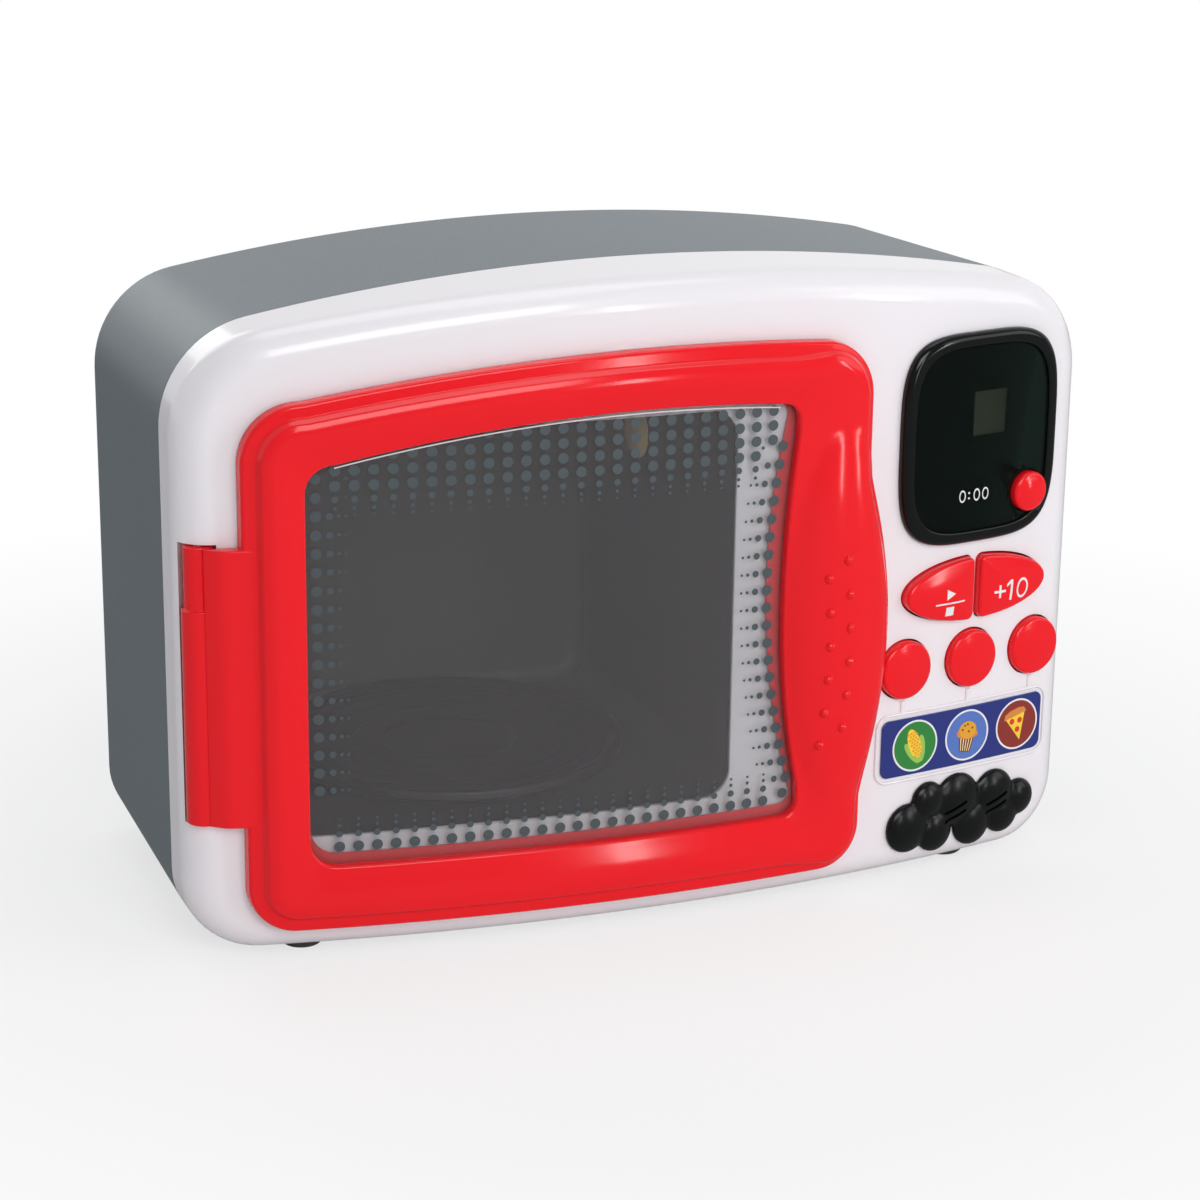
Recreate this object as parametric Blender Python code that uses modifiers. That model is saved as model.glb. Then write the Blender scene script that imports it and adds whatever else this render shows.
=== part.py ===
"""A toy microwave oven: a two-part housing, a hinged door with a clear pane, a cavity with a turntable,
a control panel with six push buttons, and the electronics and cells that it holds.

Metres, +Z up. The front faces -Y. Z = 0 is the table, X = 0 the middle of the housing. The plane Y = 0 of
the drawing is the foremost line of the white front, and the whole toy is then moved back so that the
origin lies under the middle of its bounding box.
"""

import math

import bmesh
import bpy
from mathutils import Matrix, Vector

# General
GAP = 0.0003
OVERRUN = 0.004
EMBED = 0.001
WELD = 0.000001
CORNER_STEPS = 5
FINE_STEPS = 14
ROUND_STEPS = 16

# Housing outline, seen from the front
SHELL_WIDTH = 0.295
SHELL_BOTTOM = 0.0035
SHELL_TOP = 0.2038
SHELL_ARCH_RADIUS = 0.690
SHELL_HIGH_RADIUS = 0.032
SHELL_LOW_RADIUS = 0.022
SHELL_WALL = 0.0022

# Control panel: its pieces stand square to the bowed front at this X
PANEL_INSET = 0.0405
PANEL_X = SHELL_WIDTH / 2 - PANEL_INSET

# Housing, from front to back
BOW_RADIUS = 0.600
FRONT_EDGE_RADIUS = 0.009
SEAM_Y = 0.037
BACK_Y = 0.140
BACK_EDGE_RADIUS = 0.010
BACK_DRAFT = 0.003
EDGE_STEPS = 3
FACE_RING_SHARES = (0.8, 0.6, 0.3)
LIP_THICKNESS = 0.0013
LIP_REACH = 0.004
LIP_ROOT = 0.004

# Screw posts that join the two housing halves
POST_LOW_INSET = 0.0155
POST_LOW_RISE = 0.021
POST_LOW_X = SHELL_WIDTH / 2 - POST_LOW_INSET
POST_LOW_Z = SHELL_BOTTOM + POST_LOW_RISE
POST_HIGH_INSET = 0.0295
POST_HIGH_DROP = 0.0238
POST_HIGH_X = SHELL_WIDTH / 2 - POST_HIGH_INSET
POST_HIGH_Z = SHELL_TOP - POST_HIGH_DROP
POST_RADIUS = 0.0050
POST_JOINT_BEHIND_SEAM = 0.023
POST_JOINT_Y = SEAM_Y + POST_JOINT_BEHIND_SEAM
REAR_POST_RADIUS = 0.0056
CASE_SCREW_SEAT = 0.007
CASE_SCREW_HEAD_RADIUS = 0.0031
CASE_SCREW_HEAD_HEIGHT = 0.0022
CASE_SCREW_RADIUS = 0.0015
CASE_SCREW_REACH = 0.014
CASE_SCREW_CLEARANCE = 0.0004

# Feet
FOOT_RADIUS = 0.0065
FOOT_INSET = 0.0375
FOOT_BEFORE_SEAM = 0.0095
FOOT_BEFORE_BACK = 0.018
FOOT_X = SHELL_WIDTH / 2 - FOOT_INSET
FOOT_FRONT_Y = SEAM_Y - FOOT_BEFORE_SEAM
FOOT_BACK_Y = BACK_Y - FOOT_BEFORE_BACK
FOOT_PEG_RADIUS = 0.0024
FOOT_PEG_REACH = 0.0030
FOOT_EDGE = 0.0008

# Door outline and window outline, seen from the front
DOOR_LEFT_INSET = 0.0165
DOOR_PANEL_INSET = 0.0427
DOOR_RISE = 0.0085
DOOR_DROP = 0.0199
DOOR_LEFT = -SHELL_WIDTH / 2 + DOOR_LEFT_INSET
DOOR_RIGHT = PANEL_X - DOOR_PANEL_INSET
DOOR_BOTTOM = SHELL_BOTTOM + DOOR_RISE
DOOR_TOP = SHELL_TOP - DOOR_DROP
DOOR_ARCH_RADIUS = 0.620
DOOR_HIGH_RADIUS = 0.018
DOOR_LOW_RADIUS = 0.014
BULGE = 0.0083
BULGE_BELOW_MIDDLE = 0.01095
BULGE_END_INSET = 0.03395
BULGE_Z = (DOOR_BOTTOM + DOOR_TOP) / 2 - BULGE_BELOW_MIDDLE
BULGE_HALF = (DOOR_TOP - DOOR_BOTTOM) / 2 - BULGE_END_INSET
BULGE_POWER = 1.2
LEFT_MEMBER = 0.0190
RIGHT_MEMBER_TOP = 0.0271
RIGHT_MEMBER_BOTTOM = 0.0238
LOW_MEMBER = 0.0232
HIGH_MEMBER = 0.0184
WINDOW_LEFT = DOOR_LEFT + LEFT_MEMBER
WINDOW_RIGHT_TOP = DOOR_RIGHT - RIGHT_MEMBER_TOP
WINDOW_RIGHT_BOTTOM = DOOR_RIGHT - RIGHT_MEMBER_BOTTOM
WINDOW_BOTTOM = DOOR_BOTTOM + LOW_MEMBER
WINDOW_TOP = DOOR_TOP - HIGH_MEMBER
WINDOW_ARCH_SHIFT = 0.0294
WINDOW_ARCH_X = (WINDOW_LEFT + WINDOW_RIGHT_TOP) / 2 + WINDOW_ARCH_SHIFT
WINDOW_ARCH_RADIUS = 0.430
WINDOW_CORNER = 0.0045
WINDOW_LEFT_CORNER = 0.008
WAIST = 0.0085
WAIST_ABOVE_MIDDLE = 0.00065
WAIST_END_INSET = 0.00215
WAIST_Z = (WINDOW_BOTTOM + WINDOW_TOP) / 2 + WAIST_ABOVE_MIDDLE
WAIST_HALF = (WINDOW_TOP - WINDOW_BOTTOM) / 2 - WAIST_END_INSET

# Cavity
CAVITY_BESIDE_WINDOW = 0.0070
CAVITY_BESIDE_DOOR_EDGE = 0.0443
CAVITY_ABOVE_SILL = 0.0048
CAVITY_BELOW_HEAD = 0.0025
CAVITY_LEFT = WINDOW_LEFT - CAVITY_BESIDE_WINDOW
CAVITY_RIGHT = DOOR_RIGHT - CAVITY_BESIDE_DOOR_EDGE
CAVITY_BOTTOM = WINDOW_BOTTOM + CAVITY_ABOVE_SILL
CAVITY_TOP = WINDOW_TOP - CAVITY_BELOW_HEAD
CAVITY_CORNER = 0.009
LINER_MARGIN = 0.0006
LINER_WALL = 0.0020
LINER_BEFORE_BACK = 0.014
LINER_BACK = BACK_Y - LINER_BEFORE_BACK
LINER_TAPER_SHARE = 0.975
LINER_FLANGE = 0.0045
LINER_FLANGE_DEPTH = 0.0022
LINER_PAD_RADIUS = 0.005
LINER_PAD_INSET = 0.0295
LINER_PAD_SPREAD = (CAVITY_RIGHT - CAVITY_LEFT) / 2 - LINER_PAD_INSET
LINER_PAD_DROP = 0.063
LINER_PAD_Z = CAVITY_TOP - LINER_PAD_DROP

# Turntable
TABLE_FRONT = 0.009
TABLE_BACK_CLEARANCE = 0.004
TABLE_SIDE_CLEARANCE = 0.014
TABLE_DEPTH_RADIUS = (LINER_BACK - LINER_WALL - TABLE_BACK_CLEARANCE - TABLE_FRONT) / 2
TABLE_WIDTH_RADIUS = (CAVITY_RIGHT - CAVITY_LEFT) / 2 - TABLE_SIDE_CLEARANCE
TABLE_RADIUS = min(TABLE_DEPTH_RADIUS, TABLE_WIDTH_RADIUS)
TABLE_Y = TABLE_FRONT + TABLE_DEPTH_RADIUS
TABLE_LIFT = 0.0022
TABLE_THICKNESS = 0.0026
TABLE_RIM_HEIGHT = 0.0022
TABLE_RIM_WIDTH = 0.0030
TABLE_WELL_RADIUS = 0.020
TABLE_WELL_DEPTH = 0.0008

TABLE_SHAFT_RADIUS = 0.0040
TABLE_SHAFT_REACH = 0.0065
TABLE_GROOVE_DEPTH = 0.0010
TABLE_GROOVE_WIDTH = 0.0016
CLIP_RADIUS = 0.0068
CLIP_SLOT = 0.0026
RUNNING_GAP = 0.0005

# Lamp on the cavity's right wall
LAMP_BEHIND_TABLE = 0.0135
LAMP_DROP = 0.025
LAMP_Y = TABLE_Y + LAMP_BEHIND_TABLE
LAMP_Z = CAVITY_TOP - LAMP_DROP
LAMP_DOME_RADIUS = 0.0090
LAMP_DOME_HEIGHT = 0.0032
LAMP_FLANGE_RADIUS = 0.0105
LAMP_FLANGE_THICKNESS = 0.0010
LAMP_SOCKET_RADIUS = 0.0042
LAMP_SOCKET_LENGTH = 0.0095
LED_RADIUS = 0.0025
LED_LENGTH = 0.0070
LED_RIM_RADIUS = 0.0029
LED_RIM_LENGTH = 0.0010

# Door section: heights stand out from the bowed front, shares run from the outer edge to the window
DOOR_GAP = 0.0007
DOOR_EDGE_HEIGHT = 0.0036
DOOR_LEDGE_HEIGHT = 0.0052
DOOR_CREST_HEIGHT = 0.0082
DOOR_LIP_HEIGHT = 0.0036
PANE_THICKNESS = 0.0018
PANE_MARGIN = 0.0038
LEDGE_WIDTH = 0.0038
LEDGE_NARROW = 0.0016
LEDGE_TURN_START = 0.0306
LEDGE_TURN = 0.0234
DOOR_SECTION_SHARES = ((0.000, 0.00), (0.030, 0.60), (0.090, 0.92), (0.200, 1.00))
DOOR_BAND_SHARES = ((0.260, 0.45), (0.360, 0.95), (0.500, 1.00), (0.740, 0.80), (0.920, 0.35))
HANDLE_EDGE_INSET = 0.0103
HANDLE_BELOW_MIDDLE = 0.00295
HANDLE_END_INSET = 0.02595
HANDLE_X = DOOR_RIGHT - HANDLE_EDGE_INSET
HANDLE_Z = (DOOR_BOTTOM + DOOR_TOP) / 2 - HANDLE_BELOW_MIDDLE
HANDLE_HALF_WIDTH = 0.0185
HANDLE_HALF_HEIGHT = (DOOR_TOP - DOOR_BOTTOM) / 2 - HANDLE_END_INSET
HANDLE_POWER = 0.8
HANDLE_RISE = 0.0050
GRIP_RADIUS = 0.0017
GRIP_PITCH = 0.0108
GRIP_COUNT = 6
GRIP_SPREAD = 0.0066
GRIP_EDGE_INSET = 0.0163
GRIP_BELOW_HANDLE = 0.039
GRIP_X = DOOR_RIGHT - GRIP_EDGE_INSET
GRIP_LOW_Z = HANDLE_Z - GRIP_BELOW_HANDLE
GRIP_SINK_SHARE = 0.45

# Hinge
HINGE_INSET = 0.0065
HINGE_SINK = 0.0034
KNUCKLE_RADIUS = 0.0055
KNUCKLE_HIGH_RADIUS = 0.0046
KNUCKLE_RISE = 0.034
KNUCKLE_DROP = 0.0529
KNUCKLE_STEP_DROP = 0.019
KNUCKLE_BOTTOM = DOOR_BOTTOM + KNUCKLE_RISE
KNUCKLE_TOP = DOOR_TOP - KNUCKLE_DROP
KNUCKLE_STEP_Z = KNUCKLE_TOP - KNUCKLE_STEP_DROP
KNUCKLE_CLEARANCE = 0.0006
HINGE_PIN_RADIUS = 0.0015
HINGE_PIN_HOLD = 0.0065
HINGE_BLOCK_WALL = 0.0100
HINGE_BLOCK_REACH = 0.0175
HINGE_BLOCK_REAR = 0.0111
LEAF_THICKNESS = 0.0046
LEAF_REACH = 0.0130

# Latch and the small holes round the cavity
LATCH_EDGE_INSET = 0.0213
LATCH_ABOVE_HANDLE = 0.006
LATCH_X = DOOR_RIGHT - LATCH_EDGE_INSET
LATCH_Z = HANDLE_Z + LATCH_ABOVE_HANDLE
LATCH_WIDTH = 0.0024
LATCH_HEIGHT = 0.0080
LATCH_REACH = 0.0085
LATCH_SIDE_CLEARANCE = 0.0015
LATCH_END_CLEARANCE = 0.0010
SENSOR_EDGE_INSET = 0.0308
SENSOR_ABOVE_LATCH = 0.0155
SENSOR_HOLE_X = DOOR_RIGHT - SENSOR_EDGE_INSET
SENSOR_HOLE_Z = LATCH_Z + SENSOR_ABOVE_LATCH
SENSOR_HOLE_RADIUS = 0.0017
DRAIN_HOLE_INSET = 0.0285
DRAIN_HOLE_DROP = 0.011
DRAIN_HOLE_X = CAVITY_LEFT + DRAIN_HOLE_INSET
DRAIN_HOLE_Z = CAVITY_BOTTOM - DRAIN_HOLE_DROP
DRAIN_HOLE_RADIUS = 0.0019

# Icon label and the raised rail round it
COVER_RAISE = 0.018
COVER_Z = SHELL_BOTTOM + COVER_RAISE
LABEL_ABOVE_COVER = 0.0153
LABEL_HEIGHT = 0.0192
LABEL_LEFT_REACH = 0.0330
LABEL_RIGHT_REACH = 0.0305
LABEL_LEFT = PANEL_X - LABEL_LEFT_REACH
LABEL_RIGHT = PANEL_X + LABEL_RIGHT_REACH
LABEL_BOTTOM = COVER_Z + LABEL_ABOVE_COVER
LABEL_TOP = LABEL_BOTTOM + LABEL_HEIGHT
LABEL_CORNER = 0.0028
LABEL_THICKNESS = 0.0004
RAIL_GAP = 0.0012
RAIL_WIDTH = 0.0011
RAIL_HEIGHT = 0.0006
STEM_RAIL_WIDTH = 0.0018

# Buttons
BUTTON_TRAVEL = 0.0020
BUTTON_CLEARANCE = 0.0005
BUTTON_RISE = 0.0016
BUTTON_DOME = 0.0016
BUTTON_FLANGE = 0.0012
BUTTON_FLANGE_THICKNESS = 0.0011
STEM_RADIUS = 0.0022
FOOD_RADIUS = 0.0095
FOOD_SPREAD = 0.0257
FOOD_SEAT = 0.0044
FOOD_ABOVE_LABEL = 0.0071
FOOD_Z = LABEL_TOP + FOOD_ABOVE_LABEL + FOOD_RADIUS
WIDE_HALF_WIDTH = 0.0275
WIDE_HALF_HEIGHT = 0.0103
WIDE_ABOVE_FOOD = 0.0039
WIDE_Z = FOOD_Z + FOOD_RADIUS + WIDE_ABOVE_FOOD + WIDE_HALF_HEIGHT
WIDE_GAP = 0.0023
WIDE_CORNER_SHARE = 0.10
WIDE_POINTS = 12
WIDE_FLANGE = 0.0008
WIDE_DOME = 0.0010
WIDE_ROUND = 0.0012

# Display
DISPLAY_U = -0.0006
DISPLAY_CLEARANCE = 0.0048
DISPLAY_DROP = 0.0248
DISPLAY_LOW = WIDE_Z + WIDE_HALF_HEIGHT + DISPLAY_CLEARANCE
DISPLAY_HIGH = SHELL_TOP - DISPLAY_DROP
DISPLAY_Z = (DISPLAY_LOW + DISPLAY_HIGH) / 2
DISPLAY_HALF_WIDTH = 0.0304
DISPLAY_HALF_HEIGHT = (DISPLAY_HIGH - DISPLAY_LOW) / 2
DISPLAY_POWER = 4.0
DISPLAY_POINTS = 36
BEZEL_HEIGHT = 0.0030
BEZEL_ROUND = 0.0022
BEZEL_RIM = 0.0042
BEZEL_BASE = 0.0003
BEZEL_PLUG_INSET = 0.0016
BEZEL_PLUG_DEPTH = 0.0036
LENS_THICKNESS = 0.0010
LENS_SINK = 0.0006
LCD_U = 0.0032
LCD_RISE_SHARE = 0.222
LCD_VIEW_HEIGHT_SHARE = 0.426
LCD_BORDER = 0.0066
LCD_Z = DISPLAY_Z + DISPLAY_HALF_HEIGHT * LCD_RISE_SHARE
LCD_VIEW_WIDTH = 0.0136
LCD_VIEW_HEIGHT = DISPLAY_HALF_HEIGHT * LCD_VIEW_HEIGHT_SHARE
LCD_WIDTH = 0.0200
LCD_HEIGHT = LCD_VIEW_HEIGHT + LCD_BORDER
LCD_THICKNESS = 0.0024
LCD_SKIN = 0.0008
RESET_RADIUS_SHARE = 0.1893
RESET_DROP_SHARE = 0.577
RESET_U = 0.0185
RESET_RADIUS = DISPLAY_HALF_HEIGHT * RESET_RADIUS_SHARE
RESET_Z = DISPLAY_Z - DISPLAY_HALF_HEIGHT * RESET_DROP_SHARE

# Speaker and its lobed cover
COVER_RISE = 0.0034
COVER_EDGE = 0.0016
COVER_PEG_RADIUS = 0.0014
COVER_PEG_U = 0.0205
COVER_PEG_DROP = 0.0015
COVER_PEG_Z = COVER_Z - COVER_PEG_DROP
COVER_PEG_REACH = 0.0030
COVER_HALF_WIDTH = 0.0290
COVER_LOBE_SHARES = (
    (-0.76, -0.10, 0.29), (-0.50, 0.18, 0.22), (-0.10, 0.12, 0.31), (0.42, 0.10, 0.28), (0.78, -0.02, 0.22),
    (-0.40, -0.20, 0.24), (0.12, -0.20, 0.26), (0.55, -0.17, 0.23),
)
SLOT_WIDTH = 0.0011
SLOT_LENGTH = 0.0090
SLOT_PITCH = 0.0030
SLOT_COUNT = 2
SLOT_TILT_DEG = 22.0
SLOT_U_SHARES = (-0.16, 0.42)
SPEAKER_ABOVE_COVER = 0.005
SPEAKER_Z = COVER_Z + SPEAKER_ABOVE_COVER
SPEAKER_RADIUS = 0.0150
SPEAKER_RIM = 0.0016
SPEAKER_CONE_DEPTH = 0.0042
SPEAKER_MAGNET_RADIUS = 0.0080
SPEAKER_MAGNET_DEPTH = 0.0050
SPEAKER_WELL_DEPTH = 0.0010
SPEAKER_RING_WALL = 0.0013
SPEAKER_RING_DEPTH = 0.0050
SOUND_HOLE_RADIUS = 0.0020
SOUND_HOLE_PITCH = 0.0070

# Circuit board
BOARD_DEPTH = 0.0130
BOARD_THICKNESS = 0.0016
BOARD_HALF_WIDTH = 0.0270
BOARD_BELOW_FOOD = 0.0151
BOARD_BOTTOM = FOOD_Z - BOARD_BELOW_FOOD
BOARD_CORNER = 0.0015
SWITCH_SIZE = 0.0060
SWITCH_HEIGHT = 0.0030
BOARD_BOSS_RADIUS = 0.0028
BOARD_BOSS_U = 0.0129
BOARD_BOSS_RISE = 0.0047
BOARD_BOSS_Z = BOARD_BOTTOM + BOARD_BOSS_RISE
BEZEL_BOSS_U = 0.0200
BEZEL_BOSS_LOW_SHARE = -0.598
BEZEL_BOSS_HIGH_SHARE = 0.497
BEZEL_BOSS_LOW_Z = DISPLAY_Z + DISPLAY_HALF_HEIGHT * BEZEL_BOSS_LOW_SHARE
BEZEL_BOSS_HIGH_Z = DISPLAY_Z + DISPLAY_HALF_HEIGHT * BEZEL_BOSS_HIGH_SHARE
BOARD_ABOVE_BOSS = 0.004
BOARD_TOP = BEZEL_BOSS_HIGH_Z + BOARD_ABOVE_BOSS
BOARD_SCREW_RADIUS = 0.0011
BOARD_SCREW_HEAD_RADIUS = 0.0023
BOARD_SCREW_HEAD_HEIGHT = 0.0014
BOARD_SCREW_REACH = 0.0060

# Battery box, in the back on the panel's side
CELL_RADIUS = 0.0071
CELL_LENGTH = 0.0492
CELL_NUB_RADIUS = 0.0027
CELL_NUB_HEIGHT = 0.0013
CELL_PITCH = 0.0152
CELL_COUNT = 3
CELL_RISE = 0.0725
CELL_BOTTOM = SHELL_BOTTOM + CELL_RISE
CELL_SEAT = 0.0006
BATTERY_BESIDE_PANEL = 0.022
BATTERY_X = PANEL_X - BATTERY_BESIDE_PANEL
BOX_WALL = 0.0018
BOX_SIDE_CLEARANCE = 0.0005
CONTACT_THICKNESS = 0.0005
CONTACT_BUMP = 0.0016
SPRING_HEIGHT = 0.0030
SPRING_RADIUS = 0.0042
SPRING_TIP_RADIUS = 0.0022
BOX_SCREW_LAND = 0.0110
HATCH_MARGIN = 0.0028
HATCH_CLEARANCE = 0.0004
HATCH_CORNER = 0.0030
HATCH_TAB_WIDTH = 0.0100
HATCH_TAB_REACH = 0.0030
HATCH_TAB_THICKNESS = 0.0012
HATCH_GRIP_WIDTH = 0.0200
HATCH_GRIP_HEIGHT = 0.0012
HATCH_GRIP_PITCH = 0.0030
HATCH_GRIP_COUNT = 3
HATCH_GRIP_DEPTH = 0.0007
HATCH_SCREW_RADIUS = 0.0012
HATCH_SCREW_HEAD_RADIUS = 0.0026
HATCH_SCREW_HEAD_HEIGHT = 0.0012
HATCH_SCREW_REACH = 0.0060

BOARD_HOLES = (
    (-BOARD_BOSS_U, BOARD_BOSS_Z), (BOARD_BOSS_U, BOARD_BOSS_Z),
    (-BEZEL_BOSS_U, BEZEL_BOSS_LOW_Z), (BEZEL_BOSS_U, BEZEL_BOSS_HIGH_Z),
)


# Scene helpers


def clear_scene():
    for obj in list(bpy.data.objects):
        bpy.data.objects.remove(obj, do_unlink=True)


def new_collection(name, parent=None):
    collection = bpy.data.collections.new(name)
    (parent or bpy.context.scene.collection).children.link(collection)
    return collection


def linear(channel):
    """One display colour channel, 0 to 255, as the renderer's linear value."""
    value = channel / 255
    return value / 12.92 if value <= 0.04045 else ((value + 0.055) / 1.055) ** 2.4


def new_material(name, rgb, roughness, metallic=0.0, alpha=1.0):
    material = bpy.data.materials.new(name)
    material.use_nodes = True
    shader = material.node_tree.nodes["Principled BSDF"]
    shader.inputs["Base Color"].default_value = (*(linear(channel) for channel in rgb), 1.0)
    shader.inputs["Roughness"].default_value = roughness
    shader.inputs["Metallic"].default_value = metallic
    shader.inputs["Alpha"].default_value = alpha
    return material


def place(obj, location=(0, 0, 0), rotation=(0, 0, 0), parent=None):
    obj.location = location
    obj.rotation_euler = rotation
    obj.parent = parent
    return obj


def new_object(name, mesh, collection, material=None):
    obj = bpy.data.objects.new(name, mesh)
    collection.objects.link(obj)
    if material:
        mesh.materials.append(material)
    return obj


def mesh_from(bm, name, smooth_below=35):
    bmesh.ops.recalc_face_normals(bm, faces=bm.faces)
    mesh = bpy.data.meshes.new(name)
    bm.to_mesh(mesh)
    bm.free()
    mesh.shade_smooth()
    mesh.set_sharp_from_angle(angle=math.radians(smooth_below))
    return mesh


def as_cutter(obj):
    obj.hide_render = True
    obj.display_type = "WIRE"
    return obj


def boolean(obj, other, operation):
    """Joins or cuts with one object, or with a collection of them."""
    modifier = obj.modifiers.new(operation.lower(), "BOOLEAN")
    modifier.operation = operation
    modifier.solver = "EXACT"
    if isinstance(other, bpy.types.Collection):
        modifier.operand_type = "COLLECTION"
        modifier.collection = other
    else:
        modifier.object = other
    return obj


# Shape helpers


def arc(x, z, radius, start, end, steps):
    """Points from one angle to another in degrees, without the last."""
    span = math.radians(end - start)
    first = math.radians(start)
    return [
        (x + radius * math.cos(first + span * i / steps), z + radius * math.sin(first + span * i / steps))
        for i in range(steps)
    ]


def line(x0, z0, x1, z1, steps):
    return [(x0 + (x1 - x0) * i / steps, z0 + (z1 - z0) * i / steps) for i in range(steps)]


def offset_outline(points, distance):
    """A closed outline moved outwards along its own normals. It runs anticlockwise."""
    moved = []
    for i, (x, z) in enumerate(points):
        before = points[i - 1]
        after = points[(i + 1) % len(points)]
        along = Vector((after[0] - before[0], after[1] - before[1])).normalized()
        moved.append((x + along.y * distance, z - along.x * distance))
    return moved


def rounded_rectangle(left, bottom, right, top, radius, steps=CORNER_STEPS):
    return (
        arc(right - radius, bottom + radius, radius, -90, 0, steps)
        + arc(right - radius, top - radius, radius, 0, 90, steps)
        + arc(left + radius, top - radius, radius, 90, 180, steps)
        + arc(left + radius, bottom + radius, radius, 180, 270, steps)
    )


def loft(name, rings, start="open", end="open", loop=False, smooth_below=35):
    """A skin over rings of equally many points, each end left open, capped flat or closed to a point."""
    bm = bmesh.new()
    rows = [[bm.verts.new(point) for point in ring] for ring in rings]
    for low, high in zip(rows, rows[1:] + (rows[:1] if loop else [])):
        for i in range(len(low)):
            j = (i + 1) % len(low)
            bm.faces.new((low[i], low[j], high[j], high[i]))
    for row, ending in ((rows[0], start), (rows[-1], end)):
        if ending == "flat":
            bm.faces.new(row)
        elif ending != "open":
            tip = bm.verts.new(ending)
            for i in range(len(row)):
                bm.faces.new((row[i], row[(i + 1) % len(row)], tip))
    return mesh_from(bm, name, smooth_below)


def prism(name, outline, low, high, bevel=0.0, bevel_steps=2):
    """A flat outline in X and Y made solid from one height to another, from a filled 2D curve."""
    curve = bpy.data.curves.new(name, "CURVE")
    curve.dimensions = "2D"
    curve.fill_mode = "BOTH"
    curve.extrude = (high - low) / 2
    spline = curve.splines.new("POLY")
    spline.points.add(len(outline) - 1)
    for point, (x, y) in zip(spline.points, outline):
        point.co = (x, y, 0, 1)
    spline.use_cyclic_u = True
    guide = bpy.data.objects.new(name, curve)
    bpy.context.scene.collection.objects.link(guide)
    bpy.context.view_layer.update()
    graph = bpy.context.evaluated_depsgraph_get()
    mesh = bpy.data.meshes.new_from_object(guide.evaluated_get(graph))
    bpy.data.objects.remove(guide, do_unlink=True)
    bm = bmesh.new()
    bm.from_mesh(mesh)
    bmesh.ops.remove_doubles(bm, verts=bm.verts, dist=WELD)
    bmesh.ops.translate(bm, verts=bm.verts, vec=(0, 0, (high + low) / 2))
    if bevel:
        top = max(vert.co.z for vert in bm.verts)
        edges = [edge for edge in bm.edges if all(vert.co.z > top - GAP for vert in edge.verts)]
        rim = [edge for edge in edges if len(edge.link_faces) == 2 and edge.calc_face_angle(0) > 0.5]
        bmesh.ops.bevel(
            bm, geom=rim, offset=bevel, segments=bevel_steps, profile=0.5, affect="EDGES",
            clamp_overlap=True,
        )
    return mesh_from(bm, name)


def box_mesh(name, low, high, bevel=0.0):
    bm = bmesh.new()
    bmesh.ops.create_cube(bm, size=1.0)
    size = Vector(high) - Vector(low)
    middle = (Vector(high) + Vector(low)) / 2
    bm.transform(Matrix.Translation(middle) @ Matrix.Diagonal((*size, 1)))
    if bevel:
        bmesh.ops.bevel(bm, geom=list(bm.edges), offset=bevel, segments=2, profile=0.5, affect="EDGES")
    return mesh_from(bm, name)


def cylinder_mesh(name, radius, low, high, steps=FINE_STEPS, end_radius=None):
    """A cylinder or cone round the local Z axis."""
    bm = bmesh.new()
    bmesh.ops.create_cone(
        bm, cap_ends=True, segments=steps, radius1=radius,
        radius2=radius if end_radius is None else end_radius, depth=high - low,
    )
    bmesh.ops.translate(bm, verts=bm.verts, vec=(0, 0, (high + low) / 2))
    return mesh_from(bm, name)


def turned(name, profile, collection, material=None, steps=ROUND_STEPS, closed=False):
    """A profile of (radius, height) points, top to bottom down its outer side, turned by a Screw modifier."""
    mesh = bpy.data.meshes.new(name)
    edges = [(i, i + 1) for i in range(len(profile) - 1)]
    if closed:
        edges.append((len(profile) - 1, 0))
    mesh.from_pydata([(radius, 0, height) for radius, height in profile], edges, [])
    obj = new_object(name, mesh, collection, material)
    screw = obj.modifiers.new("turn", "SCREW")
    screw.steps = steps
    screw.render_steps = steps
    screw.use_merge_vertices = True
    screw.merge_threshold = 0.00001
    screw.use_smooth_shade = True
    return obj


def facing(x=0.0, z=0.0, y=0.0):
    """Location and rotation that turn local X, Y, Z into the front's right, up and outwards."""
    return {"location": (x, y, z), "rotation": (math.pi / 2, 0, 0)}


# The bowed front


def bow(x):
    """How far back the front lies at x, for it is part of an upright cylinder."""
    return BOW_RADIUS - math.sqrt(BOW_RADIUS ** 2 - x ** 2)


def arch_centre_z():
    return SHELL_TOP - SHELL_ARCH_RADIUS


def high_corner():
    """Centre of the upper right corner, which meets both the side and the arch."""
    x = SHELL_WIDTH / 2 - SHELL_HIGH_RADIUS
    reach = SHELL_ARCH_RADIUS - SHELL_HIGH_RADIUS
    return x, arch_centre_z() + math.sqrt(reach ** 2 - x ** 2)


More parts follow.
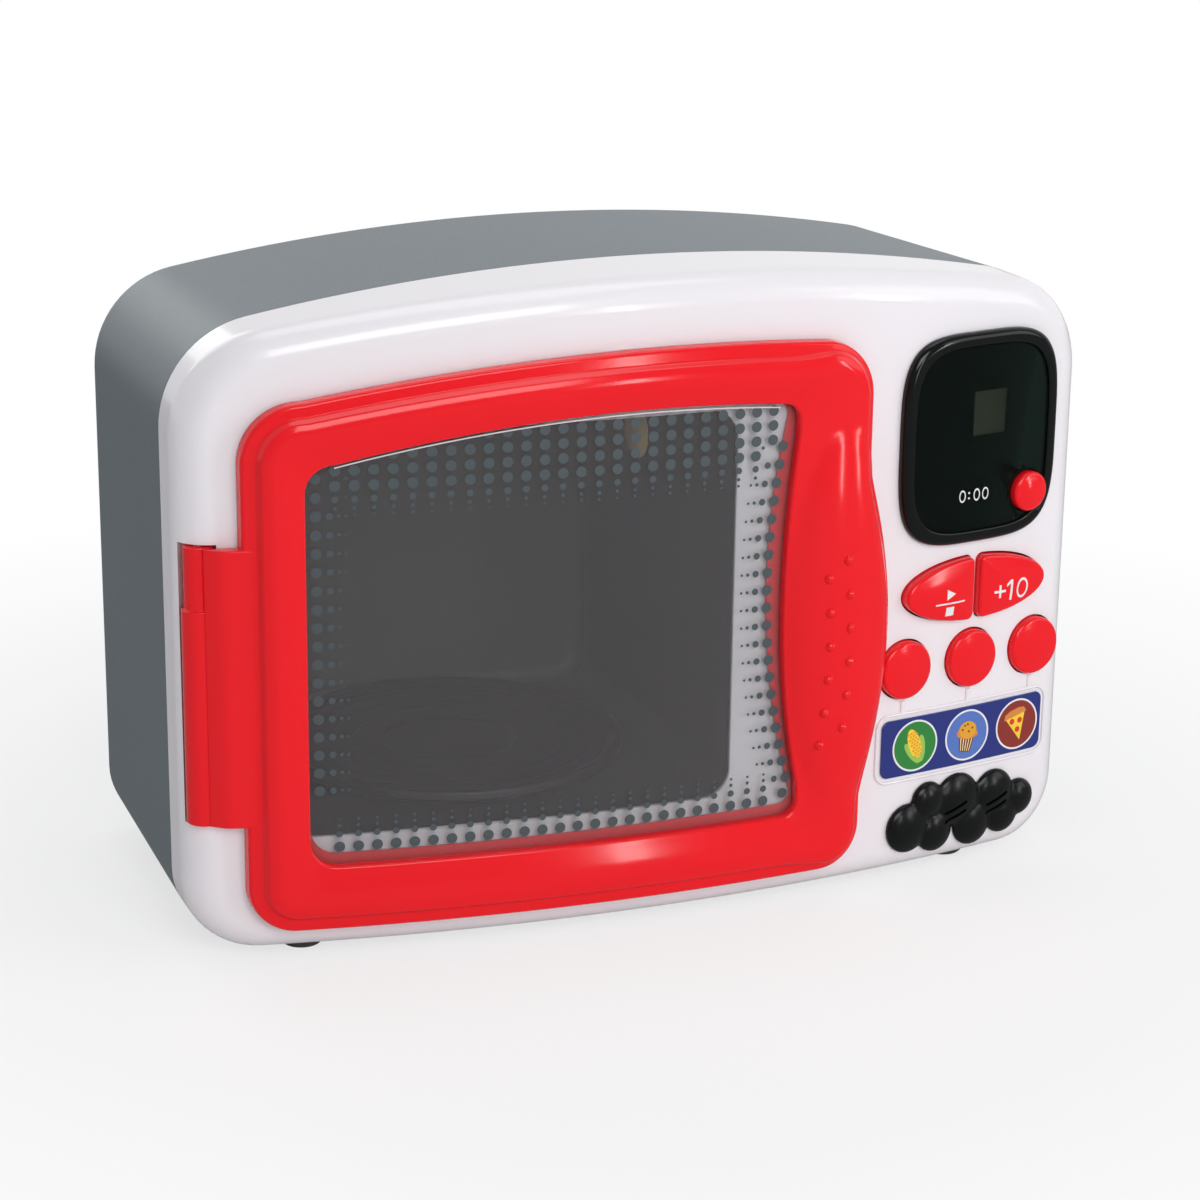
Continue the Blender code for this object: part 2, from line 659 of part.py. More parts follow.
def shell_outline(inset):
    """The housing's outline, anticlockwise from the lower left, drawn in by the inset."""
    half = SHELL_WIDTH / 2
    low_x = half - SHELL_LOW_RADIUS
    low_z = SHELL_BOTTOM + SHELL_LOW_RADIUS
    low_radius = SHELL_LOW_RADIUS - inset
    high_x, high_z = high_corner()
    high_radius = SHELL_HIGH_RADIUS - inset
    lean = math.degrees(math.atan2(high_x, high_z - arch_centre_z()))
    bottom = SHELL_BOTTOM + inset
    side = half - inset
    return (
        line(-low_x, bottom, low_x, bottom, 8)
        + arc(low_x, low_z, low_radius, -90, 0, CORNER_STEPS)
        + line(side, low_z, side, high_z, 3)
        + arc(high_x, high_z, high_radius, 0, 90 - lean, CORNER_STEPS)
        + arc(0, arch_centre_z(), SHELL_ARCH_RADIUS - inset, 90 - lean, 90 + lean, 8)
        + arc(-high_x, high_z, high_radius, 90 + lean, 180, CORNER_STEPS)
        + line(-side, high_z, -side, low_z, 3)
        + arc(-low_x, low_z, low_radius, 180, 270, CORNER_STEPS)
    )


def edge_round(inset, radius):
    """How far back the rounded edge lies at an inset from the outline."""
    short = max(radius - inset, 0)
    return radius - math.sqrt(radius ** 2 - short ** 2)


def inset_at(x, z):
    """Distance from the housing's outline, inwards."""
    across = abs(x)
    low_x = SHELL_WIDTH / 2 - SHELL_LOW_RADIUS
    low_z = SHELL_BOTTOM + SHELL_LOW_RADIUS
    high_x, high_z = high_corner()
    if across > low_x and z < low_z:
        return SHELL_LOW_RADIUS - math.hypot(across - low_x, z - low_z)
    if across > high_x and z > high_z:
        return SHELL_HIGH_RADIUS - math.hypot(across - high_x, z - high_z)
    top = SHELL_ARCH_RADIUS - math.hypot(across, z - arch_centre_z())
    return min(SHELL_WIDTH / 2 - across, z - SHELL_BOTTOM, top)


def front_y(x, z, height=0.0):
    """Y of a point that stands out from the front by the height, rounded edge included."""
    return bow(x) + edge_round(max(inset_at(x, z), 0), FRONT_EDGE_RADIUS) - height


def on_front(points, height):
    return [(x, front_y(x, z, height), z) for x, z in points]


# Housing


def shell_centre_z():
    return (SHELL_BOTTOM + SHELL_TOP) / 2


def front_rings(inset_more=0.0):
    """Rings of the front half's outer skin, from the seam over the rounded edge to the face."""
    rings = [[(x, SEAM_Y, z) for x, z in shell_outline(inset_more)]]
    for i in range(EDGE_STEPS + 1):
        angle = math.pi / 2 * i / EDGE_STEPS
        inset = FRONT_EDGE_RADIUS * (1 - math.cos(angle))
        back = FRONT_EDGE_RADIUS * (1 - math.sin(angle))
        rings.append([(x, bow(x) + back, z) for x, z in shell_outline(inset)])
    middle = shell_centre_z()
    for share in FACE_RING_SHARES:
        ring = []
        for x, z in shell_outline(FRONT_EDGE_RADIUS):
            ring.append((x * share, bow(x * share), middle + (z - middle) * share))
        rings.append(ring)
    return rings


def solidify(obj, thickness):
    modifier = obj.modifiers.new("wall", "SOLIDIFY")
    modifier.thickness = thickness
    modifier.offset = -1
    modifier.use_even_offset = True
    return obj


def cavity_outline(margin=0.0):
    return rounded_rectangle(
        CAVITY_LEFT - margin, CAVITY_BOTTOM - margin, CAVITY_RIGHT + margin, CAVITY_TOP + margin,
        CAVITY_CORNER + margin, 4,
    )


def hinge_axis():
    x = -SHELL_WIDTH / 2 + HINGE_INSET
    return x, bow(x) + HINGE_SINK


def hinge_block(collection):
    """The solid corner that the hinge pin sits in: it follows the bowed wall inside the front half."""
    left = -SHELL_WIDTH / 2 + SHELL_WALL / 2
    right = left + HINGE_BLOCK_REACH
    steps = 6
    front = []
    for i in range(steps + 1):
        x = left + (right - left) * i / steps
        front.append((x, front_y(x, KNUCKLE_STEP_Z) + SHELL_WALL / 2))
    rear = hinge_axis()[1] + HINGE_BLOCK_REAR
    outline = front + [(right, rear), (left, rear)]
    low = KNUCKLE_BOTTOM - HINGE_BLOCK_WALL
    high = KNUCKLE_TOP + HINGE_BLOCK_WALL
    mesh = prism("hinge_block", outline, low, high)
    return as_cutter(new_object("hinge_block", mesh, collection))


def hinge_notch(collection, root):
    """Room for the door's knuckle to turn, and the hole for its pin, open at the top end."""
    x, y = hinge_axis()
    low = KNUCKLE_BOTTOM - KNUCKLE_CLEARANCE
    high = KNUCKLE_TOP + KNUCKLE_CLEARANCE
    mesh = cylinder_mesh("hinge_notch", KNUCKLE_RADIUS + KNUCKLE_CLEARANCE, low, high, ROUND_STEPS)
    place(as_cutter(new_object("hinge_notch", mesh, collection)), (x, y, 0), parent=root)
    top = KNUCKLE_TOP + HINGE_BLOCK_WALL + OVERRUN
    mesh = cylinder_mesh(
        "hinge_pin_hole", HINGE_PIN_RADIUS + GAP, KNUCKLE_BOTTOM - HINGE_PIN_HOLD - GAP, top, 16,
    )
    place(as_cutter(new_object("hinge_pin_hole", mesh, collection)), (x, y, 0), parent=root)


def post_places():
    return (
        (-POST_LOW_X, POST_LOW_Z), (POST_LOW_X, POST_LOW_Z),
        (-POST_HIGH_X, POST_HIGH_Z), (POST_HIGH_X, POST_HIGH_Z),
    )


def along_y(name, radius, x, z, y0, y1, collection, root, steps=16):
    """A helper cylinder that runs along Y."""
    mesh = cylinder_mesh(name, radius, -y1, -y0, steps)
    return place(as_cutter(new_object(name, mesh, collection)), parent=root, **facing(x, z))


def front_posts(joins, cuts, root):
    for i, (x, z) in enumerate(post_places(), 1):
        start = bow(x) + SHELL_WALL / 2
        along_y(f"front_post_{i}", POST_RADIUS, x, z, start, POST_JOINT_Y, joins, root, 12)
        depth = POST_JOINT_Y - CASE_SCREW_REACH - GAP
        along_y(
            f"front_post_hole_{i}", CASE_SCREW_RADIUS + GAP, x, z, depth, POST_JOINT_Y + OVERRUN, cuts, root,
            8,
        )


def squircle(inset=0.0, points=DISPLAY_POINTS):
    """The display's outline round its own middle, anticlockwise."""
    outline = []
    power = 2 / DISPLAY_POWER
    for i in range(points):
        angle = 2 * math.pi * i / points
        cos, sin = math.cos(angle), math.sin(angle)
        x = math.copysign(abs(cos) ** power, cos) * (DISPLAY_HALF_WIDTH - inset)
        z = math.copysign(abs(sin) ** power, sin) * (DISPLAY_HALF_HEIGHT - inset)
        outline.append((x, z))
    return outline


def wide_outline(side, grow=0.0):
    """One half of the split oval, with soft corners at its flat side. The side is -1 left or 1 right."""
    flat = WIDE_GAP / 2
    corner = WIDE_HALF_HEIGHT * 2 * WIDE_CORNER_SHARE
    limit = math.acos(min((flat + corner) / WIDE_HALF_WIDTH, 1))
    points = []
    for i in range(WIDE_POINTS + 1):
        angle = -limit + 2 * limit * i / WIDE_POINTS
        points.append((WIDE_HALF_WIDTH * math.cos(angle), WIDE_HALF_HEIGHT * math.sin(angle)))
    edge_z = WIDE_HALF_HEIGHT * math.sin(limit) - corner
    middle_x = flat + corner
    points += arc(middle_x, edge_z, corner, 90, 180, 4)[1:]
    points += arc(middle_x, -edge_z, corner, 180, 270, 4)
    if side < 0:
        points = [(-x, z) for x, z in reversed(points)]
    return offset_outline(points, grow) if grow else points


def panel_slope():
    return math.asin(PANEL_X / BOW_RADIUS)


def sag(u):
    """How far the bowed front falls behind the panel's plane, u to its side."""
    return bow(u)


def add_panel(root):
    panel = bpy.data.objects.new("control_panel", None)
    bpy.context.scene.collection.objects.link(panel)
    place(panel, (PANEL_X, bow(PANEL_X), 0), (0, 0, panel_slope()), root)
    return panel


def panel_cuts(cuts, joins, panel):
    """Holes for the display and buttons, sound holes, and the posts that carry the board."""
    deep = BEZEL_PLUG_DEPTH + OVERRUN
    plug = prism("display_hole", squircle(BEZEL_PLUG_INSET - GAP), -deep, OVERRUN)
    place(as_cutter(new_object("display_hole", plug, cuts)), parent=panel, **facing(DISPLAY_U, DISPLAY_Z))
    for i, u in enumerate((-FOOD_SPREAD, 0, FOOD_SPREAD), 1):
        along_y(
            f"food_hole_{i}", FOOD_RADIUS + BUTTON_CLEARANCE, u, FOOD_Z, -OVERRUN, deep, cuts, panel,
            ROUND_STEPS,
        )
    for name, side in (("left", -1), ("right", 1)):
        hole = prism(f"wide_hole_{name}", wide_outline(side, BUTTON_CLEARANCE), -deep, OVERRUN)
        place(as_cutter(new_object(f"wide_hole_{name}", hole, cuts)), parent=panel, **facing(0, WIDE_Z))
    for i, (u, z) in enumerate(BOARD_HOLES[:2], 1):
        along_y(
            f"board_post_{i}", BOARD_BOSS_RADIUS, u, z, SHELL_WALL / 2, BOARD_DEPTH - GAP, joins, panel, 14,
        )
        start = BOARD_DEPTH + BOARD_THICKNESS - BOARD_SCREW_REACH - GAP
        along_y(
            f"board_post_hole_{i}", BOARD_SCREW_RADIUS + GAP, u, z, start, BOARD_DEPTH + OVERRUN, cuts, panel,
            10,
        )
    ring = turned(
        "speaker_ring",
        [
            (SPEAKER_RADIUS + GAP + SPEAKER_RING_WALL, -SHELL_WALL * 0.75),
            (SPEAKER_RADIUS + GAP + SPEAKER_RING_WALL, -SHELL_WALL - SPEAKER_RING_DEPTH),
            (SPEAKER_RADIUS + GAP, -SHELL_WALL - SPEAKER_RING_DEPTH),
            (SPEAKER_RADIUS + GAP, -SHELL_WALL * 0.75),
        ],
        joins, closed=True, steps=20,
    )
    place(as_cutter(ring), parent=panel, **facing(0, SPEAKER_Z))
    for i, side in enumerate((-1, 0, 1), 1):
        along_y(
            f"sound_hole_{i}", SOUND_HOLE_RADIUS, side * SOUND_HOLE_PITCH, COVER_Z, -OVERRUN, deep, cuts,
            panel, 8,
        )
    for i, side in enumerate((-1, 1), 1):
        along_y(
            f"cover_peg_hole_{i}", COVER_PEG_RADIUS + GAP, side * COVER_PEG_U, COVER_PEG_Z, -OVERRUN, deep,
            cuts,
            panel, 12,
        )


def label_outline(grow=0.0):
    return rounded_rectangle(
        LABEL_LEFT - grow, LABEL_BOTTOM - grow, LABEL_RIGHT + grow, LABEL_TOP + grow, LABEL_CORNER + grow, 4,
    )


def dense(outline, longest):
    """The same closed outline with points no further apart than the given length."""
    points = []
    for i, (x, z) in enumerate(outline):
        nx, nz = outline[(i + 1) % len(outline)]
        steps = max(1, math.ceil(math.hypot(nx - x, nz - z) / longest))
        points += line(x, z, nx, nz, steps)
    return points


def label_rail(joins, root):
    """The raised line round the label, with a short bar up to each food button."""
    base = dense(label_outline(RAIL_GAP), CAVITY_CORNER * 2)
    wide = offset_outline(base, RAIL_WIDTH)
    rings = [
        on_front(wide, -EMBED), on_front(wide, RAIL_HEIGHT), on_front(base, RAIL_HEIGHT),
        on_front(base, -EMBED),
    ]
    rail = as_cutter(new_object("label_rail", loft("label_rail", rings, loop=True), joins))
    place(rail, parent=root)
    for i, u in enumerate((-FOOD_SPREAD, 0, FOOD_SPREAD), 1):
        x = PANEL_X + u * math.cos(panel_slope())
        low = LABEL_TOP + RAIL_GAP + RAIL_WIDTH / 2
        high = FOOD_Z - FOOD_RADIUS - BUTTON_CLEARANCE * 2
        left, right = x - STEM_RAIL_WIDTH / 2, x + STEM_RAIL_WIDTH / 2
        near = on_front([(left, low), (right, low), (right, high), (left, high)], RAIL_HEIGHT)
        far = [(px, py + RAIL_HEIGHT + EMBED, pz) for px, py, pz in near]
        mesh = loft(f"stem_rail_{i}", [near, far], "flat", "flat")
        place(as_cutter(new_object(f"stem_rail_{i}", mesh, joins)), parent=root)


def foot_places():
    return (
        (-FOOT_X, FOOT_FRONT_Y), (FOOT_X, FOOT_FRONT_Y), (-FOOT_X, FOOT_BACK_Y), (FOOT_X, FOOT_BACK_Y),
    )


def foot_hole(i, x, y, cuts, root):
    mesh = cylinder_mesh(
        f"foot_hole_{i}", FOOT_PEG_RADIUS + GAP, -OVERRUN, SHELL_BOTTOM + SHELL_WALL + OVERRUN, 14,
    )
    place(as_cutter(new_object(f"foot_hole_{i}", mesh, cuts)), (x, y, 0), parent=root)


def add_front_shell(parts, cutters, root, panel, material):
    mesh = loft("front_shell", front_rings(), end=(0, 0, shell_centre_z()), smooth_below=50)
    shell = place(new_object("front_shell", mesh, parts, material), parent=root)
    solidify(shell, SHELL_WALL)
    joins = new_collection("front_shell_joins", cutters)
    cuts = new_collection("front_shell_cuts", cutters)
    place(hinge_block(joins), parent=root)
    hinge_notch(cuts, root)
    front_posts(joins, cuts, root)
    label_rail(joins, root)
    panel_cuts(cuts, joins, panel)
    opening = prism("cavity_opening", cavity_outline(), -SEAM_Y, OVERRUN)
    place(as_cutter(new_object("cavity_opening", opening, cuts)), parent=root, **facing())
    latch = box_mesh(
        "latch_slot",
        (
            LATCH_X - LATCH_WIDTH / 2 - LATCH_SIDE_CLEARANCE, -OVERRUN,
            LATCH_Z - LATCH_HEIGHT / 2 - LATCH_END_CLEARANCE,
        ),
        (
            LATCH_X + LATCH_WIDTH / 2 + LATCH_SIDE_CLEARANCE, SEAM_Y / 2,
            LATCH_Z + LATCH_HEIGHT / 2 + LATCH_END_CLEARANCE,
        ),
    )
    place(as_cutter(new_object("latch_slot", latch, cuts)), parent=root)
    for name, x, z, radius in (
        ("sensor_hole", SENSOR_HOLE_X, SENSOR_HOLE_Z, SENSOR_HOLE_RADIUS),
        ("drain_hole", DRAIN_HOLE_X, DRAIN_HOLE_Z, DRAIN_HOLE_RADIUS),
    ):
        along_y(name, radius, x, z, -OVERRUN, SEAM_Y / 2, cuts, root)
    for i, (x, y) in enumerate(foot_places()[:2], 1):
        foot_hole(i, x, y, cuts, root)
    boolean(shell, joins, "UNION")
    boolean(shell, cuts, "DIFFERENCE")
    return shell


def back_rings():
    """Rings of the rear half's outer skin, from the seam to the flat back, tapered but for the flat base."""
    seam = SEAM_Y + GAP
    narrow = 1 - BACK_DRAFT * 2 / SHELL_WIDTH
    low = 1 - BACK_DRAFT / (SHELL_TOP - SHELL_BOTTOM)
    rings = [[(x, seam, z) for x, z in shell_outline(0)]]
    for i in range(EDGE_STEPS + 1):
        angle = math.pi / 2 * i / EDGE_STEPS
        inset = BACK_EDGE_RADIUS * (1 - math.cos(angle))
        y = BACK_Y - BACK_EDGE_RADIUS * (1 - math.sin(angle))
        rings.append(
            [(x * narrow, y, SHELL_BOTTOM + (z - SHELL_BOTTOM) * low) for x, z in shell_outline(inset)]
        )
    return list(reversed(rings))


def seam_lip(joins, root):
    """The thin lip of the rear half that locates it inside the front half."""
    near = SEAM_Y - LIP_REACH
    step = SEAM_Y + GAP + EMBED
    far = step + LIP_ROOT
    free = SHELL_WALL + GAP
    inner = free + LIP_THICKNESS
    buried = SHELL_WALL / 2
    section = ((free, near), (free, step), (buried, step + EMBED), (inner, far), (inner, near))
    rings = [[(x, y, z) for x, z in shell_outline(inset)] for inset, y in section]
    mesh = loft("seam_lip", rings, loop=True)
    place(as_cutter(new_object("seam_lip", mesh, joins)), parent=root)


def rear_posts(joins, cuts, root):
    wall = BACK_Y - SHELL_WALL / 2
    start = POST_JOINT_Y + GAP
    seat = start + CASE_SCREW_SEAT
    for i, (x, z) in enumerate(post_places(), 1):
        along_y(f"rear_post_{i}", REAR_POST_RADIUS, x, z, start, wall, joins, root, 14)
        along_y(
            f"rear_post_bore_{i}", CASE_SCREW_HEAD_RADIUS + CASE_SCREW_CLEARANCE, x, z, seat,
            BACK_Y + OVERRUN,
            cuts, root, 12,
        )
        along_y(
            f"rear_post_hole_{i}", CASE_SCREW_RADIUS + CASE_SCREW_CLEARANCE, x, z, start - OVERRUN,
            seat + OVERRUN,
            cuts, root, 8,
        )
    middle = (CAVITY_LEFT + CAVITY_RIGHT) / 2
    for i, side in enumerate((-1, 1), 1):
        along_y(
            f"liner_pad_{i}", LINER_PAD_RADIUS, middle + side * LINER_PAD_SPREAD, LINER_PAD_Z,
            LINER_BACK + GAP, wall,
            joins, root,
        )


def hatch_box():
    """Left, bottom, right and top of the battery hatch's opening in the back."""
    inner_left, inner_bottom, inner_right, inner_top = battery_pocket()
    return (
        inner_left - HATCH_MARGIN, inner_bottom - HATCH_MARGIN, inner_right + HATCH_MARGIN,
        inner_top + BOX_SCREW_LAND - HATCH_MARGIN,
    )


def add_rear_shell(parts, cutters, root, material):
    mesh = loft("rear_shell", back_rings(), start="flat", smooth_below=50)
    mesh.flip_normals()
    bm = bmesh.new()
    bm.from_mesh(mesh)
    flat = max(bm.faces, key=lambda face: face.calc_area())
    if flat.normal.y < 0:
        bmesh.ops.reverse_faces(bm, faces=bm.faces)
    bm.to_mesh(mesh)
    bm.free()
    shell = place(new_object("rear_shell", mesh, parts, material), parent=root)
    solidify(shell, SHELL_WALL)
    joins = new_collection("rear_shell_joins", cutters)
    cuts = new_collection("rear_shell_cuts", cutters)
    seam_lip(joins, root)
    rear_posts(joins, cuts, root)
    hatch = prism(
        "hatch_opening", rounded_rectangle(*hatch_box(), HATCH_CORNER, 4), -BACK_Y - OVERRUN,
        -BACK_Y + SHELL_WALL + EMBED,
    )
    place(as_cutter(new_object("hatch_opening", hatch, cuts)), parent=root, **facing())
    for i, (x, y) in enumerate(foot_places()[2:], 3):
        foot_hole(i, x, y, cuts, root)
    boolean(shell, joins, "UNION")
    boolean(shell, cuts, "DIFFERENCE")
    return shell


def add_case_screws(parts, root, material):
    seat = POST_JOINT_Y + GAP + CASE_SCREW_SEAT + GAP
    for i, (x, z) in enumerate(post_places(), 1):
        profile = [
            (0, CASE_SCREW_HEAD_HEIGHT),
            (CASE_SCREW_HEAD_RADIUS * 0.7, CASE_SCREW_HEAD_HEIGHT * 0.85),
            (CASE_SCREW_HEAD_RADIUS, CASE_SCREW_HEAD_HEIGHT * 0.35),
            (CASE_SCREW_HEAD_RADIUS, 0),
            (CASE_SCREW_RADIUS, 0),
            (CASE_SCREW_RADIUS, -(seat - POST_JOINT_Y + CASE_SCREW_REACH - CASE_SCREW_RADIUS)),
            (0, -(seat - POST_JOINT_Y + CASE_SCREW_REACH)),
        ]
        screw = turned(f"case_screw_{i}", profile, parts, material, 10)
        place(screw, (x, seat, z), (-math.pi / 2, 0, 0), root)


def add_feet(parts, root, material):
    top = SHELL_BOTTOM - GAP
    for i, (x, y) in enumerate(foot_places(), 1):
        profile = [
            (0, SHELL_BOTTOM + SHELL_WALL + FOOT_PEG_REACH),
            (FOOT_PEG_RADIUS, SHELL_BOTTOM + SHELL_WALL + FOOT_PEG_REACH),
            (FOOT_PEG_RADIUS, top), (FOOT_RADIUS, top), (FOOT_RADIUS, FOOT_EDGE),
            (FOOT_RADIUS - FOOT_EDGE, 0), (0, 0),
        ]
        place(turned(f"foot_{i}", profile, parts, material, 14), (x, y, 0), parent=root)


# Cavity


def add_liner(parts, cutters, root, material):
    """The cavity's box: open at the front, drawn in slightly towards the back, with a flange at the front."""
    outline = cavity_outline(LINER_MARGIN)
    middle_x = (CAVITY_LEFT + CAVITY_RIGHT) / 2
    middle_z = (CAVITY_BOTTOM + CAVITY_TOP) / 2
    back = LINER_BACK - LINER_WALL

    def ring(y, share, inset):
        points = offset_outline(outline, -inset)
        return [(middle_x + (x - middle_x) * share, y, middle_z + (z - middle_z) * share) for x, z in points]

    rings = [ring(-OVERRUN, 1.0, 0)]
    for i in range(4):
        angle = math.pi / 2 * i / 3
        inset = CAVITY_CORNER * 0.6 * (1 - math.cos(angle))
        rings.append(ring(back - CAVITY_CORNER * 0.6 * (1 - math.sin(angle)), LINER_TAPER_SHARE, inset))
    mesh = loft("cavity_liner", rings, end="flat")
    bm = bmesh.new()
    bm.from_mesh(mesh)
    end = max(bm.faces, key=lambda face: face.calc_area())
    if end.normal.y < 0:
        bmesh.ops.reverse_faces(bm, faces=bm.faces)
    bm.to_mesh(mesh)
    bm.free()
    liner = place(new_object("cavity_liner", mesh, parts, material), parent=root)
    wall = liner.modifiers.new("wall", "SOLIDIFY")
    wall.thickness = LINER_WALL
    wall.offset = 1
    wall.use_even_offset = True
    joins = new_collection("liner_joins", cutters)
    cuts = new_collection("liner_cuts", cutters)
    add_liner_flange(joins, root)
    slab = [(-SHELL_WIDTH / 2, -SEAM_Y), (SHELL_WIDTH / 2, -SEAM_Y)]
    count = 16
    for i in range(count + 1):
        x = SHELL_WIDTH / 2 - SHELL_WIDTH * i / count
        slab.append((x, bow(x) + SHELL_WALL + GAP * 2))
    front = prism("liner_front_cut", slab, 0, SHELL_TOP)
    place(as_cutter(new_object("liner_front_cut", front, cuts)), parent=root)
    hole = cylinder_mesh(
        "shaft_hole", TABLE_SHAFT_RADIUS + RUNNING_GAP, CAVITY_BOTTOM - LINER_WALL - OVERRUN,
        CAVITY_BOTTOM + OVERRUN, 20,
    )
    place(as_cutter(new_object("shaft_hole", hole, cuts)), (middle_x, TABLE_Y, 0), parent=root)
    lamp = cylinder_mesh("lamp_hole", LAMP_DOME_RADIUS + GAP, -OVERRUN, OVERRUN, FINE_STEPS)
    place(
        as_cutter(new_object("lamp_hole", lamp, cuts)), (liner_right(LAMP_Y), LAMP_Y, LAMP_Z),
        (0, math.pi / 2, 0), root,
    )
    boolean(liner, joins, "UNION")
    boolean(liner, cuts, "DIFFERENCE")
    return liner


def liner_share(y):
    """How far the liner's walls are drawn in at y, as a share of their size at the front."""
    back = LINER_BACK - LINER_WALL - CAVITY_CORNER * 0.6
    return 1 + (LINER_TAPER_SHARE - 1) * (y + OVERRUN) / (back + OVERRUN)


def liner_right(y):
    """X of the liner's inner right wall at y."""
    middle = (CAVITY_LEFT + CAVITY_RIGHT) / 2
    return middle + (CAVITY_RIGHT + LINER_MARGIN - middle) * liner_share(y)


def liner_floor(y):
    """Z of the liner's inner floor at y."""
    middle = (CAVITY_BOTTOM + CAVITY_TOP) / 2
    return middle + (CAVITY_BOTTOM - LINER_MARGIN - middle) * liner_share(y)


def add_liner_flange(joins, root):
    """A band round the liner's front that follows the bow behind the housing's wall."""
    inner = dense(cavity_outline(LINER_MARGIN + LINER_WALL / 2), CAVITY_CORNER * 3)
    outer = offset_outline(inner, LINER_FLANGE)
    near = SHELL_WALL + GAP * 2
    far = near + LINER_FLANGE_DEPTH
    rings = []
    for outline, depth in ((inner, near), (outer, near), (outer, far), (inner, far)):
        rings.append([(x, bow(x) + depth, z) for x, z in outline])
    mesh = loft("liner_flange", rings, loop=True)
    place(as_cutter(new_object("liner_flange", mesh, joins)), parent=root)


def add_turntable(parts, root, material, metal):
    """A dished disc on a stub shaft that a ring clip holds under the cavity's floor."""
    x = (CAVITY_LEFT + CAVITY_RIGHT) / 2
    floor = max(
        liner_floor(TABLE_Y - TABLE_RADIUS), liner_floor(TABLE_Y), liner_floor(TABLE_Y + TABLE_RADIUS),
    )
    under = floor + RUNNING_GAP
    low = under + TABLE_LIFT
    top = low + TABLE_THICKNESS
    rim = top + TABLE_RIM_HEIGHT
    below = liner_floor(TABLE_Y) - LINER_WALL
    groove = below - RUNNING_GAP
    end = below - TABLE_SHAFT_REACH
    inner = TABLE_RADIUS - TABLE_RIM_WIDTH

    profile = [
        (0, top - TABLE_WELL_DEPTH), (TABLE_WELL_RADIUS, top - TABLE_WELL_DEPTH),
        (TABLE_WELL_RADIUS + TABLE_WELL_DEPTH * 2, top), (inner - TABLE_RIM_HEIGHT, top),
        (inner, rim - TABLE_RIM_HEIGHT * 0.3), (inner + TABLE_RIM_WIDTH * 0.4, rim),
        (TABLE_RADIUS, rim - TABLE_RIM_HEIGHT * 0.25), (TABLE_RADIUS, top - TABLE_THICKNESS * 0.4),
        (inner, low), (TABLE_SHAFT_RADIUS * 2, low), (TABLE_SHAFT_RADIUS, under),
        (TABLE_SHAFT_RADIUS, groove), (TABLE_SHAFT_RADIUS - TABLE_GROOVE_DEPTH, groove),
        (TABLE_SHAFT_RADIUS - TABLE_GROOVE_DEPTH, groove - TABLE_GROOVE_WIDTH),
        (TABLE_SHAFT_RADIUS, groove - TABLE_GROOVE_WIDTH), (TABLE_SHAFT_RADIUS, end), (0, end),
    ]
    place(turned("turntable", profile, parts, material, 28), (x, TABLE_Y, 0), parent=root)
    bore = TABLE_SHAFT_RADIUS - TABLE_GROOVE_DEPTH + GAP
    opening = math.asin(CLIP_SLOT / 2 / CLIP_RADIUS)
    outer = arc(0, 0, CLIP_RADIUS, math.degrees(opening), 360 - math.degrees(opening), 20)
    inner_opening = math.asin(CLIP_SLOT / 2 / bore)
    inner_arc = arc(0, 0, bore, 360 - math.degrees(inner_opening), math.degrees(inner_opening), 16)
    clip = prism("turntable_clip", outer + inner_arc, groove - TABLE_GROOVE_WIDTH + GAP, groove - GAP)
    place(new_object("turntable_clip", clip, parts, metal), (x, TABLE_Y, 0), parent=root)


def add_lamp(parts, root, clear, bulb):
    """A domed lamp window in the cavity's right wall, with the light source in its socket."""
    wall = LINER_WALL
    back = -wall - LAMP_FLANGE_THICKNESS - GAP * 2
    profile = [
        (0, LAMP_DOME_HEIGHT), (LAMP_DOME_RADIUS * 0.5, LAMP_DOME_HEIGHT * 0.86),
        (LAMP_DOME_RADIUS * 0.86, LAMP_DOME_HEIGHT * 0.45), (LAMP_DOME_RADIUS, 0),
        (LAMP_DOME_RADIUS, -wall - GAP * 2),
        (LAMP_FLANGE_RADIUS, -wall - GAP * 2), (LAMP_FLANGE_RADIUS, back), (LAMP_SOCKET_RADIUS, back),
        (LAMP_SOCKET_RADIUS, back - LAMP_SOCKET_LENGTH), (LED_RADIUS + GAP, back - LAMP_SOCKET_LENGTH),
        (LED_RADIUS + GAP, -wall), (0, -wall),
    ]
    rotation = (0, -math.pi / 2, 0)
    place(
        turned("lamp_lens", profile, parts, clear, FINE_STEPS), (liner_right(LAMP_Y), LAMP_Y, LAMP_Z),
        rotation, root,
    )
    end = back - LAMP_SOCKET_LENGTH - GAP
    profile = [
        (0, end + LED_LENGTH), (LED_RADIUS * 0.7, end + LED_LENGTH - LED_RADIUS * 0.3),
        (LED_RADIUS, end + LED_LENGTH - LED_RADIUS), (LED_RADIUS, end), (LED_RIM_RADIUS, end),
        (LED_RIM_RADIUS, end - LED_RIM_LENGTH), (0, end - LED_RIM_LENGTH),
    ]
    place(turned("lamp_led", profile, parts, bulb, 16), (liner_right(LAMP_Y), LAMP_Y, LAMP_Z), rotation, root)


# Door


def bulge(z):
    """How far the handle pushes the door's right edge out at a height."""
    reach = 1 - ((z - BULGE_Z) / BULGE_HALF) ** 2
    return BULGE * max(reach, 0) ** BULGE_POWER


def waist(z):
    """How far the window's right edge is drawn in at a height."""
    return WAIST * max(1 - ((z - WAIST_Z) / WAIST_HALF) ** 2, 0)


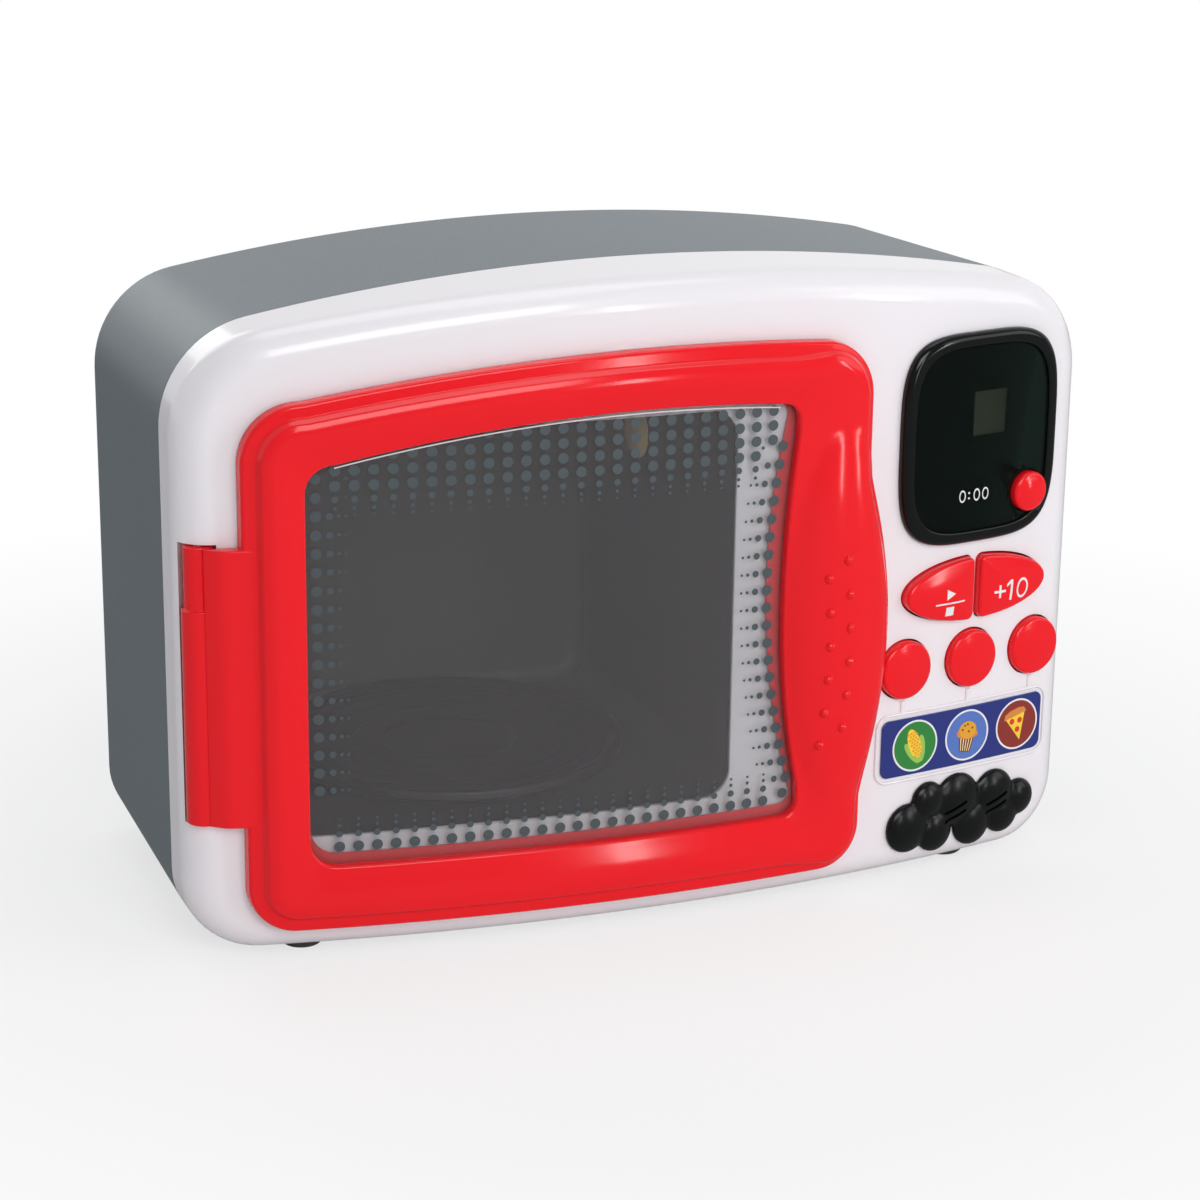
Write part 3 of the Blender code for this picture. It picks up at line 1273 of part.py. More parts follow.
def arched_outline(left, bottom, right_low, right_high, top, arch_x, arch_radius, radii, counts):
    """A four-sided outline with an arched top, anticlockwise from the lower left corner's end."""
    low_left, low_right, high_right, high_left = radii
    across, corner, up = counts
    centre = top - arch_radius

    def crown(x):
        return centre + math.sqrt(arch_radius ** 2 - (x - arch_x) ** 2)

    right_z = crown(right_high - high_right) - high_right
    left_z = crown(left + high_left) - high_left
    points = line(left + low_left, bottom, right_low - low_right, bottom, across)
    points += arc(right_low - low_right, bottom + low_right, low_right, -90, 0, corner)
    points += line(right_low, bottom + low_right, right_high, right_z, up)
    points += arc(right_high - high_right, right_z, high_right, 0, 90, corner)
    for i in range(across):
        x = right_high - high_right - (right_high - high_right - left - high_left) * i / across
        points.append((x, crown(x)))
    points += arc(left + high_left, left_z, high_left, 90, 180, corner)
    points += line(left, left_z, left, bottom + low_left, up)
    points += arc(left + low_left, bottom + low_left, low_left, 180, 270, corner)
    return points


DOOR_COUNTS = (8, 4, 10)


def door_outline():
    points = arched_outline(
        DOOR_LEFT, DOOR_BOTTOM, DOOR_RIGHT, DOOR_RIGHT, DOOR_TOP, 0, DOOR_ARCH_RADIUS,
        (DOOR_LOW_RADIUS, DOOR_LOW_RADIUS, DOOR_HIGH_RADIUS, DOOR_HIGH_RADIUS), DOOR_COUNTS,
    )
    middle = (DOOR_LEFT + DOOR_RIGHT) / 2
    return [(x + bulge(z), z) if x > middle else (x, z) for x, z in points]


def window_outline():
    points = arched_outline(
        WINDOW_LEFT, WINDOW_BOTTOM, WINDOW_RIGHT_BOTTOM, WINDOW_RIGHT_TOP, WINDOW_TOP, WINDOW_ARCH_X,
        WINDOW_ARCH_RADIUS, (WINDOW_LEFT_CORNER, WINDOW_CORNER, WINDOW_CORNER, WINDOW_LEFT_CORNER),
        DOOR_COUNTS,
    )
    middle = (WINDOW_LEFT + WINDOW_RIGHT_TOP) / 2
    return [(x - waist(z), z) if x > middle else (x, z) for x, z in points]


def handle_rise(x, z):
    """Extra height of the door's front at the handle, a long raised lens."""
    reach = 1 - ((x - HANDLE_X) / HANDLE_HALF_WIDTH) ** 2 - ((z - HANDLE_Z) / HANDLE_HALF_HEIGHT) ** 2
    return HANDLE_RISE * max(reach, 0) ** HANDLE_POWER


def door_front_height(share):
    """Height of the plain frame at a share of the way from its outer edge to the window."""
    rim = DOOR_LEDGE_HEIGHT - DOOR_EDGE_HEIGHT
    table = [(0.0, DOOR_EDGE_HEIGHT)]
    table += [(at, DOOR_EDGE_HEIGHT + rim * part) for at, part in DOOR_SECTION_SHARES[1:]]
    for at, part in DOOR_BAND_SHARES:
        base = DOOR_LEDGE_HEIGHT if at <= 0.5 else DOOR_LIP_HEIGHT
        table.append((at, base + (DOOR_CREST_HEIGHT - base) * part))
    table.append((1.0, DOOR_LIP_HEIGHT))
    for (a, low), (b, high) in zip(table, table[1:]):
        if a <= share <= b:
            return low + (high - low) * (share - a) / (b - a)
    return DOOR_LIP_HEIGHT


def ledge_width(x):
    """The outer ledge is wide along the top, left and foot, and narrows towards the handle's side."""
    turned_share = (x - DOOR_RIGHT + LEDGE_TURN_START) / LEDGE_TURN
    return LEDGE_WIDTH + (LEDGE_NARROW - LEDGE_WIDTH) * max(0, min(1, turned_share))


def place_share(share, x, width):
    """Where a share of the drawn section falls across a member, whose ledge keeps its own width."""
    drawn = DOOR_SECTION_SHARES[-1][0]
    ledge = ledge_width(x) / width
    if share <= drawn:
        return share / drawn * ledge
    return ledge + (share - drawn) / (1 - drawn) * (1 - ledge)


def lane(outer, inner, share, height=None):
    """One ring of the frame: a share of the way across it, at its front's height or a given one."""
    ring = []
    for (ox, oz), (ix, iz) in zip(outer, inner):
        width = math.hypot(ix - ox, iz - oz)
        at = place_share(share, ox, width) if width else 0
        x, z = ox + (ix - ox) * at, oz + (iz - oz) * at
        level = door_front_height(share) + handle_rise(x, z) if height is None else height
        ring.append((x, bow(x) - level, z))
    return ring


def pane_seat():
    """Height of the face that the pane lies against."""
    return DOOR_GAP + PANE_THICKNESS + GAP


def add_door(parts, cutters, root, material, clear, metal):
    x, y = hinge_axis()
    pivot = bpy.data.objects.new("door_pivot", None)
    bpy.context.scene.collection.objects.link(pivot)
    place(pivot, (x, y, 0), parent=root)
    outer = door_outline()
    inner = window_outline()
    shares = [at for at, _ in DOOR_SECTION_SHARES + DOOR_BAND_SHARES] + [1.0]
    rings = [lane(outer, inner, share) for share in shares]
    rebate = offset_outline(inner, PANE_MARGIN + GAP)
    rings.append([(px, bow(px) - pane_seat(), pz) for px, pz in inner])
    rings.append([(px, bow(px) - pane_seat(), pz) for px, pz in rebate])
    rings.append(lane(rebate, rebate, 0, DOOR_GAP))
    rings.append(lane(outer, outer, 0, DOOR_GAP))
    mesh = loft("door_frame", rings, loop=True, smooth_below=60)
    mesh.transform(Matrix.Translation((-x, -y, 0)))
    door = place(new_object("door_frame", mesh, parts, material), parent=pivot)
    joins = new_collection("door_joins", cutters)
    cuts = new_collection("door_cuts", cutters)
    add_knuckle(joins, cuts, pivot)
    add_grips(joins, pivot)
    tongue = box_mesh(
        "latch_tongue",
        (LATCH_X - LATCH_WIDTH / 2, bow(LATCH_X) - DOOR_GAP - EMBED * 2, LATCH_Z - LATCH_HEIGHT / 2),
        (LATCH_X + LATCH_WIDTH / 2, LATCH_REACH, LATCH_Z + LATCH_HEIGHT / 2), GAP * 2,
    )
    tongue.transform(Matrix.Translation((-x, -y, 0)))
    place(as_cutter(new_object("latch_tongue", tongue, joins)), parent=pivot)
    boolean(door, joins, "UNION")
    boolean(door, cuts, "DIFFERENCE")
    add_pane(parts, pivot, inner, clear)
    low = KNUCKLE_BOTTOM - HINGE_PIN_HOLD
    pin = cylinder_mesh("hinge_pin", HINGE_PIN_RADIUS, low, KNUCKLE_TOP + HINGE_PIN_HOLD, 16)
    place(new_object("hinge_pin", pin, parts, metal), (x, y, 0), parent=root)
    return door


def add_knuckle(joins, cuts, pivot):
    """The stepped barrel on the hinge line and the leaf that joins it to the frame."""
    for name, radius, low, high in (
        ("knuckle_low", KNUCKLE_RADIUS, KNUCKLE_BOTTOM, KNUCKLE_STEP_Z),
        ("knuckle_high", KNUCKLE_HIGH_RADIUS, KNUCKLE_STEP_Z - EMBED, KNUCKLE_TOP),
    ):
        mesh = cylinder_mesh(name, radius, low, high, FINE_STEPS)
        place(as_cutter(new_object(name, mesh, joins)), parent=pivot)
    axis_x, axis_y = hinge_axis()
    right = axis_x + LEAF_REACH
    steps = 5
    back = []
    front = []
    for i in range(steps + 1):
        share = i / steps
        px = axis_x + (right - axis_x) * share
        back_y = bow(px) - DOOR_GAP
        lead = LEAF_THICKNESS * math.sin(math.pi / 2 * min(share * 1.6 + 0.25, 1))
        back.append((px - axis_x, back_y - axis_y))
        front.append((px - axis_x, back_y - lead - axis_y))
    outline = front + list(reversed(back))
    leaf = prism("hinge_leaf", outline, KNUCKLE_BOTTOM, KNUCKLE_TOP)
    place(as_cutter(new_object("hinge_leaf", leaf, joins)), parent=pivot)
    bore = cylinder_mesh(
        "knuckle_bore", HINGE_PIN_RADIUS + GAP, KNUCKLE_BOTTOM - OVERRUN, KNUCKLE_TOP + OVERRUN, 16,
    )
    place(as_cutter(new_object("knuckle_bore", bore, cuts)), parent=pivot)


def grip_centres():
    """Centres of the small domes on the handle, in two staggered columns, sunk a little into its front."""
    outer = door_outline()
    inner = window_outline()
    centres = []
    for i in range(GRIP_COUNT * 2):
        column, row = i % 2, i // 2
        z = GRIP_LOW_Z + GRIP_PITCH * (row + column / 2)
        x = GRIP_X + column * GRIP_SPREAD + bulge(z) / 2 - BULGE / 2
        level = frame_height(x, z, outer, inner)
        centres.append((x, bow(x) - level + GRIP_RADIUS * GRIP_SINK_SHARE, z))
    return centres


def add_grips(joins, pivot):
    axis_x, axis_y = hinge_axis()
    for i, (x, y, z) in enumerate(grip_centres(), 1):
        bm = bmesh.new()
        bmesh.ops.create_uvsphere(bm, u_segments=6, v_segments=6, radius=GRIP_RADIUS)
        bm.transform(Matrix.Translation((x - axis_x, y - axis_y, z)) @ Matrix.Rotation(math.pi / 2, 4, "X"))
        place(as_cutter(new_object(f"grip_{i}", mesh_from(bm, f"grip_{i}"), joins)), parent=pivot)


def frame_height(x, z, outer, inner):
    """Height of the frame's front at a point of its right member."""
    right = max(px for px, pz in outer if abs(pz - z) < DOOR_HIGH_RADIUS / 2)
    left = max(px for px, pz in inner if abs(pz - z) < DOOR_HIGH_RADIUS / 2)
    share = (right - x) / (right - left)
    return door_front_height(share) + handle_rise(x, z)


def add_pane(parts, pivot, inner, clear):
    """The clear pane: it follows the bow and lies in the rebate behind the window."""
    axis_x, axis_y = hinge_axis()
    outline = dense(offset_outline(inner, PANE_MARGIN), DOOR_HIGH_RADIUS * 2)
    middle_x = (WINDOW_LEFT + WINDOW_RIGHT_TOP) / 2
    middle_z = (WINDOW_BOTTOM + WINDOW_TOP) / 2
    rings = []
    for level, shares in ((DOOR_GAP, (0.5, 1.0)), (DOOR_GAP + PANE_THICKNESS, (1.0, 0.5))):
        for share in shares:
            ring = []
            for px, pz in outline:
                sx = middle_x + (px - middle_x) * share
                ring.append((sx - axis_x, bow(sx) - level - axis_y, middle_z + (pz - middle_z) * share))
            rings.append(ring)
    near = (middle_x - axis_x, bow(middle_x) - DOOR_GAP - axis_y, middle_z)
    far = (middle_x - axis_x, bow(middle_x) - DOOR_GAP - PANE_THICKNESS - axis_y, middle_z)
    mesh = loft("door_window", rings, near, far)
    place(new_object("door_window", mesh, parts, clear), parent=pivot)


# Display


def bezel_ring(inset, height):
    return [(u, z, height - sag(u + DISPLAY_U)) for u, z in squircle(inset)]


def add_display(parts, cutters, panel, black, smoked, glass):
    """The black bezel, the smoked lens in its recess and the liquid crystal panel behind its window."""
    floor = BEZEL_HEIGHT - LENS_SINK - LENS_THICKNESS - GAP
    rings = [
        [(u, z, -BEZEL_PLUG_DEPTH) for u, z in squircle(BEZEL_PLUG_INSET)],
        bezel_ring(BEZEL_PLUG_INSET, BEZEL_BASE), bezel_ring(0, BEZEL_BASE),
        bezel_ring(0, BEZEL_HEIGHT - BEZEL_ROUND),
        bezel_ring(BEZEL_ROUND * 0.3, BEZEL_HEIGHT - BEZEL_ROUND * 0.3),
        bezel_ring(BEZEL_ROUND, BEZEL_HEIGHT),
        bezel_ring(BEZEL_RIM - LENS_SINK, BEZEL_HEIGHT), bezel_ring(BEZEL_RIM, BEZEL_HEIGHT - LENS_SINK),
        bezel_ring(BEZEL_RIM, floor), bezel_ring(BEZEL_RIM + DISPLAY_HALF_WIDTH * 0.4, floor),
    ]
    mesh = loft("display_bezel", rings, "flat", (0, 0, floor - sag(DISPLAY_U)))
    bezel = place(
        new_object("display_bezel", mesh, parts, black), parent=panel, **facing(DISPLAY_U, DISPLAY_Z),
    )
    joins = new_collection("bezel_joins", cutters)
    cuts = new_collection("bezel_cuts", cutters)
    view = box_mesh(
        "lcd_view", (-LCD_VIEW_WIDTH / 2, -LCD_VIEW_HEIGHT / 2, -BEZEL_PLUG_DEPTH - OVERRUN),
        (LCD_VIEW_WIDTH / 2, LCD_VIEW_HEIGHT / 2, OVERRUN + BEZEL_HEIGHT),
    )
    place(as_cutter(new_object("lcd_view", view, cuts)), parent=panel, **facing(LCD_U, LCD_Z))
    seat = floor - LCD_SKIN
    pocket = box_mesh(
        "lcd_pocket", (-LCD_WIDTH / 2 - GAP, -LCD_HEIGHT / 2 - GAP, -BEZEL_PLUG_DEPTH - OVERRUN),
        (LCD_WIDTH / 2 + GAP, LCD_HEIGHT / 2 + GAP, seat - sag(LCD_WIDTH)),
    )
    place(as_cutter(new_object("lcd_pocket", pocket, cuts)), parent=panel, **facing(LCD_U, LCD_Z))
    along_y(
        "reset_hole", RESET_RADIUS + BUTTON_CLEARANCE, RESET_U, RESET_Z, -BEZEL_HEIGHT - OVERRUN,
        BEZEL_PLUG_DEPTH + OVERRUN, cuts, panel, FINE_STEPS,
    )
    for i, (u, z) in enumerate(BOARD_HOLES[2:], 1):
        along_y(
            f"bezel_post_{i}", BOARD_BOSS_RADIUS, u, z, BEZEL_PLUG_DEPTH - EMBED, BOARD_DEPTH - GAP, joins,
            panel, 14,
        )
        start = BOARD_DEPTH + BOARD_THICKNESS - BOARD_SCREW_REACH - GAP
        along_y(
            f"bezel_post_hole_{i}", BOARD_SCREW_RADIUS + GAP, u, z, start, BOARD_DEPTH + OVERRUN, cuts, panel,
            10,
        )
    boolean(bezel, joins, "UNION")
    boolean(bezel, cuts, "DIFFERENCE")
    add_display_lens(parts, cutters, panel, smoked)
    top = seat - sag(LCD_WIDTH) - GAP
    lcd = box_mesh(
        "lcd_panel", (-LCD_WIDTH / 2, -LCD_HEIGHT / 2, top - LCD_THICKNESS),
        (LCD_WIDTH / 2, LCD_HEIGHT / 2, top),
    )
    place(new_object("lcd_panel", lcd, parts, glass), parent=panel, **facing(LCD_U, LCD_Z))


def add_display_lens(parts, cutters, panel, smoked):
    top = BEZEL_HEIGHT - LENS_SINK
    low = top - LENS_THICKNESS
    inset = BEZEL_RIM + GAP
    half = inset + DISPLAY_HALF_WIDTH * 0.4
    rings = [bezel_ring(half, low), bezel_ring(inset, low), bezel_ring(inset, top), bezel_ring(half, top)]
    mesh = loft("display_lens", rings, (0, 0, low - sag(DISPLAY_U)), (0, 0, top - sag(DISPLAY_U)))
    lens = place(
        new_object("display_lens", mesh, parts, smoked), parent=panel, **facing(DISPLAY_U, DISPLAY_Z),
    )
    cuts = new_collection("lens_cuts", cutters)
    along_y(
        "lens_reset_hole", RESET_RADIUS + BUTTON_CLEARANCE, RESET_U, RESET_Z, -BEZEL_HEIGHT - OVERRUN,
        OVERRUN, cuts,
        panel, FINE_STEPS,
    )
    boolean(lens, cuts, "DIFFERENCE")


# Buttons


def stem_end():
    """Depth of a button stem's end at rest: a full press brings it just short of its switch."""
    return BOARD_DEPTH - SWITCH_HEIGHT - BUTTON_TRAVEL - GAP


def add_round_button(name, radius, u, z, surface, seat, parts, panel, material):
    """A domed cap through the front, its flange behind the wall and its stem above a switch.

    The surface is the height that the cap rises from, and the seat is the wall's back face, as a depth.
    """
    flange = seat + GAP
    edge = surface + BUTTON_RISE
    profile = [
        (0, edge + BUTTON_DOME), (radius * 0.50, edge + BUTTON_DOME * 0.80),
        (radius * 0.86, edge + BUTTON_DOME * 0.30), (radius, edge - BUTTON_DOME * 0.35), (radius, -flange),
        (radius + BUTTON_FLANGE, -flange), (radius + BUTTON_FLANGE, -flange - BUTTON_FLANGE_THICKNESS),
        (STEM_RADIUS, -flange - BUTTON_FLANGE_THICKNESS), (STEM_RADIUS, -stem_end()), (0, -stem_end()),
    ]
    button = turned(name, profile, parts, material, ROUND_STEPS)
    return place(button, parent=panel, **facing(u, z))


def add_wide_button(name, side, parts, cutters, panel, material):
    """Half of the split oval: a softly domed cap with a flange and a stem."""
    outline = wide_outline(side)
    surface = BUTTON_RISE
    centre_u = side * WIDE_HALF_WIDTH / 2
    seat = SHELL_WALL + sag(WIDE_HALF_WIDTH) + GAP

    def ring(grow, height, share=1.0):
        base = offset_outline(outline, grow) if grow else outline
        return [(centre_u + (u - centre_u) * share, z * share, height) for u, z in base]

    rings = [
        ring(WIDE_FLANGE, -seat - BUTTON_FLANGE_THICKNESS), ring(WIDE_FLANGE, -seat), ring(0, -seat),
        ring(0, surface), ring(-WIDE_ROUND * 0.3, surface + WIDE_ROUND * 0.7),
        ring(-WIDE_ROUND, surface + WIDE_ROUND),
        ring(-WIDE_ROUND, surface + WIDE_ROUND + WIDE_DOME * 0.8, 0.6),
    ]
    mesh = loft(name, rings, "flat", (centre_u, 0, surface + WIDE_ROUND + WIDE_DOME), smooth_below=45)
    button = place(new_object(name, mesh, parts, material), parent=panel, **facing(0, WIDE_Z))
    stem = along_y(
        f"{name}_stem", STEM_RADIUS, centre_u, WIDE_Z, seat + BUTTON_FLANGE_THICKNESS / 2, stem_end(),
        cutters, panel, 14,
    )
    boolean(button, stem, "UNION")
    return button


def add_buttons(parts, cutters, panel, material):
    names = ("left_food_button", "middle_food_button", "right_food_button")
    for name, u in zip(names, (-FOOD_SPREAD, 0, FOOD_SPREAD)):
        add_round_button(name, FOOD_RADIUS, u, FOOD_Z, -sag(u), FOOD_SEAT, parts, panel, material)
    add_round_button(
        "reset_button", RESET_RADIUS, RESET_U, RESET_Z, BEZEL_HEIGHT - LENS_SINK - sag(RESET_U),
        BEZEL_PLUG_DEPTH,
        parts, panel, material,
    )
    stems = new_collection("button_stems", cutters)
    add_wide_button("start_stop_button", -1, parts, stems, panel, material)
    add_wide_button("add_time_button", 1, parts, stems, panel, material)


# Label, speaker and its cover


def add_label(parts, root, material):
    """A thin printed plate that follows the bow inside the raised rail."""
    outline = dense(label_outline(), CAVITY_CORNER)
    middle_x = (LABEL_LEFT + LABEL_RIGHT) / 2
    middle_z = (LABEL_BOTTOM + LABEL_TOP) / 2

    def ring(height, share):
        scaled = [(middle_x + (x - middle_x) * share, middle_z + (z - middle_z) * share) for x, z in outline]
        return on_front(scaled, height)

    low = GAP
    high = low + LABEL_THICKNESS
    rings = [ring(low, 0.7), ring(low, 1.0), ring(high, 1.0), ring(high, 0.7)]
    near = (middle_x, front_y(middle_x, middle_z, low), middle_z)
    far = (middle_x, front_y(middle_x, middle_z, high), middle_z)
    mesh = loft("icon_label", rings, near, far)
    place(new_object("icon_label", mesh, parts, material), parent=root)


def add_speaker_cover(parts, cutters, panel, material):
    """A lobed black relief over the sound holes, with slanted slots and two pegs."""
    joins = new_collection("cover_joins", cutters)
    cuts = new_collection("cover_cuts", cutters)
    first = None
    for i, (along, up, size) in enumerate(COVER_LOBE_SHARES, 1):
        radius = size * COVER_HALF_WIDTH
        u = along * COVER_HALF_WIDTH
        z = COVER_Z + up * COVER_HALF_WIDTH
        level = GAP - sag(abs(u) - radius if abs(u) > radius else 0)
        top = COVER_RISE - sag(u)
        profile = [
            (0, top), (radius * 0.65, top - COVER_EDGE * 0.3), (radius, top - COVER_EDGE * 1.2),
            (radius, level),
            (0, level),
        ]
        if first is None:
            first = place(turned("speaker_cover", profile, parts, material, 12), parent=panel, **facing(u, z))
        else:
            place(
                as_cutter(turned(f"cover_lobe_{i}", profile, joins, None, 12)), parent=panel, **facing(u, z),
            )
    for i, side in enumerate((-1, 1), 1):
        end = SHELL_WALL + COVER_PEG_REACH
        along_y(
            f"cover_peg_{i}", COVER_PEG_RADIUS, side * COVER_PEG_U, COVER_PEG_Z, -COVER_RISE / 2, end, joins,
            panel, 12,
        )
    for group, share in enumerate(SLOT_U_SHARES, 1):
        for i in range(SLOT_COUNT):
            slot = box_mesh(
                f"cover_slot_{group}_{i + 1}", (-SLOT_LENGTH / 2, -SLOT_WIDTH / 2, -OVERRUN),
                (SLOT_LENGTH / 2, SLOT_WIDTH / 2, COVER_RISE + OVERRUN),
            )
            z = COVER_Z + (i - (SLOT_COUNT - 1) / 2) * SLOT_PITCH
            obj = place(
                as_cutter(new_object(slot.name, slot, cuts)), parent=panel,
                **facing(share * COVER_HALF_WIDTH, z),
            )
            obj.rotation_euler = (math.pi / 2, -math.radians(SLOT_TILT_DEG), 0)
    boolean(first, joins, "UNION")
    boolean(first, cuts, "DIFFERENCE")


def add_speaker(parts, panel, material):
    """The loudspeaker in its ring: a rim, a shallow cone and a magnet."""
    front = -(SHELL_WALL + sag(SPEAKER_RADIUS) + GAP)
    back = front - SPEAKER_CONE_DEPTH
    profile = [
        (0, front - SPEAKER_CONE_DEPTH * 0.7),
        (SPEAKER_RADIUS - SPEAKER_RIM - SPEAKER_WELL_DEPTH, front - SPEAKER_WELL_DEPTH),
        (SPEAKER_RADIUS - SPEAKER_RIM, front), (SPEAKER_RADIUS, front), (SPEAKER_RADIUS, front - SPEAKER_RIM),
        (SPEAKER_MAGNET_RADIUS, back), (SPEAKER_MAGNET_RADIUS, back - SPEAKER_MAGNET_DEPTH),
        (0, back - SPEAKER_MAGNET_DEPTH),
    ]
    place(turned("speaker", profile, parts, material, 20), parent=panel, **facing(0, SPEAKER_Z))


def add_board(parts, cutters, panel, material, metal):
    """The circuit board with a small switch under each button, and its four screws."""
    front = -BOARD_DEPTH
    middle = (BOARD_BOTTOM + BOARD_TOP) / 2
    half = (BOARD_TOP - BOARD_BOTTOM) / 2
    outline = rounded_rectangle(-BOARD_HALF_WIDTH, -half, BOARD_HALF_WIDTH, half, BOARD_CORNER, 2)
    mesh = prism("circuit_board", outline, front - BOARD_THICKNESS, front)
    board = place(new_object("circuit_board", mesh, parts, material), parent=panel, **facing(0, middle))
    joins = new_collection("board_joins", cutters)
    cuts = new_collection("board_cuts", cutters)
    places = [(u, FOOD_Z) for u in (-FOOD_SPREAD, 0, FOOD_SPREAD)]
    places += [(-WIDE_HALF_WIDTH / 2, WIDE_Z), (WIDE_HALF_WIDTH / 2, WIDE_Z), (RESET_U, RESET_Z)]
    for i, (u, z) in enumerate(places, 1):
        reach = SWITCH_SIZE / 2
        left = max(u - reach, -BOARD_HALF_WIDTH + GAP)
        right = min(u + reach, BOARD_HALF_WIDTH - GAP)
        switch = box_mesh(
            f"switch_{i}", (left, z - reach, front - EMBED / 2), (right, z + reach, front + SWITCH_HEIGHT),
        )
        place(as_cutter(new_object(f"switch_{i}", switch, joins)), parent=panel, **facing())
    for i, (u, z) in enumerate(BOARD_HOLES, 1):
        along_y(
            f"board_hole_{i}", BOARD_SCREW_RADIUS + GAP, u, z, BOARD_DEPTH - OVERRUN, BOARD_DEPTH + OVERRUN,
            cuts, panel, 10,
        )
        seat = BOARD_DEPTH + BOARD_THICKNESS + GAP
        profile = [
            (0, BOARD_SCREW_HEAD_HEIGHT), (BOARD_SCREW_HEAD_RADIUS * 0.7, BOARD_SCREW_HEAD_HEIGHT * 0.85),
            (BOARD_SCREW_HEAD_RADIUS, BOARD_SCREW_HEAD_HEIGHT * 0.3), (BOARD_SCREW_HEAD_RADIUS, 0),
            (BOARD_SCREW_RADIUS, 0), (BOARD_SCREW_RADIUS, -BOARD_SCREW_REACH), (0, -BOARD_SCREW_REACH),
        ]
        screw = turned(f"board_screw_{i}", profile, parts, metal, 10)
        place(screw, (u, seat, z), (-math.pi / 2, 0, 0), panel)
    boolean(board, joins, "UNION")
    boolean(board, cuts, "DIFFERENCE")


# Battery box


def battery_pocket():
    """Left, bottom, right and top of the space that holds the cells."""
    half = CELL_PITCH * (CELL_COUNT - 1) / 2 + CELL_RADIUS + BOX_SIDE_CLEARANCE
    bottom = CELL_BOTTOM - GAP - SPRING_HEIGHT - CONTACT_THICKNESS - GAP
    top = CELL_BOTTOM + CELL_LENGTH + CELL_NUB_HEIGHT + GAP + CONTACT_BUMP + CONTACT_THICKNESS + GAP
    return BATTERY_X - half, bottom, BATTERY_X + half, top


def cell_y():
    return BACK_Y - SHELL_WALL - GAP - CELL_SEAT - CELL_RADIUS


def hatch_screw_z():
    left, bottom, right, top = battery_pocket()
    return top + (BOX_SCREW_LAND - HATCH_MARGIN) / 2


def add_battery_box(parts, cutters, root, material):
    """The tray behind the hatch: open to the back, with a solid land for the hatch's screw."""
    left, bottom, right, top = battery_pocket()
    rim = BACK_Y - SHELL_WALL - GAP
    floor = cell_y() - CELL_RADIUS - GAP
    wide = HATCH_MARGIN * 2
    mesh = box_mesh(
        "battery_box", (left - wide, floor - BOX_WALL, bottom - wide),
        (right + wide, rim, top + BOX_SCREW_LAND), BOX_WALL / 3,
    )
    box = place(new_object("battery_box", mesh, parts, material), parent=root)
    cuts = new_collection("battery_box_cuts", cutters)
    pocket = box_mesh("battery_pocket", (left, floor, bottom), (right, rim + OVERRUN, top))
    place(as_cutter(new_object("battery_pocket", pocket, cuts)), parent=root)
    slots = (BATTERY_X - (right - left) / 4, BATTERY_X + (right - left) / 4)
    for i, x in enumerate(slots, 1):
        half = HATCH_TAB_WIDTH / 2 + HATCH_CLEARANCE
        deep = rim - HATCH_TAB_THICKNESS - HATCH_CLEARANCE
        low = bottom - HATCH_MARGIN - HATCH_TAB_REACH - HATCH_CLEARANCE
        slot = box_mesh(f"tab_slot_{i}", (x - half, deep, low), (x + half, rim + OVERRUN, bottom + OVERRUN))
        place(as_cutter(new_object(f"tab_slot_{i}", slot, cuts)), parent=root)
    along_y(
        "hatch_screw_pilot", HATCH_SCREW_RADIUS + GAP, BATTERY_X, hatch_screw_z(),
        BACK_Y - HATCH_SCREW_REACH - SHELL_WALL, BACK_Y, cuts, root, 10,
    )
    boolean(box, cuts, "DIFFERENCE")


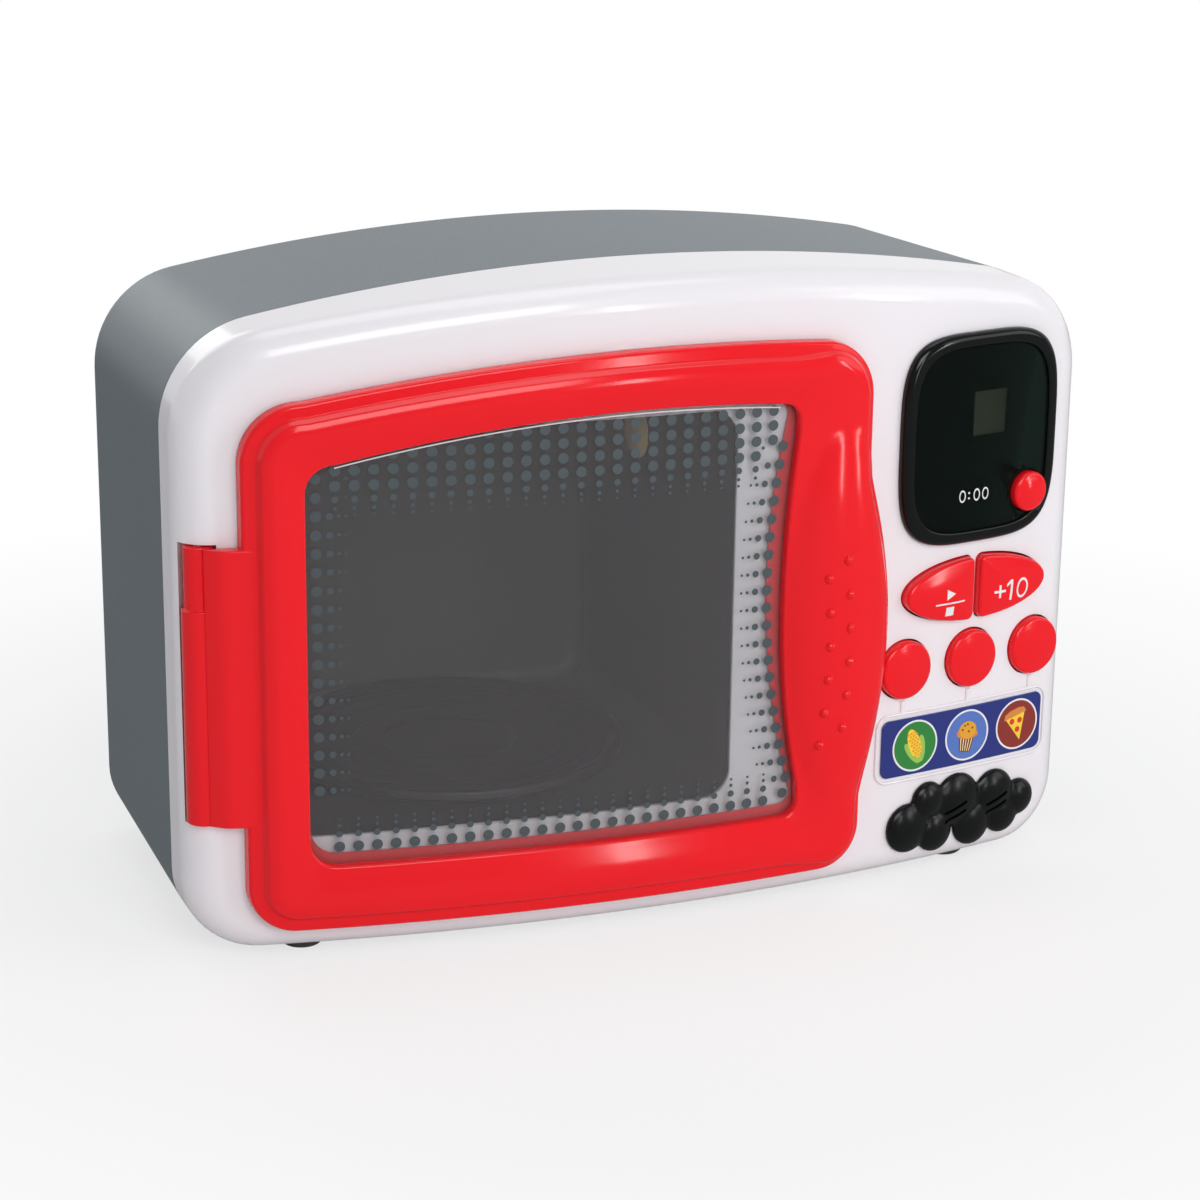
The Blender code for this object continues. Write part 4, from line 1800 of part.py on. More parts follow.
def add_hatch(parts, cutters, root, material, metal):
    """The battery hatch, flush with the back: two tabs below, a screw above and grip grooves."""
    left, bottom, right, top = hatch_box()
    inner = rounded_rectangle(
        left + HATCH_CLEARANCE, bottom + HATCH_CLEARANCE, right - HATCH_CLEARANCE, top - HATCH_CLEARANCE,
        HATCH_CORNER - HATCH_CLEARANCE, 4,
    )
    face = BACK_Y
    under = BACK_Y - SHELL_WALL
    mesh = prism("battery_door", inner, -face, -under)
    hatch = place(new_object("battery_door", mesh, parts, material), parent=root, **facing())
    joins = new_collection("hatch_joins", cutters)
    cuts = new_collection("hatch_cuts", cutters)
    pocket = battery_pocket()
    for i, x in enumerate(
        (BATTERY_X - (pocket[2] - pocket[0]) / 4, BATTERY_X + (pocket[2] - pocket[0]) / 4), 1,
    ):
        low = bottom + HATCH_CLEARANCE - HATCH_TAB_REACH
        tab = box_mesh(
            f"hatch_tab_{i}", (x - HATCH_TAB_WIDTH / 2, under - HATCH_TAB_THICKNESS, low),
            (x + HATCH_TAB_WIDTH / 2, under - GAP, bottom + HATCH_TAB_REACH),
        )
        place(as_cutter(new_object(f"hatch_tab_{i}", tab, joins)), parent=root)
        foot = box_mesh(
            f"hatch_tab_foot_{i}",
            (x - HATCH_TAB_WIDTH / 2, under - HATCH_TAB_THICKNESS / 2, bottom + HATCH_CLEARANCE * 2),
            (x + HATCH_TAB_WIDTH / 2, under + EMBED / 2, bottom + HATCH_TAB_REACH - GAP),
        )
        place(as_cutter(new_object(f"hatch_tab_foot_{i}", foot, joins)), parent=root)
    along_y(
        "hatch_screw_hole", HATCH_SCREW_RADIUS + GAP, BATTERY_X, hatch_screw_z(), under - OVERRUN,
        face + OVERRUN, cuts, root, 10,
    )
    along_y(
        "hatch_screw_sink", HATCH_SCREW_HEAD_RADIUS + GAP, BATTERY_X, hatch_screw_z(),
        face - HATCH_SCREW_HEAD_HEIGHT, face + OVERRUN, cuts, root,
    )
    for i in range(HATCH_GRIP_COUNT):
        z = bottom + HATCH_GRIP_WIDTH / 2 + i * HATCH_GRIP_PITCH
        groove = box_mesh(
            f"hatch_groove_{i + 1}",
            (BATTERY_X - HATCH_GRIP_WIDTH / 2, face - HATCH_GRIP_DEPTH, z - HATCH_GRIP_HEIGHT / 2),
            (BATTERY_X + HATCH_GRIP_WIDTH / 2, face + OVERRUN, z + HATCH_GRIP_HEIGHT / 2),
        )
        place(as_cutter(new_object(f"hatch_groove_{i + 1}", groove, cuts)), parent=root)
    boolean(hatch, joins, "UNION")
    boolean(hatch, cuts, "DIFFERENCE")
    seat = face - HATCH_SCREW_HEAD_HEIGHT + GAP
    profile = [
        (0, HATCH_SCREW_HEAD_HEIGHT - GAP * 2),
        (HATCH_SCREW_HEAD_RADIUS * 0.8, HATCH_SCREW_HEAD_HEIGHT - GAP * 2),
        (HATCH_SCREW_HEAD_RADIUS, HATCH_SCREW_HEAD_HEIGHT / 3), (HATCH_SCREW_HEAD_RADIUS, 0),
        (HATCH_SCREW_RADIUS, 0),
        (HATCH_SCREW_RADIUS, -HATCH_SCREW_REACH), (0, -HATCH_SCREW_REACH),
    ]
    screw = turned("battery_door_screw", profile, parts, metal, 12)
    place(screw, (BATTERY_X, seat, hatch_screw_z()), (-math.pi / 2, 0, 0), root)


def cell_places():
    return [BATTERY_X + CELL_PITCH * (i - (CELL_COUNT - 1) / 2) for i in range(CELL_COUNT)]


def add_cells(parts, root, material):
    for i, x in enumerate(cell_places(), 1):
        top = CELL_LENGTH + CELL_NUB_HEIGHT
        edge = CELL_NUB_HEIGHT / 2
        profile = [
            (0, top), (CELL_NUB_RADIUS, top), (CELL_NUB_RADIUS, CELL_LENGTH),
            (CELL_RADIUS - edge, CELL_LENGTH),
            (CELL_RADIUS, CELL_LENGTH - edge), (CELL_RADIUS, edge), (CELL_RADIUS - edge, 0), (0, 0),
        ]
        place(turned(f"cell_{i}", profile, parts, material, 16), (x, cell_y(), CELL_BOTTOM), parent=root)


def add_contacts(parts, cutters, root, material):
    """A strip of three coned springs below the cells and a strip of three bumps above them."""
    left, bottom, right, top = battery_pocket()
    side = BOX_SIDE_CLEARANCE
    y0, y1 = cell_y() - CELL_RADIUS, cell_y() + CELL_RADIUS
    joins = new_collection("contact_joins", cutters)
    caps = new_collection("contact_cap_joins", cutters)
    low = box_mesh(
        "spring_contacts", (left + side, y0 + side, bottom + GAP),
        (right - side, y1 - side, bottom + GAP + CONTACT_THICKNESS),
    )
    strip = place(new_object("spring_contacts", low, parts, material), parent=root)
    high = box_mesh(
        "plate_contacts", (left + side, y0 + side, top - GAP - CONTACT_THICKNESS),
        (right - side, y1 - side, top - GAP),
    )
    plate = place(new_object("plate_contacts", high, parts, material), parent=root)
    for i, x in enumerate(cell_places(), 1):
        spring = cylinder_mesh(
            f"spring_{i}", SPRING_RADIUS, bottom + GAP + CONTACT_THICKNESS / 2, CELL_BOTTOM - GAP, 14,
            SPRING_TIP_RADIUS,
        )
        place(as_cutter(new_object(f"spring_{i}", spring, joins)), (x, cell_y(), 0), parent=root)
        cap = cylinder_mesh(
            f"contact_cap_{i}", CELL_NUB_RADIUS, CELL_BOTTOM + CELL_LENGTH + CELL_NUB_HEIGHT + GAP,
            top - GAP - CONTACT_THICKNESS / 2, 14, SPRING_RADIUS,
        )
        place(as_cutter(new_object(f"contact_cap_{i}", cap, caps)), (x, cell_y(), 0), parent=root)
    boolean(strip, joins, "UNION")
    boolean(plate, caps, "UNION")


# Assembly


def foremost():
    """Y of the door's foremost point, on its front or on a grip dome."""
    outer = door_outline()
    inner = window_outline()
    shares = [at for at, _ in DOOR_SECTION_SHARES + DOOR_BAND_SHARES]
    skin = min(point[1] for share in shares for point in lane(outer, inner, share))
    return min(skin, min(y for _, y, _ in grip_centres()) - GRIP_RADIUS)


def build():
    clear_scene()
    parts = new_collection("toy_microwave")
    cutters = new_collection("cutters")
    white = new_material("white_plastic", (236, 232, 235), 0.28)
    grey = new_material("grey_plastic", (92, 103, 108), 0.42)
    dark = new_material("dark_plastic", (70, 72, 72), 0.50)
    charcoal = new_material("charcoal_plastic", (52, 50, 50), 0.45)
    red = new_material("red_plastic", (232, 26, 36), 0.22)
    black = new_material("black_plastic", (16, 20, 20), 0.18)
    blue = new_material("label_print", (38, 48, 120), 0.35)
    rubber = new_material("grey_rubber", (60, 62, 64), 0.80)
    steel = new_material("steel", (168, 170, 172), 0.35, 1.0)
    board = new_material("board_green", (28, 84, 52), 0.50)
    cell = new_material("cell_wrap", (58, 84, 72), 0.40)
    clear = new_material("clear_plastic", (235, 240, 240), 0.05, 0.0, 0.25)
    smoked = new_material("smoked_plastic", (30, 36, 38), 0.05, 0.0, 0.45)
    amber = new_material("amber_plastic", (250, 205, 120), 0.15, 0.0, 0.70)
    lcd = new_material("lcd_glass", (104, 110, 92), 0.20)
    root = bpy.data.objects.new("toy_microwave_root", None)
    bpy.context.scene.collection.objects.link(root)
    place(root, (0, -(foremost() + BACK_Y) / 2, 0))
    panel = add_panel(root)
    add_front_shell(parts, cutters, root, panel, white)
    add_rear_shell(parts, cutters, root, grey)
    add_case_screws(parts, root, steel)
    add_feet(parts, root, rubber)
    add_liner(parts, cutters, root, dark)
    add_turntable(parts, root, charcoal, steel)
    add_lamp(parts, root, amber, clear)
    add_door(parts, cutters, root, red, clear, steel)
    add_display(parts, cutters, panel, black, smoked, lcd)
    add_buttons(parts, cutters, panel, red)
    add_label(parts, root, blue)
    add_speaker_cover(parts, cutters, panel, black)
    add_speaker(parts, panel, charcoal)
    add_board(parts, cutters, panel, board, steel)
    add_battery_box(parts, cutters, root, grey)
    add_hatch(parts, cutters, root, grey, steel)
    add_cells(parts, root, cell)
    add_contacts(parts, cutters, root, steel)


build()
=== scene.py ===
"""The looks of the toy microwave oven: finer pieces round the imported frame, their materials and a studio.

Metres, +Z up, the front faces -Y. The drawing frame is the part's own: Y = 0 is the foremost line of the
white front, and SHIFT moves a point from it into the frame's place.
"""

import math

import bmesh
import bpy
from mathutils import Matrix, Vector
from mathutils.bvhtree import BVHTree

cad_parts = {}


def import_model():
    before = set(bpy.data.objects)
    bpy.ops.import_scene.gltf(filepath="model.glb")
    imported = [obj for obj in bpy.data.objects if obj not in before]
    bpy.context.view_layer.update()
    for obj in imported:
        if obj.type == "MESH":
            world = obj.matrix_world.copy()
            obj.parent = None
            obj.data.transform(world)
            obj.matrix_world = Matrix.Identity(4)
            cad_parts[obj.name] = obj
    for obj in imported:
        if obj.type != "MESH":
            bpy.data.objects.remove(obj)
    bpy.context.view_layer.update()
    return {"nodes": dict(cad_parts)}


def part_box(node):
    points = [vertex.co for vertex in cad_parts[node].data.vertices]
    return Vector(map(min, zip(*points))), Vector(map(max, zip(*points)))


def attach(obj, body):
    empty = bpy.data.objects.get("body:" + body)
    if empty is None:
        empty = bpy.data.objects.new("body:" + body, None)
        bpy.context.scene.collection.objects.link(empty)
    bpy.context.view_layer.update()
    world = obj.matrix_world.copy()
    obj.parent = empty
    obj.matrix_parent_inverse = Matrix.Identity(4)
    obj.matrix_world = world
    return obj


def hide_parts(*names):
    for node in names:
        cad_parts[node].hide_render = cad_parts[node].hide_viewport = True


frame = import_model()

# Sizes that repeat the part's

GAP = 0.0003
OVERRUN = 0.004
EMBED = 0.001

SHELL_WIDTH = 0.295
SHELL_BOTTOM = 0.0035
SHELL_TOP = 0.2038
SHELL_ARCH_RADIUS = 0.690
SHELL_HIGH_RADIUS = 0.032
SHELL_LOW_RADIUS = 0.022
SHELL_WALL = 0.0022
BOW_RADIUS = 0.600
FRONT_EDGE_RADIUS = 0.009
SEAM_Y = 0.037
BACK_Y = 0.140
BACK_EDGE_RADIUS = 0.010
BACK_DRAFT = 0.003

POST_LOW_X = 0.132
POST_LOW_Z = 0.0245
POST_HIGH_X = 0.118
POST_HIGH_Z = 0.180
POST_JOINT_Y = 0.060
REAR_POST_RADIUS = 0.0056
CASE_SCREW_SEAT = 0.007
CASE_SCREW_HEAD_RADIUS = 0.0031
CASE_SCREW_RADIUS = 0.0015
CASE_SCREW_CLEARANCE = 0.0004

FOOT_RADIUS = 0.0065
FOOT_X = 0.110
FOOT_FRONT_Y = 0.0275
FOOT_BACK_Y = 0.122
FOOT_EDGE = 0.0008
FOOT_RING_SHARES = (0.75, 0.40)

CAVITY_LEFT = -0.119
CAVITY_RIGHT = 0.020
CAVITY_BOTTOM = 0.040
CAVITY_TOP = 0.163
CAVITY_CORNER = 0.009
LINER_MARGIN = 0.0006
LINER_WALL = 0.0020
LINER_BACK = 0.126
LINER_TAPER_SHARE = 0.975
LINER_FLANGE = 0.0045
LINER_FLANGE_DEPTH = 0.0022
LINER_ROUND_SHARE = 0.6

TABLE_RADIUS = 0.0555
TABLE_Y = 0.0645
TABLE_LIFT = 0.0022
TABLE_THICKNESS = 0.0026
TABLE_RIM_HEIGHT = 0.0022
TABLE_RIM_WIDTH = 0.0030
TABLE_WELL_RADIUS = 0.020
TABLE_WELL_DEPTH = 0.0008
TABLE_RING_SHARES = (0.55, 0.68, 0.81)
TABLE_GROOVE = TABLE_WELL_DEPTH / 5
TABLE_RIM_SHARES = (0.3, 0.4, 0.25, 0.4)
TABLE_STEPS = 120
TABLE_SHAFT_RADIUS = 0.0040
RUNNING_GAP = 0.0005

LAMP_Y = 0.078
LAMP_Z = 0.138
LAMP_DOME_RADIUS = 0.0090
LAMP_DOME_HEIGHT = 0.0032
LAMP_FLATNESS = 0.15

DOOR_LEFT = -0.131
DOOR_RIGHT = 0.0643
DOOR_BOTTOM = 0.012
DOOR_TOP = 0.1839
DOOR_ARCH_RADIUS = 0.620
DOOR_HIGH_RADIUS = 0.018
DOOR_LOW_RADIUS = 0.014
BULGE = 0.0083
BULGE_Z = 0.087
BULGE_HALF = 0.052
BULGE_POWER = 1.2
WINDOW_LEFT = -0.112
WINDOW_RIGHT_TOP = 0.0372
WINDOW_RIGHT_BOTTOM = 0.0405
WINDOW_BOTTOM = 0.0352
WINDOW_TOP = 0.1655
WINDOW_ARCH_X = -0.008
WINDOW_ARCH_RADIUS = 0.430
WINDOW_CORNER = 0.0045
WINDOW_LEFT_CORNER = 0.008
WAIST = 0.0085
WAIST_Z = 0.101
WAIST_HALF = 0.063
DOOR_GAP = 0.0007
DOOR_CREST_HEIGHT = 0.0082
PANE_THICKNESS = 0.0018
HANDLE_X = 0.0540
HANDLE_Z = 0.0950
HANDLE_HALF_WIDTH = 0.0185
HANDLE_HALF_HEIGHT = 0.0600
HANDLE_RISE = 0.0050
HANDLE_POWER = 0.8
GRIP_RADIUS = 0.0017
GRIP_PITCH = 0.0108
GRIP_COUNT = 6
GRIP_SPREAD = 0.0066
GRIP_X = 0.0480
GRIP_LOW_Z = 0.0560
GRIP_SINK_SHARE = 0.25
GRIP_FLAT_SHARE = 0.92

HINGE_INSET = 0.0065
HINGE_SINK = 0.0034
KNUCKLE_RADIUS = 0.0055
KNUCKLE_HIGH_RADIUS = 0.0046
KNUCKLE_BOTTOM = 0.046
KNUCKLE_STEP_Z = 0.112
KNUCKLE_TOP = 0.131
KNUCKLE_CLEARANCE = 0.0006
HINGE_BORE_RADIUS = 0.0018
HINGE_BLOCK_WALL = 0.0100
HINGE_BLOCK_REACH = 0.0175
HINGE_BLOCK_REAR = 0.0111
HINGE_BLOCK_STEPS = 12
LEAF_THICKNESS = 0.0046
LEAF_REACH = 0.0130
LEAF_LEAD_SHARES = (0.25, 1.6)
LEAF_STEPS = 14

LATCH_X = 0.043
LATCH_Z = 0.101
LATCH_WIDTH = 0.0024
LATCH_HEIGHT = 0.0080
LATCH_REACH = 0.0085
LATCH_SIDE_CLEARANCE = 0.0015
LATCH_END_CLEARANCE = 0.0010
SENSOR_HOLE_X = 0.0335
SENSOR_HOLE_Z = 0.1165
SENSOR_HOLE_RADIUS = 0.0017
DRAIN_HOLE_X = -0.0905
DRAIN_HOLE_Z = 0.0290
DRAIN_HOLE_RADIUS = 0.0019

PANEL_X = 0.107
DISPLAY_U = -0.0006
DISPLAY_Z = 0.1452
DISPLAY_HALF_WIDTH = 0.0304
DISPLAY_HALF_HEIGHT = 0.0338
DISPLAY_POWER = 4.0
BEZEL_HEIGHT = 0.0030
BEZEL_ROUND = 0.0022
BEZEL_RIM = 0.0042
BEZEL_BASE = 0.0003
BEZEL_PLUG_INSET = 0.0016
BEZEL_PLUG_DEPTH = 0.0036
LENS_THICKNESS = 0.0010
LENS_SINK = 0.0006
LCD_U = 0.0032
LCD_Z = DISPLAY_Z + DISPLAY_HALF_HEIGHT * 0.222
LCD_VIEW_WIDTH = 0.0136
LCD_VIEW_HEIGHT = DISPLAY_HALF_HEIGHT * 0.426
LCD_POCKET_HALF_WIDTH = 0.0103
LCD_POCKET_HALF_HEIGHT = 0.0108
LCD_POCKET_SKIN = 0.0008
LCD_POCKET_BOW_X = 0.020

BUTTON_CLEARANCE = 0.0005
BUTTON_RISE = 0.0016
BUTTON_DOME = 0.0016
BUTTON_FALL = 0.0008
BUTTON_SHOULDER = 0.0013
FOOD_RADIUS = 0.0095
FOOD_SPREAD = 0.0257
FOOD_Z = 0.0726
RESET_RADIUS = DISPLAY_HALF_HEIGHT * 0.1893
RESET_U = 0.0185
RESET_Z = DISPLAY_Z - DISPLAY_HALF_HEIGHT * 0.577
WIDE_HALF_WIDTH = 0.0275
WIDE_HALF_HEIGHT = 0.0103
WIDE_Z = 0.0963
WIDE_GAP = 0.0023
WIDE_CORNER_SHARE = 0.10
WIDE_DOME = 0.0010
WIDE_ROUND = 0.0012
WIDE_CREST_SHARE = 0.45

LABEL_LEFT = 0.0740
LABEL_RIGHT = 0.1375
LABEL_BOTTOM = 0.0368
LABEL_TOP = 0.0560
LABEL_CORNER = 0.0028
LABEL_MIDDLE = ((LABEL_LEFT + LABEL_RIGHT) / 2, (LABEL_BOTTOM + LABEL_TOP) / 2)
LABEL_THICKNESS = 0.0004
RAIL_GAP = 0.0012
RAIL_WIDTH = 0.0011
RAIL_HEIGHT = 0.0006
STEM_RAIL_WIDTH = 0.0018

COVER_RISE = 0.0034
COVER_Z = 0.0215
COVER_HALF_WIDTH = 0.0290
COVER_LOBE_SHARES = (
    (-0.76, -0.10, 0.29), (-0.50, 0.18, 0.22), (-0.10, 0.12, 0.31), (0.42, 0.10, 0.28), (0.78, -0.02, 0.22),
    (-0.40, -0.20, 0.24), (0.12, -0.20, 0.26), (0.55, -0.17, 0.23),
)
SLOT_WIDTH = 0.0011
SLOT_LENGTH = 0.0090
SLOT_PITCH = 0.0030
SLOT_COUNT = 2
SLOT_TILT_DEG = 22.0
SLOT_U_SHARES = (-0.16, 0.42)
SLOT_ROUND_SHARE = 0.95
COVER_BASE_DEPTH = 0.020
COVER_BASE_SHARE = 1.1
COVER_BASE_STEPS = 24
COVER_VOXEL = 0.0004
COVER_SMOOTHING = 12

HATCH_BOTTOM = 0.0665
HATCH_CLEARANCE = 0.0004
HATCH_CORNER = 0.0030
HATCH_GRIP_WIDTH = 0.0200
HATCH_GRIP_HEIGHT = 0.0012
HATCH_GRIP_PITCH = 0.0030
HATCH_GRIP_COUNT = 3
HATCH_GRIP_DEPTH = 0.0007
HATCH_SCREW_HEAD_RADIUS = 0.0026
HATCH_SCREW_HEAD_HEIGHT = 0.0012
HATCH_SCREW_REACH = 0.0060
# A screw head's profile and its cross, as shares of its radius and height
HEAD_SHARES = ((0.0, 1.0), (0.55, 0.93), (0.9, 0.6), (1.0, 0.25), (1.0, 0.0), (0.5, 0.0))
CROSS_SHARES = (0.62, 0.13, 0.35)

# Sizes that only the looks need

SKIN_NEAR = 0.0002
FILM = 0.00005
FILM_STEP = 0.0016
SEAT_HEIGHT = DOOR_GAP + PANE_THICKNESS + GAP
BEVEL = 0.0004

# The door's section: distance in from the outer edge, or out from the window, and height above the front
DOOR_DRAFT = 0.00015
DOOR_ROUND = 0.0012
LEDGE_WIDE = 0.0038
LEDGE_NARROW = 0.0016
LEDGE_LOW = 0.0049
LEDGE_HIGH = 0.0052
STEP_WIDTH = 0.0019
STEP_TOP = 0.0075
CROWN_REACH = 0.0046
LEDGE_TURN_X = DOOR_RIGHT - DOOR_HIGH_RADIUS * 1.7
LEDGE_TURN_WIDTH = DOOR_HIGH_RADIUS * 1.3
LEDGE_BREAK_SHARE = 0.6
CROWN_SHARES = (0.3, 0.65, 1.0)
CROWN_POWER = 1.8
CROWN_STEPS = 12
# The frame's inner lip stands round the pane, and a thin ledge behind the pane reaches in to the window
LIP_LEFT = WINDOW_LEFT - 0.0012
LIP_RIGHT_TOP = 0.0380
LIP_RIGHT_BOTTOM = 0.0407
LIP_BOTTOM = 0.0325
LIP_TOP = WINDOW_TOP + 0.0008
LIP_CORNER = 0.0050
LIP_LEFT_CORNER = 0.0085
LIP_WAIST = 0.0050
LIP_WAIST_Z = 0.093
LIP_WAIST_BELOW = 0.050
LIP_WAIST_ABOVE = 0.062
LIP_HEIGHT = 0.0060
LIP_ROUND = 0.0010
PANE_REACH = 0.0052
PANE_REST = 0.0012

# The window's printed border, and a painted highlight: a pale line under its arch where the pane's top edge
# catches the light
DOT_PITCH = 0.0056
DOT_RADII = (0.00165, 0.00105, 0.00055, 0.00042)
DOT_STEPS = (0.0040, 0.0027, 0.0020)
DOT_EDGE = 0.0008
DOT_ROW_PITCH = 0.0045
DOT_CLEARANCE = 0.0005
DOT_MAIN_DROP = 0.0062
DOT_TURN_SHARE = 1.2
DOT_CORNER_SHARE = 0.24
DOT_SIDE_SHARE = 0.3
DOT_SIDES = 14
HIGHLIGHT_LINE_DROP = 0.0010
HIGHLIGHT_LINE_WIDTH = GAP * 1.3
HIGHLIGHT_LINE_STEPS = 60

# Each sign's place on the panel and its scale
RESET_SIGN = (-0.0030, 0.1271, 0.0020)
START_STOP_SIGN = (-0.0114, 0.0932, 0.0034)
ADD_TIME_SIGN = (0.0138, 0.0940, 0.0043)
ICON_RADIUS = 0.0086
ICON_GROUND_SHARE = 0.94
ICON_X = (0.0868, 0.1072, 0.1276)

# How many steps a rounding takes
EDGE_STEPS = 10
ROUND_STEPS = 8
SHOULDER_STEPS = 6
HOLE_STEPS = 48
BUTTON_STEPS = 72
HEAD_STEPS = 36
BORE_STEPS = 40
SMALL_HOLE_STEPS = 32
FACE_RINGS = 11
PANE_RINGS = 12
# Along the housing's foot, a low corner, a side, a high corner and the arch
SHELL_STEPS = (24, 14, 12, 16, 30)
DOOR_ACROSS_STEPS = 40
DOOR_CORNER_STEPS = 14
DOOR_UP_STEPS = 44

# Places

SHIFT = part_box("rear_shell")[1].y - BACK_Y
DRAWN = Matrix.Translation((0, SHIFT, 0))
PANEL_SLOPE = math.asin(PANEL_X / BOW_RADIUS)


def bow(x):
    """How far back the front lies at x, for it is part of an upright cylinder."""
    return BOW_RADIUS - math.sqrt(BOW_RADIUS ** 2 - x ** 2)


def facing(x=0.0, z=0.0):
    """Puts local X, Y, Z along the front's right, up and outwards, at a point of the drawing frame."""
    return Matrix.Translation((x, SHIFT, z)) @ Matrix.Rotation(math.pi / 2, 4, "X")


def on_panel(u, z):
    """The same for the control panel, whose pieces stand square to the bow at PANEL_X."""
    panel = Matrix.Translation((PANEL_X, bow(PANEL_X) + SHIFT, 0)) @ Matrix.Rotation(PANEL_SLOPE, 4, "Z")
    return panel @ Matrix.Translation((u, 0, z)) @ Matrix.Rotation(math.pi / 2, 4, "X")


def standing(x, y):
    return Matrix.Translation((x, y + SHIFT, 0))


ARCH_CENTRE_Z = SHELL_TOP - SHELL_ARCH_RADIUS
SHELL_MIDDLE_Z = (SHELL_BOTTOM + SHELL_TOP) / 2
# The centres of the housing's right corners. The upper one meets both the side and the arch.
LOW_X = SHELL_WIDTH / 2 - SHELL_LOW_RADIUS
LOW_Z = SHELL_BOTTOM + SHELL_LOW_RADIUS
HIGH_X = SHELL_WIDTH / 2 - SHELL_HIGH_RADIUS
HIGH_Z = ARCH_CENTRE_Z + math.sqrt((SHELL_ARCH_RADIUS - SHELL_HIGH_RADIUS) ** 2 - HIGH_X ** 2)
CAVITY_MIDDLE_X = (CAVITY_LEFT + CAVITY_RIGHT) / 2
CAVITY_MIDDLE_Z = (CAVITY_BOTTOM + CAVITY_TOP) / 2
HINGE_X = -SHELL_WIDTH / 2 + HINGE_INSET
HINGE_Y = bow(HINGE_X) + HINGE_SINK

# Outlines


def quarter(steps):
    """The sine and the cosine at each step of a quarter turn."""
    for i in range(steps + 1):
        angle = math.pi / 2 * i / steps
        yield math.sin(angle), math.cos(angle)


def arc(x, z, radius, start, end, steps):
    """Points from one angle to another in degrees, without the last."""
    span = math.radians(end - start)
    first = math.radians(start)
    return [
        (x + radius * math.cos(first + span * i / steps), z + radius * math.sin(first + span * i / steps))
        for i in range(steps)
    ]


def line(x0, z0, x1, z1, steps):
    return [(x0 + (x1 - x0) * i / steps, z0 + (z1 - z0) * i / steps) for i in range(steps)]


def offset_outline(points, distance):
    """A closed outline, anticlockwise, moved outwards by a distance, which may be a function of X."""
    moved_points = []
    for i, (x, z) in enumerate(points):
        before = points[i - 1]
        after = points[(i + 1) % len(points)]
        along = Vector((after[0] - before[0], after[1] - before[1])).normalized()
        reach = distance(x) if callable(distance) else distance
        moved_points.append((x + along.y * reach, z - along.x * reach))
    return moved_points


def shrunk(points, middle_x, middle_z, share):
    return [(middle_x + (x - middle_x) * share, middle_z + (z - middle_z) * share) for x, z in points]


def rounded_rectangle(left, bottom, right, top, radius, steps=ROUND_STEPS):
    return (
        arc(right - radius, bottom + radius, radius, -90, 0, steps)
        + arc(right - radius, top - radius, radius, 0, 90, steps)
        + arc(left + radius, top - radius, radius, 90, 180, steps)
        + arc(left + radius, bottom + radius, radius, 180, 270, steps)
    )


def circle(radius, steps=24, x=0.0, z=0.0):
    return arc(x, z, radius, 0, 360, steps)


def dense(outline, longest):
    """The same closed outline with points no further apart than the given length."""
    points = []
    for i, (x, z) in enumerate(outline):
        nx, nz = outline[(i + 1) % len(outline)]
        steps = max(1, math.ceil(math.hypot(nx - x, nz - z) / longest))
        points += line(x, z, nx, nz, steps)
    return points


def softened(points, radius, steps=4):
    """An open profile with each corner rounded off from the given distance before it to as far after it."""
    soft = [points[0]]
    nearly_half = 0.45
    for before, corner, after in zip(points, points[1:], points[2:]):
        middle = Vector(corner)
        back = Vector(before) - middle
        on = Vector(after) - middle
        near = middle + back.normalized() * min(radius, back.length * nearly_half)
        far = middle + on.normalized() * min(radius, on.length * nearly_half)
        for i in range(steps + 1):
            share = i / steps
            soft.append(tuple(near * (1 - share) ** 2 + middle * 2 * share * (1 - share) + far * share ** 2))
    soft.append(points[-1])
    return soft


def shell_outline(inset):
    """The housing's outline, anticlockwise from the lower left, drawn in by the inset."""
    low_radius = SHELL_LOW_RADIUS - inset
    high_radius = SHELL_HIGH_RADIUS - inset
    lean = math.degrees(math.atan2(HIGH_X, HIGH_Z - ARCH_CENTRE_Z))
    bottom = SHELL_BOTTOM + inset
    side = SHELL_WIDTH / 2 - inset
    foot, low, up, high, top = SHELL_STEPS
    return (
        line(-LOW_X, bottom, LOW_X, bottom, foot)
        + arc(LOW_X, LOW_Z, low_radius, -90, 0, low)
        + line(side, LOW_Z, side, HIGH_Z, up)
        + arc(HIGH_X, HIGH_Z, high_radius, 0, 90 - lean, high)
        + arc(0, ARCH_CENTRE_Z, SHELL_ARCH_RADIUS - inset, 90 - lean, 90 + lean, top)
        + arc(-HIGH_X, HIGH_Z, high_radius, 90 + lean, 180, high)
        + line(-side, HIGH_Z, -side, LOW_Z, up)
        + arc(-LOW_X, LOW_Z, low_radius, 180, 270, low)
    )


def inset_at(x, z):
    """Distance from the housing's outline, inwards."""
    across = abs(x)
    if across > LOW_X and z < LOW_Z:
        return SHELL_LOW_RADIUS - math.hypot(across - LOW_X, z - LOW_Z)
    lean = HIGH_X / (HIGH_Z - ARCH_CENTRE_Z)
    if across > HIGH_X and z > HIGH_Z and across / (z - ARCH_CENTRE_Z) > lean:
        return SHELL_HIGH_RADIUS - math.hypot(across - HIGH_X, z - HIGH_Z)
    top = SHELL_ARCH_RADIUS - math.hypot(across, z - ARCH_CENTRE_Z)
    return min(SHELL_WIDTH / 2 - across, z - SHELL_BOTTOM, top)


def front_y(x, z, height=0.0):
    """Y of a point that stands out from the front by the height, rounded edge included."""
    short = max(FRONT_EDGE_RADIUS - max(inset_at(x, z), 0), 0)
    return bow(x) + FRONT_EDGE_RADIUS - math.sqrt(FRONT_EDGE_RADIUS ** 2 - short ** 2) - height


def on_front(points, height):
    return [(x, front_y(x, z, height), z) for x, z in points]


def on_bow(points, height):
    return [(x, bow(x) - height, z) for x, z in points]


